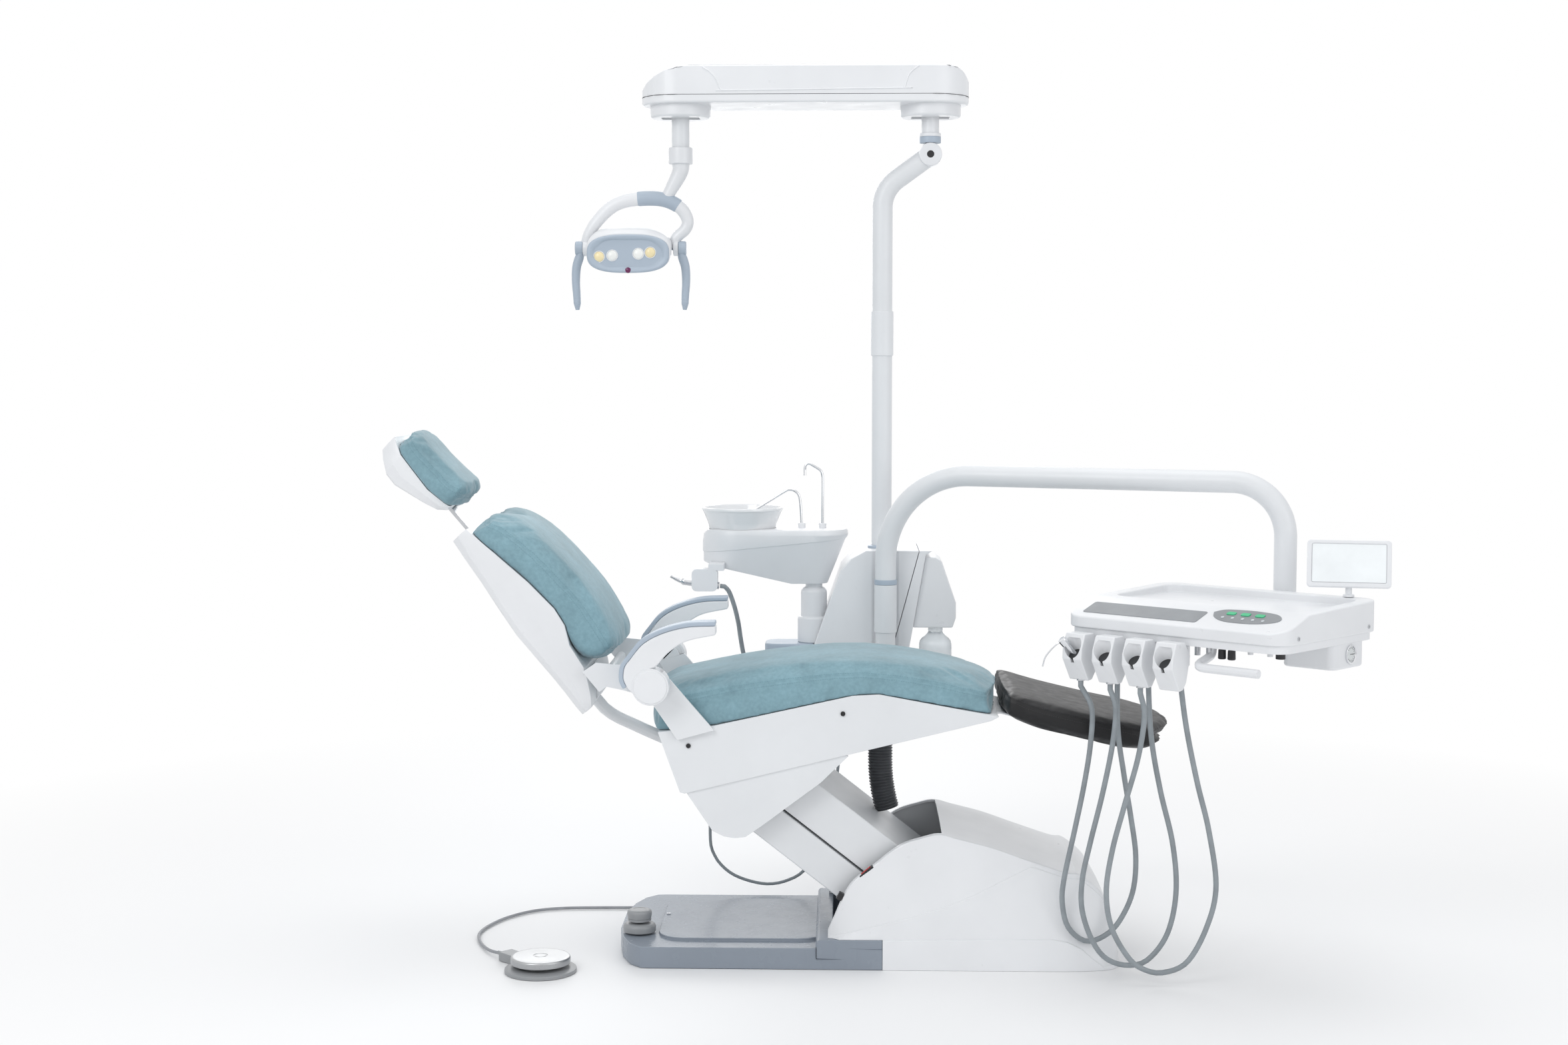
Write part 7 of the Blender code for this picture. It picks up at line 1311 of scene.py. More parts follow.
# Lift and seat
@dataclass
class Lift:
    """The two lifting links and the ribbed hose between the seat and the hump."""

    hose_x: float = 0.037
    hose_y: float = 0.07
    hose_radius: float = 0.0248
    rib: float = 0.0036
    top: float = 0.5185
    bottom: float = 0.295

    def build(self) -> None:
        """Make the links and the hose."""
        softened("upper_link", PAINT, 0.004)
        softened("lower_link", PAINT, 0.004)
        softened("link_bracket", PAINT, 0.0006, 2)
        line = []
        for k in range(25):
            fallen = k / 24
            shift = 0.016 * max(fallen * 2 - 1, 0) ** 2
            line.append((self.hose_x + shift, self.hose_y, self.top - (self.top - self.bottom) * fallen))
        hose = rib_tree().run(line_mesh(line), {
            "Radius": self.hose_radius, "Rib Height": self.rib, "Rib Count": 33.0,
            "Finish": CONDUIT.material(),
        })
        set_piece("conduit_ribs", hose, "seat", CONDUIT, ("conduit_hose",), SMOOTH)


@dataclass
class Seat:
    """The seat pan and its fittings."""

    screws: Fasteners
    half_width: float = 0.205
    bolts: tuple = ((-0.386, 0.4858), (-0.049, 0.5578))

    def build(self) -> None:
        """Make the pan and its bolts."""
        softened("seat_frame", PAINT, 0.0009, 2)
        out = self.half_width + 0.0012
        spots = [((x, way * out, z), (0, way, 0)) for way in (-1.0, 1.0) for x, z in self.bolts]
        self.screws.set("pan_bolts", "seat", "seat_frame", spots, 0.0052, BLACK)
        for side in ("near", "far"):
            softened(f"armrest_plate_{side}", PAINT, 0.0008, 2)


@dataclass
class Backrest:
    """The back's shell, frame and arch, and the headrest's bar and shell."""

    def build(self) -> None:
        """Dress the back and the headrest."""
        softened("backrest_shell", WHITE, 0.0016, 3)
        softened("headrest_shell", WHITE, 0.0015, 3)
        softened("back_arch", PAINT, 0.002)
        dress("backrest_frame", PAINT)
        dress("headrest_bar", BRUSHED)


@dataclass
class Armrests:
    """Both swinging armrests with their pads, hub covers and screws."""

    screws: Fasteners
    inner: float = 0.2255
    width: float = 0.0445
    span: float = 0.1
    hub: float = 0.04
    cover: float = 0.005
    pad: float = 0.0095
    pin_end: float = 0.245
    top: tuple = (
        (-0.6, -0.05), (-0.68, 0.16), (-0.65, 0.45), (-0.51, 0.66), (-0.22, 1.0), (0.21, 1.24), (0.78, 1.39),
        (1.4, 1.42),
    )
    under: tuple = ((1.41, 1.13), (0.78, 0.99), (0.39, 0.74), (0.13, 0.45), (-0.01, 0.39))

    def build(self) -> None:
        """Make both armrests."""
        for side, way in (("near", -1.0), ("far", 1.0)):
            self.one(side, way)

    def one(self, side: str, way: float) -> None:
        """Make one armrest on its own body."""
        body = f"armrest_{side}"
        x, z = BACK_AXIS.x, BACK_AXIS.z
        top = smooth_pairs(scaled(self.top, x, z, self.span, self.span), 44)
        under = smooth_pairs(scaled(self.under, x, z, self.span, self.span), 16)
        outer = self.inner + self.width
        near, far = sorted((way * self.inner, way * outer))
        outline = offset_line(top, self.pad + 0.0003) + under
        outline += [(x, z), (x - self.hub * 0.6, z - self.hub * 0.75)]
        Shape().side(outline, near, far).bevel(0.0035, 3, 50).stand_for(body, f"{body}_arm", WHITE, CRISP)
        pad = Shape().side(top + offset_line(top, self.pad)[::-1], near, far).bevel(0.0032, 4, 50)
        pad.stand_for(f"armrest_pad_{side}", f"{body}_pad", SOFT_BLUE, CRISP)
        face = at(x, 0, z) @ turned(-90 * way, "X")
        foot, pin, hub, end = self.inner + 0.0004, self.pin_end + 0.0004, self.hub, outer + self.cover
        Shape().lathe((
            (0.0083, foot), (hub - 0.001, foot), (hub, self.inner + 0.0015), (hub, outer + 0.0005),
            (hub - 0.001, outer + 0.0016), (hub - 0.003, outer + 0.0018), (hub - 0.0035, outer + 0.0026),
            (hub - 0.005, end - 0.0006), (hub - 0.009, end), (0.0001, end), (0.0001, pin), (0.0083, pin),
            (0.0083, foot),
        ), face, 72).put(f"{body}_hub", body, WHITE, body)
        spots = [((x + 0.0255, way * (outer + 0.0014), z + 0.036), (0, way, 0))]
        self.screws.set(f"{body}_screw", body, body, spots, 0.0036)


# Side box and cuspidor
@dataclass
class SideUnit:
    """The side box with its end cover, the water bottle and the bottle's housing."""

    screws: Fasteners
    bottle_x: float = 0.178
    axis_y: float = 0.44
    bottle: tuple = (
        (0.0001, 0.6955), (0.0135, 0.6955), (0.0148, 0.6945), (0.0148, 0.674), (0.0172, 0.673), (0.018, 0.67),
        (0.018, 0.662), (0.0172, 0.66), (0.019, 0.656), (0.025, 0.649), (0.033, 0.643), (0.0378, 0.637),
        (0.0398, 0.629), (0.04, 0.62), (0.04, 0.565), (0.0392, 0.563), (0.0392, 0.56), (0.04, 0.558),
        (0.04, 0.533), (0.0392, 0.531), (0.0392, 0.528), (0.04, 0.526), (0.04, 0.464), (0.039, 0.459),
        (0.036, 0.4556), (0.03, 0.4552), (0.026, 0.457), (0.0001, 0.46),
    )

    def build(self) -> None:
        """Make the side box and its bottle."""
        seam, way = Vector((0.118, 0.0, 0.8)), Vector((1.0, 0.0, -0.27)).normalized()
        gap = way * 0.0006
        main = cad_shape("side_box").dissolve().trim(seam - gap, way).dissolve().bevel(0.0028, 3)
        main.stand_for("side_box", "side_box_body", WHITE)
        cover = cad_shape("side_box").dissolve().trim(seam + gap, -way).dissolve().bevel(0.0022, 3)
        cover.put("side_box_cover", "seat", WHITE, "side_box")
        softened("bottle_housing", WHITE, 0.0035)
        bottle = Shape().lathe(self.bottle, at(self.bottle_x, self.axis_y), 72)
        bottle.stand_for("water_bottle", "bottle_shape", BOTTLE)
        spots = [((x, 0.3592, 0.53), (0, -1, 0)) for x in (-0.045, 0.075)]
        self.screws.set("side_box_screws", "seat", "side_box", spots, 0.0036)


@dataclass
class Cuspidor:
    """The cuspidor: bracket, column, housing, glazed bowl, both spouts and the suction holder."""

    column_x: float = -0.121
    axis_y: float = 0.44
    bottom: float = 0.779
    height: float = 0.136
    left: float = 0.395
    low_radius: float = 0.05
    high_radius: float = 0.084
    end_radius: float = 0.088
    bowl_x: float = -0.297
    spouts: tuple = (
        ("cup_filler", -0.1, (
            (-0.1, 0.985), (-0.1, 1.03), (-0.101, 1.046), (-0.1065, 1.0565), (-0.1252, 1.0685),
            (-0.1345, 1.0725), (-0.1415, 1.0685), (-0.1438, 1.059), (-0.1438, 1.043),
        )),
        ("bowl_rinser", -0.151, (
            (-0.1525, 0.95), (-0.156, 0.986), (-0.161, 0.9985), (-0.17, 1.006), (-0.18, 1.008),
            (-0.19, 1.0055), (-0.227, 0.983), (-0.2644, 0.96),
        )),
    )
    def ring(self, z: float, near: float, end: float, left: float) -> list[Point]:
        """Return the housing's plan at one height."""
        cx, ex = self.column_x, -left + end
        slant = math.degrees(math.asin((end - near) / (cx - ex)))
        points = arc(cx, self.axis_y, near, -90 + slant, 90 - slant, 20)
        points += arc(ex, self.axis_y, end, 90 - slant, 270 + slant, 20)
        return [(x, y, z) for x, y in points]

    def turn(self, profile: Sequence[Point], x: float, steps: int = 72) -> Shape:
        """Return a body turned about an upright line at one X."""
        return Shape().lathe(profile, at(x, self.axis_y), steps)

    def housing(self) -> Shape:
        """Return the moulded housing with the hollow under its bowl."""
        low, high, wide = self.low_radius, self.high_radius, self.end_radius
        levels = (
            (0.0, 0.0355, low, self.left - 0.016), (0.3, 0.052, low * 1.45, self.left),
            (0.75, 0.0765, wide, self.left), (0.89, high, wide, self.left - 0.003),
            (0.955, high - 0.0012, wide - 0.0012, self.left - 0.005),
            (0.985, high - 0.004, wide - 0.004, self.left - 0.008),
            (1.0, high - 0.009, wide - 0.009, self.left - 0.013),
        )
        ledge, end = Vector((-0.381, 0.0, 0.8586)), Vector((-0.068, 0.0, 0.8887))
        run = (end - ledge).normalized()
        down = Vector((run.z, 0, -run.x))
        corners = (((0.584, 0.0), (0.128, 0.316), (0.0, 0.397)),
                   ((0.006, 0.831), (0.05, 0.949), (0.126, 0.978)))
        parts = []
        for inset, place, way in ((0.0, ledge, down), (0.0022, ledge - down * 0.001, -down)):
            part = Shape().loft([
                self.ring(self.bottom + rise * self.height, near - inset, end - inset, left - inset)
                for rise, near, end, left in levels])
            for shares in corners:
                line = scaled(shares, -self.left - 0.004, self.bottom - 0.0003, 0.358, 0.14)
                for (x0, z0), (x1, z1) in zip(line, line[1:]):
                    cut = Vector((x1 - x0, 0, z1 - z0)).normalized()
                    part.trim((x0, 0, z0), (-cut.z, 0, cut.x))
            part.trim(place, way).dissolve(0.5).bevel(0.0016, 3, 28, lambda p: p.z < self.bottom + 0.122)
            parts.append(part)
        pocket = self.turn((
            (0.0001, 0.93), (0.0829, 0.93), (0.0829, 0.8976), (0.0124, 0.8976), (0.0124, 0.8795),
            (0.0001, 0.8795),
        ), self.bowl_x)
        upper, lower = parts[0].boolean(pocket).dissolve(0.3), parts[1].mesh("lower")
        upper.bm.from_mesh(lower)
        return upper

    def build(self) -> None:
        """Make the cuspidor's pieces."""
        softened("cuspidor_bracket", SOFT_BLUE, 0.005)
        self.turn((
            (0.0001, 0.6334), (0.0385, 0.6334), (0.04, 0.635), (0.04, 0.6905), (0.0394, 0.694),
            (0.037, 0.6965), (0.033, 0.6972), (0.0321, 0.6985), (0.032, 0.756), (0.0312, 0.76),
            (0.028, 0.765), (0.023, 0.7685), (0.0205, 0.77), (0.0205, 0.7868), (0.0001, 0.7868),
        ), self.column_x).stand_for("cuspidor_column", "cuspidor_column_shape", WHITE)
        self.housing().stand_for("cuspidor_housing", "cuspidor_shell", WHITE, CRISP)
        self.turn((
            (0.0072, 0.902), (0.02, 0.9024), (0.0408, 0.9042), (0.056, 0.9068), (0.0652, 0.912),
            (0.074, 0.92), (0.0815, 0.93), (0.089, 0.947), (0.094, 0.962), (0.0952, 0.965), (0.0975, 0.966),
            (0.0994, 0.965), (0.1, 0.9625), (0.0998, 0.9596), (0.0975, 0.958), (0.0955, 0.954),
            (0.0905, 0.942), (0.0855, 0.93), (0.0835, 0.924), (0.0815, 0.914), (0.0785, 0.902),
            (0.0758, 0.8982), (0.012, 0.898), (0.012, 0.8802), (0.0072, 0.8802), (0.0072, 0.902),
        ), self.bowl_x, 96).stand_for("bowl", "bowl_shape", CHINA)
        self.turn((
            (0.0001, 0.9022), (0.006, 0.9022), (0.0066, 0.9032), (0.011, 0.9042), (0.012, 0.9036),
            (0.0122, 0.9024), (0.0072, 0.899), (0.0001, 0.899),
        ), self.bowl_x, 40).put("bowl_strainer", "bowl", CHROME, "cup_filler")
        for name, x, route in self.spouts:
            line = smooth([(across, self.axis_y, up) for across, up in ((x, 0.9138), *route)], 60)
            tip = (line[-1] - line[-2]).normalized()
            spout = Shape().tube(line, 0.0034, 20).tube([line[-1] - tip * 0.004, line[-1]], 0.0038, 20)
            spout.stand_for(name, f"{name}_tube", CHROME, 60.0)
            self.turn((
                (0.0043, 0.912), (0.0092, 0.912), (0.0098, 0.914), (0.0094, 0.924), (0.0088, 0.9258),
                (0.0075, 0.9264), (0.0043, 0.9264), (0.0043, 0.912),
            ), x, 40).put(f"{name}_socket", "cuspidor", WHITE, "cuspidor_housing")
        softened("suction_holder", WHITE, 0.0007, 2)
        start = Vector((-0.4419, 0.33185, 0.7925))
        run = Vector((0.095, 0, -0.0114))
        tip = start + Vector((-0.024, 0, 0.012))
        line = [tip, tip.lerp(start, 0.5), start, start + run * 0.06, start + run * 0.3, start + run * 0.98]
        grip = Shape().tube(smooth(line, 30), [0.004] * 3 + [0.0048] * 5 + [0.0085] * 4 + [0.0088] * 19, 32)
        grip.stand_for("suction_handpiece", "suction_grip", BRUSHED, ROUND)


# Lamp
@dataclass
class Lamp:
    """The operating lamp: pole, knuckle, arm, yoke and head."""

    screws: Fasteners
    x: float = 0.045
    y: float = 0.45
    knuckle: Point = (0.16, 1.822)
    tube: float = 0.0245
    arm_span: float = 0.607
    head: Point = (-0.57, 0.45, 1.598)
    half_length: float = 0.1025
    half_height: float = 0.0475
    front: float = 0.38
    depth: float = 0.135
    rise: float = 0.121
    eye_gap: float = 0.002
    eye_thick: float = 0.0119
    nose: tuple = (
        (-0.544, 1.93), (-0.5405, 1.972), (-0.522, 1.994), (-0.48, 2.0165), (-0.425, 2.0285), (-0.35, 2.0306),
        (0.15, 2.0306), (0.205, 2.029), (0.235, 2.018), (0.252, 1.993), (0.259, 1.966), (0.262, 1.93),
    )
    edge: tuple = (
        (-0.388, 2.0233), (-0.37, 2.012), (-0.356, 1.996), (-0.347, 1.975), (-0.344, 1.9695),
        (-0.3385, 1.968), (-0.32, 1.9681), (0.08, 1.9725), (0.0935, 1.973), (0.096, 1.9765), (0.0987, 1.987),
        (0.108, 2.0081), (0.129, 2.0252),
    )
    arch: tuple = (
        (1.05, 0.0), (1.04, 0.2), (0.86, 0.48), (0.5, 0.8), (0.12, 0.95), (-0.42, 1.0), (-0.85, 0.96),
        (-1.2, 0.8), (-1.36, 0.56), (-1.3, 0.38), (-1.12, 0.24), (-1.05, 0.14), (-1.05, 0.0),
    )

    def build(self) -> None:
        """Make the lamp."""
        self.pole()
        for name, way in (("stub", -UP), ("collar", UP)):
            part = cad_shape("lamp_swivel").dissolve().trim((0, 0, 1.8655), way).dissolve().bevel(0.0011, 2)
            if name == "stub":
                part.stand_for("lamp_swivel", "lamp_swivel_stub", WHITE)
            else:
                part.put("lamp_swivel_collar", BODY["lamp_swivel"], SOFT_BLUE, "lamp_swivel")
        self.arm()
        softened("lamp_drop_tube", PAINT, 0.001, 2)
        self.yoke()
        self.head_shell()
        self.face()
        self.handles()

    def pole(self) -> None:
        """Make the bent pole, its collar and the knuckle."""
        kx, kz = self.knuckle
        route = [Vector((self.x, self.y, 0.8654)), Vector((self.x, self.y, 1.2))]
        route += fillet([(self.x, self.y, 1.4), (self.x, self.y, 1.739), (kx, self.y, kz)], (0.085,), 20)
        foot = at(self.x, self.y)
        pole = Shape().tube(route, self.tube, 48).lathe((
            (self.tube, 1.336), (0.0268, 1.3362), (0.0275, 1.338), (0.0275, 1.442), (0.0268, 1.4438),
            (self.tube, 1.444), (self.tube, 1.336),
        ), foot)
        pole.stand_for("lamp_pole", "lamp_pole_tube", PAINT, 40.0)
        Shape().lathe((
            (0.0252, 0.8653), (0.034, 0.8653), (0.0345, 0.8675), (0.0335, 0.8705), (0.0262, 0.872),
            (0.0252, 0.8712), (0.0252, 0.8653),
        ), foot).put("lamp_pole_ring", "seat", SOFT_BLUE, "lamp_swivel")
        face = at(kx, self.y, kz) @ FRONT
        Shape().lathe((
            (0.0088, -0.03), (0.0245, -0.03), (0.0272, -0.0285), (0.028, -0.0255), (0.028, 0.0255),
            (0.0272, 0.0285), (0.0245, 0.03), (0.0088, 0.03), (0.0088, 0.024), (0.0088, -0.03),
        ), face, 64).put("lamp_knuckle", "seat", WHITE, "lamp_pole", CRISP)
        Shape().lathe((
            (0.0001, 0.0286), (0.008, 0.0286), (0.0086, 0.027), (0.0086, 0.0), (0.0001, 0.0),
        ), face, 32).put("lamp_knuckle_plug", "seat", BLACK, "lamp_pole")

    def arm(self) -> None:
        """Make the arm with its sloping nose, the line on its side and a dark band of painted shade in the
        gap between its halves.
        """
        outline = smooth_pairs(self.nose, 90) + [(0.262, 1.7), (-0.544, 1.7)]
        arm = cad_shape("lamp_arm").dissolve()
        arm.boolean(Shape().side(outline, self.y - 0.2, self.y + 0.2), "INTERSECT").dissolve(0.4)
        arm.bevel(0.0028, 3, 40, lambda p: p.z > 1.962).bevel(0.0012, 2, 40, lambda p: p.z < 1.95)
        arm.stand_for("lamp_arm", "lamp_arm_cover", WHITE, CRISP)
        edge = Shape().tube(smooth([(x, self.y - 0.0928, z) for x, z in self.edge], 150), 0.0021, 12)
        edge.put("lamp_arm_edge", "lamp_arm", WHITE, "lamp_arm")
        right, left = self.knuckle[0], self.knuckle[0] - self.arm_span
        # A thin dark band in the gap between the arm's halves: painted shade, not a part of the arm.
        ring, inner = [arc(right, self.y, radius, -90, 90, 24) + arc(left, self.y, radius, 90, 270, 24)
                       for radius in (0.0932, 0.0915)]
        levels = ((ring, 1.9585), (ring, 1.9596), (inner, 1.9596), (inner, 1.9585))
        Shape().skin([[(x, y, z) for x, y in line] for line, z in levels], False, True).put(
            "lamp_arm_gap_shade", "lamp_arm", PAINTED_GAP_SHADE, "lamp_arm")
        spots = [((x, self.y, 2.0302), (0, 0, 1)) for x in (right, left)]
        self.screws.set("lamp_arm_screws", "lamp_arm", "lamp_arm", spots, 0.006)

    def yoke(self) -> None:
        """Make the collar, the elbow, the arch with its grip and both eyes."""
        x = self.knuckle[0] - self.arm_span
        centre = Vector(self.head)
        arch = smooth([centre + Vector((-a * self.half_length, 0, b * self.rise)) for a, b in self.arch], 90)
        peak = centre + Vector((self.half_length * 0.83, 0, self.rise * 0.97))
        elbow = smooth([(x, self.y, 1.803), (x, self.y, 1.789), (x - 0.008, self.y, 1.769), peak], 16)
        thick = [0.0118 + 0.005 * math.sin(math.pi * k / 90) ** 0.7 for k in range(91)]
        yoke = Shape().tube(arch, thick, 28).tube(elbow, [0.0215 - 0.0005 * k for k in range(17)], 32)
        for way in (1.0, -1.0):
            inner = centre + Vector((way * (self.half_length + self.eye_gap), 0, 0))
            steps = (0, 0.001, self.eye_thick - 0.001, self.eye_thick)
            eye = [inner + Vector((way * step, 0, 0)) for step in steps]
            yoke.tube(eye, [0.0175, 0.019, 0.019, 0.018], 40)
        yoke.lathe((
            (0.0221, 1.841), (0.0278, 1.841), (0.029, 1.84), (0.0295, 1.8375), (0.0295, 1.805),
            (0.0288, 1.8022), (0.0265, 1.801), (0.0001, 1.801), (0.0001, 1.8147), (0.0221, 1.8147),
            (0.0221, 1.841),
        ), at(x, self.y), 64)
        yoke.stand_for("lamp_yoke", "lamp_yoke_arch", WHITE, 45.0)
        held = [k for k, p in enumerate(arch) if -0.556 < p.x < -0.449 and p.z > centre.z + self.rise * 0.5]
        radii = [thick[k] + (0.0011 if min(k - held[0], held[-1] - k) > 0 else -0.0004) for k in held]
        pad = Shape().tube([arch[k] for k in held], radii, 28)
        pad.put("lamp_yoke_grip", "lamp_yoke", SOFT_BLUE, "lamp_bezel", 60.0)

    def oval(self, lift: float, wide: float, high: float, y: float, wave: float, count: int = 72) -> list:
        """Return a rounded oval about the head's middle at one Y."""
        ring = []
        for i in range(count):
            a = math.tau * i / count
            swell = 1 + wave * math.cos(a * 6)
            x = math.copysign(abs(math.cos(a)) ** 0.72, math.cos(a))
            z = math.copysign(abs(math.sin(a)) ** 0.72, math.sin(a))
            ring.append((self.head[0] + self.half_length * wide * x * swell, y,
                         self.head[2] + lift + self.half_height * high * z * swell))
        return ring

    def head_shell(self) -> None:
        """Make the rounded head."""
        rows = ((0.0, 0.95, 0.95), (0.03, 0.985, 0.99), (0.12, 1.0, 1.06), (0.4, 0.985, 1.2),
                (0.68, 0.86, 1.12), (0.88, 0.6, 0.8), (0.97, 0.4, 0.5), (1.0, 0.22, 0.26))
        drop = self.half_height * 0.35
        Shape().loft([
            self.oval(-drop * (1 - along) + 0.008 * min(along / 0.12, 1.0), wide, high,
                      self.front + along * self.depth, 0.0)
            for along, wide, high in read_rows(rows, 26)
        ]).stand_for("lamp_head", "lamp_head_shell", WHITE, 45.0)

    def face(self) -> None:
        """Make the bezel, its wavy recess, the lenses and the sensor."""
        Shape().loft([
            self.oval(-self.half_height * 0.35, wide, high, self.front - ahead, wave)
            for wide, high, ahead, wave in (
                (0.97, 0.97, 0.0003, 0), (0.975, 0.975, 0.004, 0), (0.96, 0.955, 0.008, 0),
                (0.93, 0.92, 0.0098, 0), (0.89, 0.86, 0.0098, 0), (0.84, 0.78, 0.0086, 0.01),
                (0.8, 0.72, 0.006, 0.03), (0.77, 0.68, 0.0042, 0.03),
            )
        ]).stand_for("lamp_bezel", "lamp_bezel_ring", SOFT_BLUE, ROUND)
        for number, (x, z, finish) in enumerate((
            (-0.64, 1.574, LENS_WARM), (-0.608, 1.577, LENS_COOL), (-0.545, 1.581, LENS_COOL),
            (-0.516, 1.584, LENS_WARM),
        )):
            place = at(x, self.front - 0.003, z) @ FRONT
            lens = Shape().lathe(((0.0001, 0.0), (0.0118, 0.0), (0.0122, 0.001), (0.0112, 0.0028),
                                  (0.0085, 0.0046), (0.0045, 0.0056), (0.0001, 0.0059)), place, 40)
            lens.put(f"lamp_lens_{number + 1}", "lamp_head", finish, "lamp_bezel")
            rim = Shape().lathe(((0.0122, 0.0), (0.0142, 0.0), (0.0144, 0.0022), (0.0135, 0.003),
                                 (0.0124, 0.0022), (0.0122, 0.0)), place, 40)
            rim.put(f"lamp_lens_rim_{number + 1}", "lamp_head", WHITE, "lamp_bezel")
        place = at(-0.5696, self.front - 0.007, 1.5415) @ FRONT
        eye = ((0.0001, 0.0), (0.007, 0.0), (0.007, 0.002), (0.0055, 0.004), (0.0001, 0.005))
        Shape().lathe(eye, place, 32).put("lamp_sensor", "lamp_head", SENSOR, "lamp_bezel")

    def handles(self) -> None:
        """Make the shaft through the head and the two hanging grips."""
        centre = Vector(self.head)
        outside = self.half_length + self.eye_gap + self.eye_thick + 0.0003
        reach = Vector((outside + 0.0066, 0, 0))
        grips = Shape().rod(centre - reach, centre + reach, 0.005, sides=24)
        last = 30
        for way in (1.0, -1.0):
            hub = [centre + Vector((way * (outside + d), 0, 0)) for d in (0.0003, 0.0015, 0.017, 0.019)]
            grips.tube(hub, [0.016, 0.0172, 0.0172, 0.0155], 36)
            points = smooth([centre + Vector((way * (outside + out), 0, z)) for out, z in (
                (0.0055, 0.004), (0.0075, -0.015), (0.0165, -0.045), (0.0185, -0.08), (0.0165, -0.115),
                (0.015, -0.15),
            )], last)
            rings = []
            for index, point in enumerate(points):
                run = (points[min(index + 1, last)] - points[max(index - 1, 0)]).normalized()
                out = Vector((run.z, 0, -run.x))
                size = 0.55 + 0.45 * min(min(index, last - index) / 3, 1.0)
                fallen = index / last
                thick = (0.0055 + 0.0065 * min(fallen / 0.18, 1.0) - 0.0035 * fallen) * size
                rings.append([point + out * (thick * math.cos(a)) + Vector((0, 0.011 * size * math.sin(a), 0))
                              for a in [math.tau * k / 24 for k in range(24)]])
            grips.loft(rings)
        grips.stand_for("lamp_handles", "lamp_grips", SOFT_BLUE, ROUND)


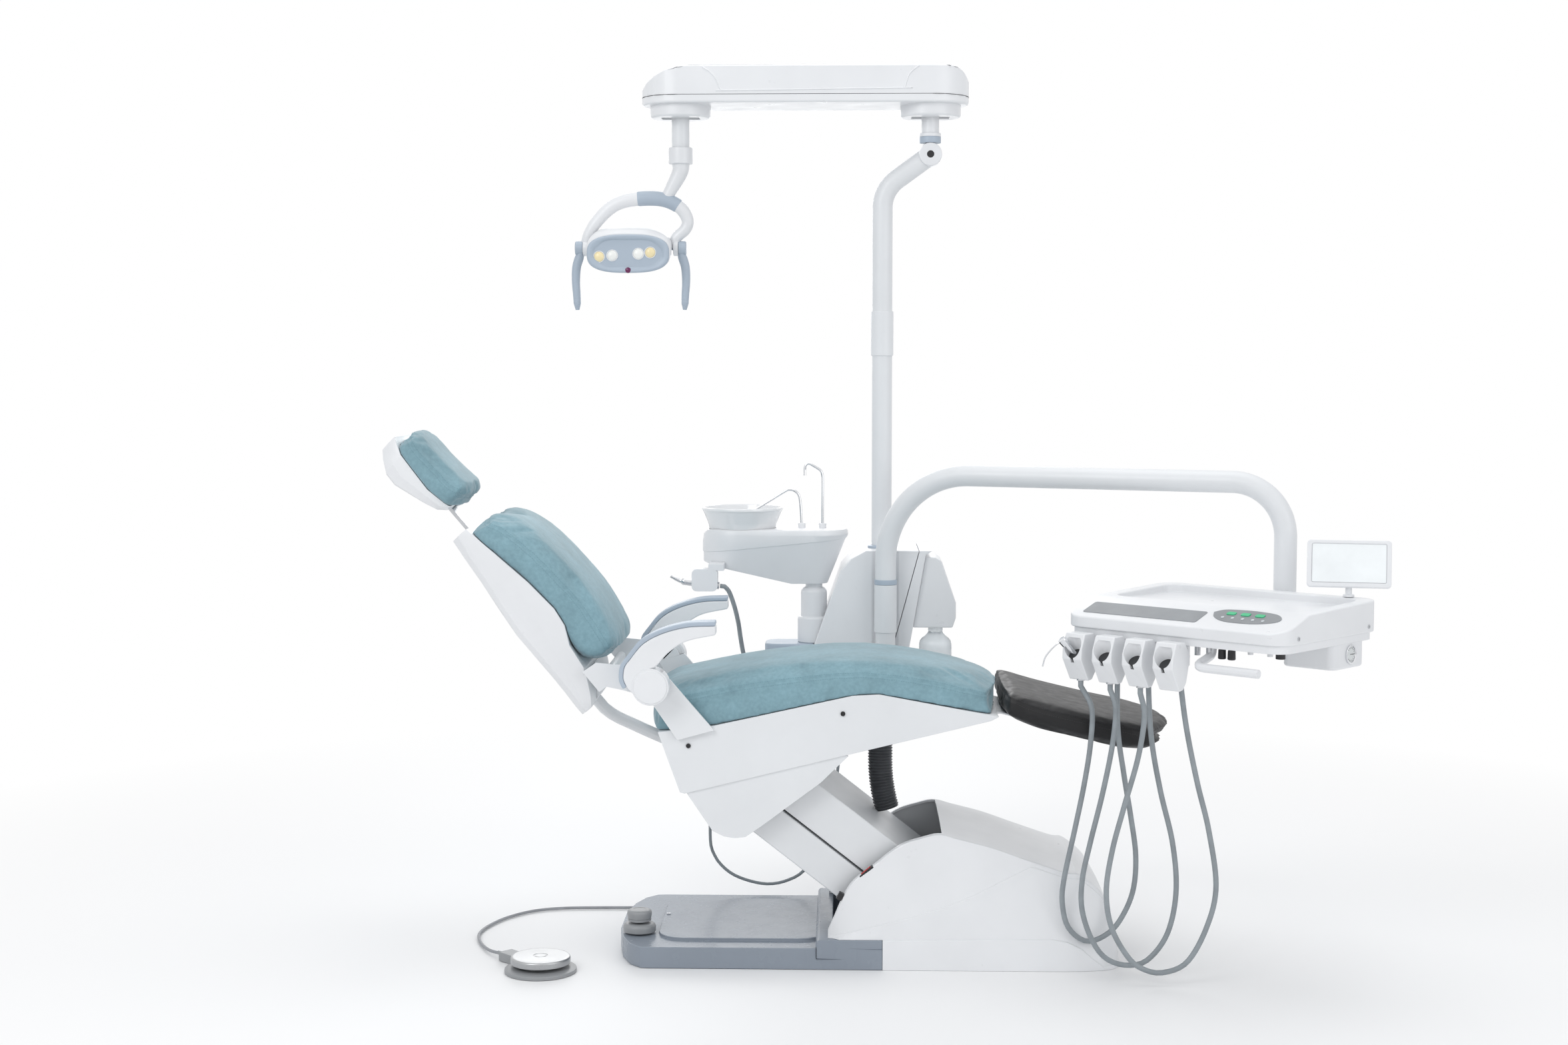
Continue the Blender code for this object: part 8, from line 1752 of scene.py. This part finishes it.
# Delivery tray
@dataclass
class Delivery:
    """The bent arm over the chair and the tray with its holders, controls and viewer."""

    screws: Fasteners
    holder_pitch: float = 0.0765
    holder_first: float = -0.2096
    holder_half: float = 0.025
    holder_low: float = -0.11
    holder_rise: float = 0.102
    holder_deep: float = 0.07
    holder_front: float = -0.252
    holder_shares: tuple = (
        (0.2, 1.0), (0.67, 1.0), (0.97, 0.71), (0.77, 0.17), (0.6, 0.02), (0.4, 0), (0.0, 0.47), (0.02, 0.69),
    )
    panel: tuple = (
        (0.062, 0.026), (0.08, 0.041), (0.115, 0.046), (0.16, 0.046), (0.205, 0.039), (0.225, 0.022),
        (0.222, 0.004), (0.19, -0.01), (0.15, -0.015), (0.105, -0.012), (0.075, 0.004), (0.062, 0.026),
    )

    def build(self) -> None:
        """Make the arm, the tray and all that it carries."""
        self.arm()
        self.top()
        self.controls()
        self.holders()
        self.syringe()
        self.viewer()
        softened("valve_knob", BLACK, 0.001, 2)

    def arm(self) -> None:
        """Make the bent tube, its rings and its end in the tray's boss."""
        x, y = 0.053, 0.3275
        route = fillet([(x, y, 0.7863), (x, y, 1.053), (0.933, -0.05, 1.053), (0.933, -0.05, 0.7)],
                       (0.21, 0.12), 24)
        arm = Shape().tube(route, 0.025, 48).rod((x, y, 0.7063), (x, y, 0.794), 0.018)
        arm.stand_for("delivery_arm", "delivery_tube", PAINT, ROUND)
        Shape().lathe((
            (0.0252, 0.7865), (0.0268, 0.7865), (0.0272, 0.7885), (0.0272, 0.797), (0.0265, 0.7985),
            (0.0252, 0.7985), (0.0252, 0.7865),
        ), at(x, y)).put("delivery_ring", "delivery_arm", SOFT_BLUE, "delivery_arm")

    def top(self) -> None:
        """Make the tray's top and lower half, with the plates on the sloping front."""
        softened("tray_top", WHITE, 0.0035, 4)
        softened("tray_base", WHITE, 0.0008, 2)
        slope = math.atan2(0.034, 0.0995)
        face = TRAY_FRAME @ at(0, -0.1493, 0.041) @ Matrix.Rotation(slope, 4, "X")
        curve = smooth_pairs(self.panel, 72)[:-1]
        plates = {"name_plate": rounded(-0.236, 0.05, -0.03, 0.024, 0.006), "key_panel": curve[::-1]}
        for name, outline in plates.items():
            plate = Shape().plan(outline, -0.002, 0.0012, face).bevel(0.0005, 2)
            plate.put(name, "tray", PANEL_GREY, "tray_top", CRISP)
        keys, dots = Shape(), Shape()
        for column in range(3):
            x = 0.106 + 0.034 * column
            keys.plan(rounded(x - 0.0105, x + 0.0105, 0.0175, 0.0305, 0.004), 0.0008, 0.0028, face)
        for column in range(5):
            x = 0.096 + 0.024 * column
            dots.plan(arc(x, 0.004 - 0.0004 * column, 0.0036, 0, 330, 11), 0.0008, 0.0021, face)
        keys.bevel(0.0005, 2).put("panel_keys", "tray", GREEN, "tray_top", CRISP)
        dots.put("panel_dots", "tray", PALE_MARK, "tray_top", CRISP)
        spots = [(TRAY_FRAME @ Vector((0.2728, y, 0.013)), TRAY_FRAME.to_3x3() @ Vector((1, 0, 0)))
                 for y in (-0.143, 0.143)]
        self.screws.set("tray_screws", "tray", "tray_top", spots, 0.0045)

    def controls(self) -> None:
        """Make the gauge pod, the gauge, the valves and the knobs."""
        pod = Shape().plan(rounded(0.135, 0.262, 0.02, 0.15, 0.02), -0.071, -0.013, TRAY_FRAME)
        pod.bevel(0.006, 4).put("gauge_pod", "tray", WHITE, "tray_base", CRISP)
        place = TRAY_FRAME @ at(0.2625, 0.085, -0.041) @ turned(90, "Y")
        Shape().lathe((
            (0.0165, -0.002), (0.02, -0.002), (0.0203, 0.003), (0.0193, 0.0042), (0.0175, 0.0036),
            (0.0165, 0.0018), (0.0165, -0.002),
        ), place, 56).put("gauge_rim", "tray", CHROME, "tray_base")
        dial = Shape().lathe(((0.0001, 0.0), (0.0168, 0.0), (0.0168, 0.0014), (0.0001, 0.0018)), place)
        dial.put("gauge_dial", "tray", DIAL, "tray_base")
        needle = Shape().box((-0.0005, -0.003, 0.0018), (0.0005, 0.012, 0.0024), place)
        for k in range(13):
            tick = place @ turned(-135 + 22.5 * k, "Z")
            needle.box((-0.0003, 0.0125, 0.0014), (0.0003, 0.0152, 0.002), tick)
        needle.put("gauge_needle", "tray", BLACK, "tray_base")
        valves, knobs = Shape(), Shape()
        for x, y, long in ((0.02, -0.12, 0.03), (0.058, -0.135, 0.026)):
            self.hang(valves, x, y, (0, 0.004, 0.0045, long), [0.0085, 0.0085, 0.0062, 0.0062])
        for x in (0.085, 0.108):
            self.hang(knobs, x, -0.128, (0, 0.01, 0.012, 0.03, 0.0315),
                      [0.0045, 0.0045, 0.008, 0.0085, 0.007])
        valves.put("tray_valves", "tray", BRUSHED, "tray_base", CRISP)
        knobs.put("tray_knobs", "tray", BLACK, "valve_knob", CRISP)

    def hang(self, shape: Shape, x: float, y: float, drops: Sequence[float], radii: Sequence[float]) -> None:
        """Add an upright turned part under the tray.

        Args:
            shape: The shape that it goes into.
            x: Its place across the tray.
            y: Its place along the tray.
            drops: How far each of its rings hangs down.
            radii: The rings' radii.
        """
        high = Vector((x, y, -0.015))
        shape.tube([TRAY_FRAME @ (high - UP * drop) for drop in drops], radii, 28)

    def holders(self) -> None:
        """Make the four faceted holders, their cones with painted shade inside, slots, back plate and
        couplings.
        """
        front, low = self.holder_front, self.holder_low
        outline = scaled(self.holder_shares, front, low, self.holder_deep, self.holder_rise)
        for index in range(4):
            x = self.holder_first + self.holder_pitch * index
            left, right = -x - self.holder_half, -x + self.holder_half
            block = Shape().side(outline, left, right, TRAY_FRAME @ turned(90, "Z")).bevel(0.0026, 3)
            mouth, foot = self.inside(x, -0.004, 0.8), self.inside(x, self.holder_deep * 0.46, 0.36)
            block.boolean(Shape().rod(TRAY_FRAME @ mouth, TRAY_FRAME @ foot, 0.024, 0.0085, 48))
            block.boolean(Shape().box((x - 0.004, front - 0.01, low + 0.04),
                                      (x + 0.004, front + 0.022, low + 0.064), TRAY_FRAME)).dissolve(0.5)
            name = f"holder_{index + 1}"
            if index == 0:
                block.stand_for("instrument_holders", name, WHITE, CRISP)
            else:
                block.put(name, "tray", WHITE, "instrument_holders", CRISP)
            # A dark cone inside each bore: painted shade for the hollow, not a real liner.
            bore_shade = Shape().rod(TRAY_FRAME @ mouth.lerp(foot, 0.55), TRAY_FRAME @ foot.lerp(mouth, 0.02),
                                 0.0152, 0.0082, 40)
            bore_shade.put(f"{name}_lining", "tray", PAINTED_GAP_SHADE, "instrument_holders")
        left, right = self.holder_first - 0.0225, self.holder_first + self.holder_pitch * 3 + 0.0225
        plate = Shape().box((left, -0.1909, -0.059), (right, -0.1829, -0.0173), TRAY_FRAME)
        plate.bevel(0.0012, 2).put("holder_rail", "tray", WHITE, "instrument_holders")
        couplings = Shape()
        for index in range(3):
            spot = self.inside(self.holder_first + self.holder_pitch * index, self.holder_deep * 0.5, 0.12)
            steps = (-0.004, 0.002, 0.0024, 0.006, 0.0064, 0.0138)
            couplings.tube([TRAY_FRAME @ (spot - UP * step) for step in steps],
                           [0.009, 0.009, 0.0078, 0.0078, 0.0088, 0.0086], 32)
        couplings.put("hose_couplings", "tray", BRUSHED, "syringe", CRISP)

    def inside(self, x: float, behind: float, share: float) -> Vector:
        """Return a tray place behind the holders' front, at a share of their height."""
        return Vector((x, self.holder_front + behind, self.holder_low + self.holder_rise * share))

    def syringe(self) -> None:
        """Make the three-way syringe with its button and bent nozzle."""
        foot = self.inside(self.holder_first, self.holder_deep * 0.42, 0.435)
        run = Vector((-0.3, -0.62, 0.73)).normalized()
        head = foot + run * 0.058
        steps = (0, 0.02, 0.022, 0.046, 0.048, 0.058, 0.0632, 0.064)
        body = Shape().tube([TRAY_FRAME @ (foot + run * d) for d in steps],
                            [0.0064, 0.0068, 0.0058, 0.006, 0.0096, 0.0098, 0.0094, 0.007], 36)
        nozzle = [head - run * 0.0075] + [head + Vector(step) for step in (
            (-0.01, -0.007, -0.007), (-0.034, -0.014, -0.034), (-0.042, -0.016, -0.058))]
        body.tube(smooth([TRAY_FRAME @ point for point in nozzle], 28), 0.0016, 14)
        body.stand_for("syringe", "syringe_body", CHROME, 40.0)

    def viewer(self) -> None:
        """Make the viewer's frame, stand and screen."""
        local = TRAY_FRAME @ at(0.2, 0.1862, 0.0683) @ turned(29.4, "Z")
        hold = local @ at(0, 0, 0.07) @ turned(-14, "X") @ FRONT
        case = Shape().plan(rounded(-0.088, 0.088, -0.051, 0.051, 0.008), -0.008, 0.008, hold)
        screen = rounded(-0.0775, 0.0775, -0.0408, 0.0428, 0.003)
        case.boolean(Shape().plan(screen, 0.006, 0.012, hold)).dissolve().bevel(0.0022, 3)
        case.tube([local @ (UP * d) for d in (0, 0.004, 0.006, 0.035)], [0.012, 0.012, 0.007, 0.007], 32)
        case.stand_for("viewer", "viewer_case", WHITE, CRISP)
        glass = Shape().plan(rounded(-0.0768, 0.0768, -0.0401, 0.0421, 0.0025), 0.0052, 0.0066, hold)
        glass.put("viewer_glass", "viewer", SCREEN, "viewer")


def main() -> None:
    """Build the stage and every sub-assembly in order."""
    logging.basicConfig(level=logging.INFO, format="%(message)s")
    Studio().build()
    Hoses().build()
    screws = Fasteners()
    Base(screws).build()
    FootControls().build()
    Lift().build()
    Seat(screws).build()
    Upholstery().build()
    Backrest().build()
    Armrests(screws).build()
    SideUnit(screws).build()
    Cuspidor().build()
    Lamp(screws).build()
    Delivery(screws).build()
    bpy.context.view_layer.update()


if __name__ == "__main__":
    main()
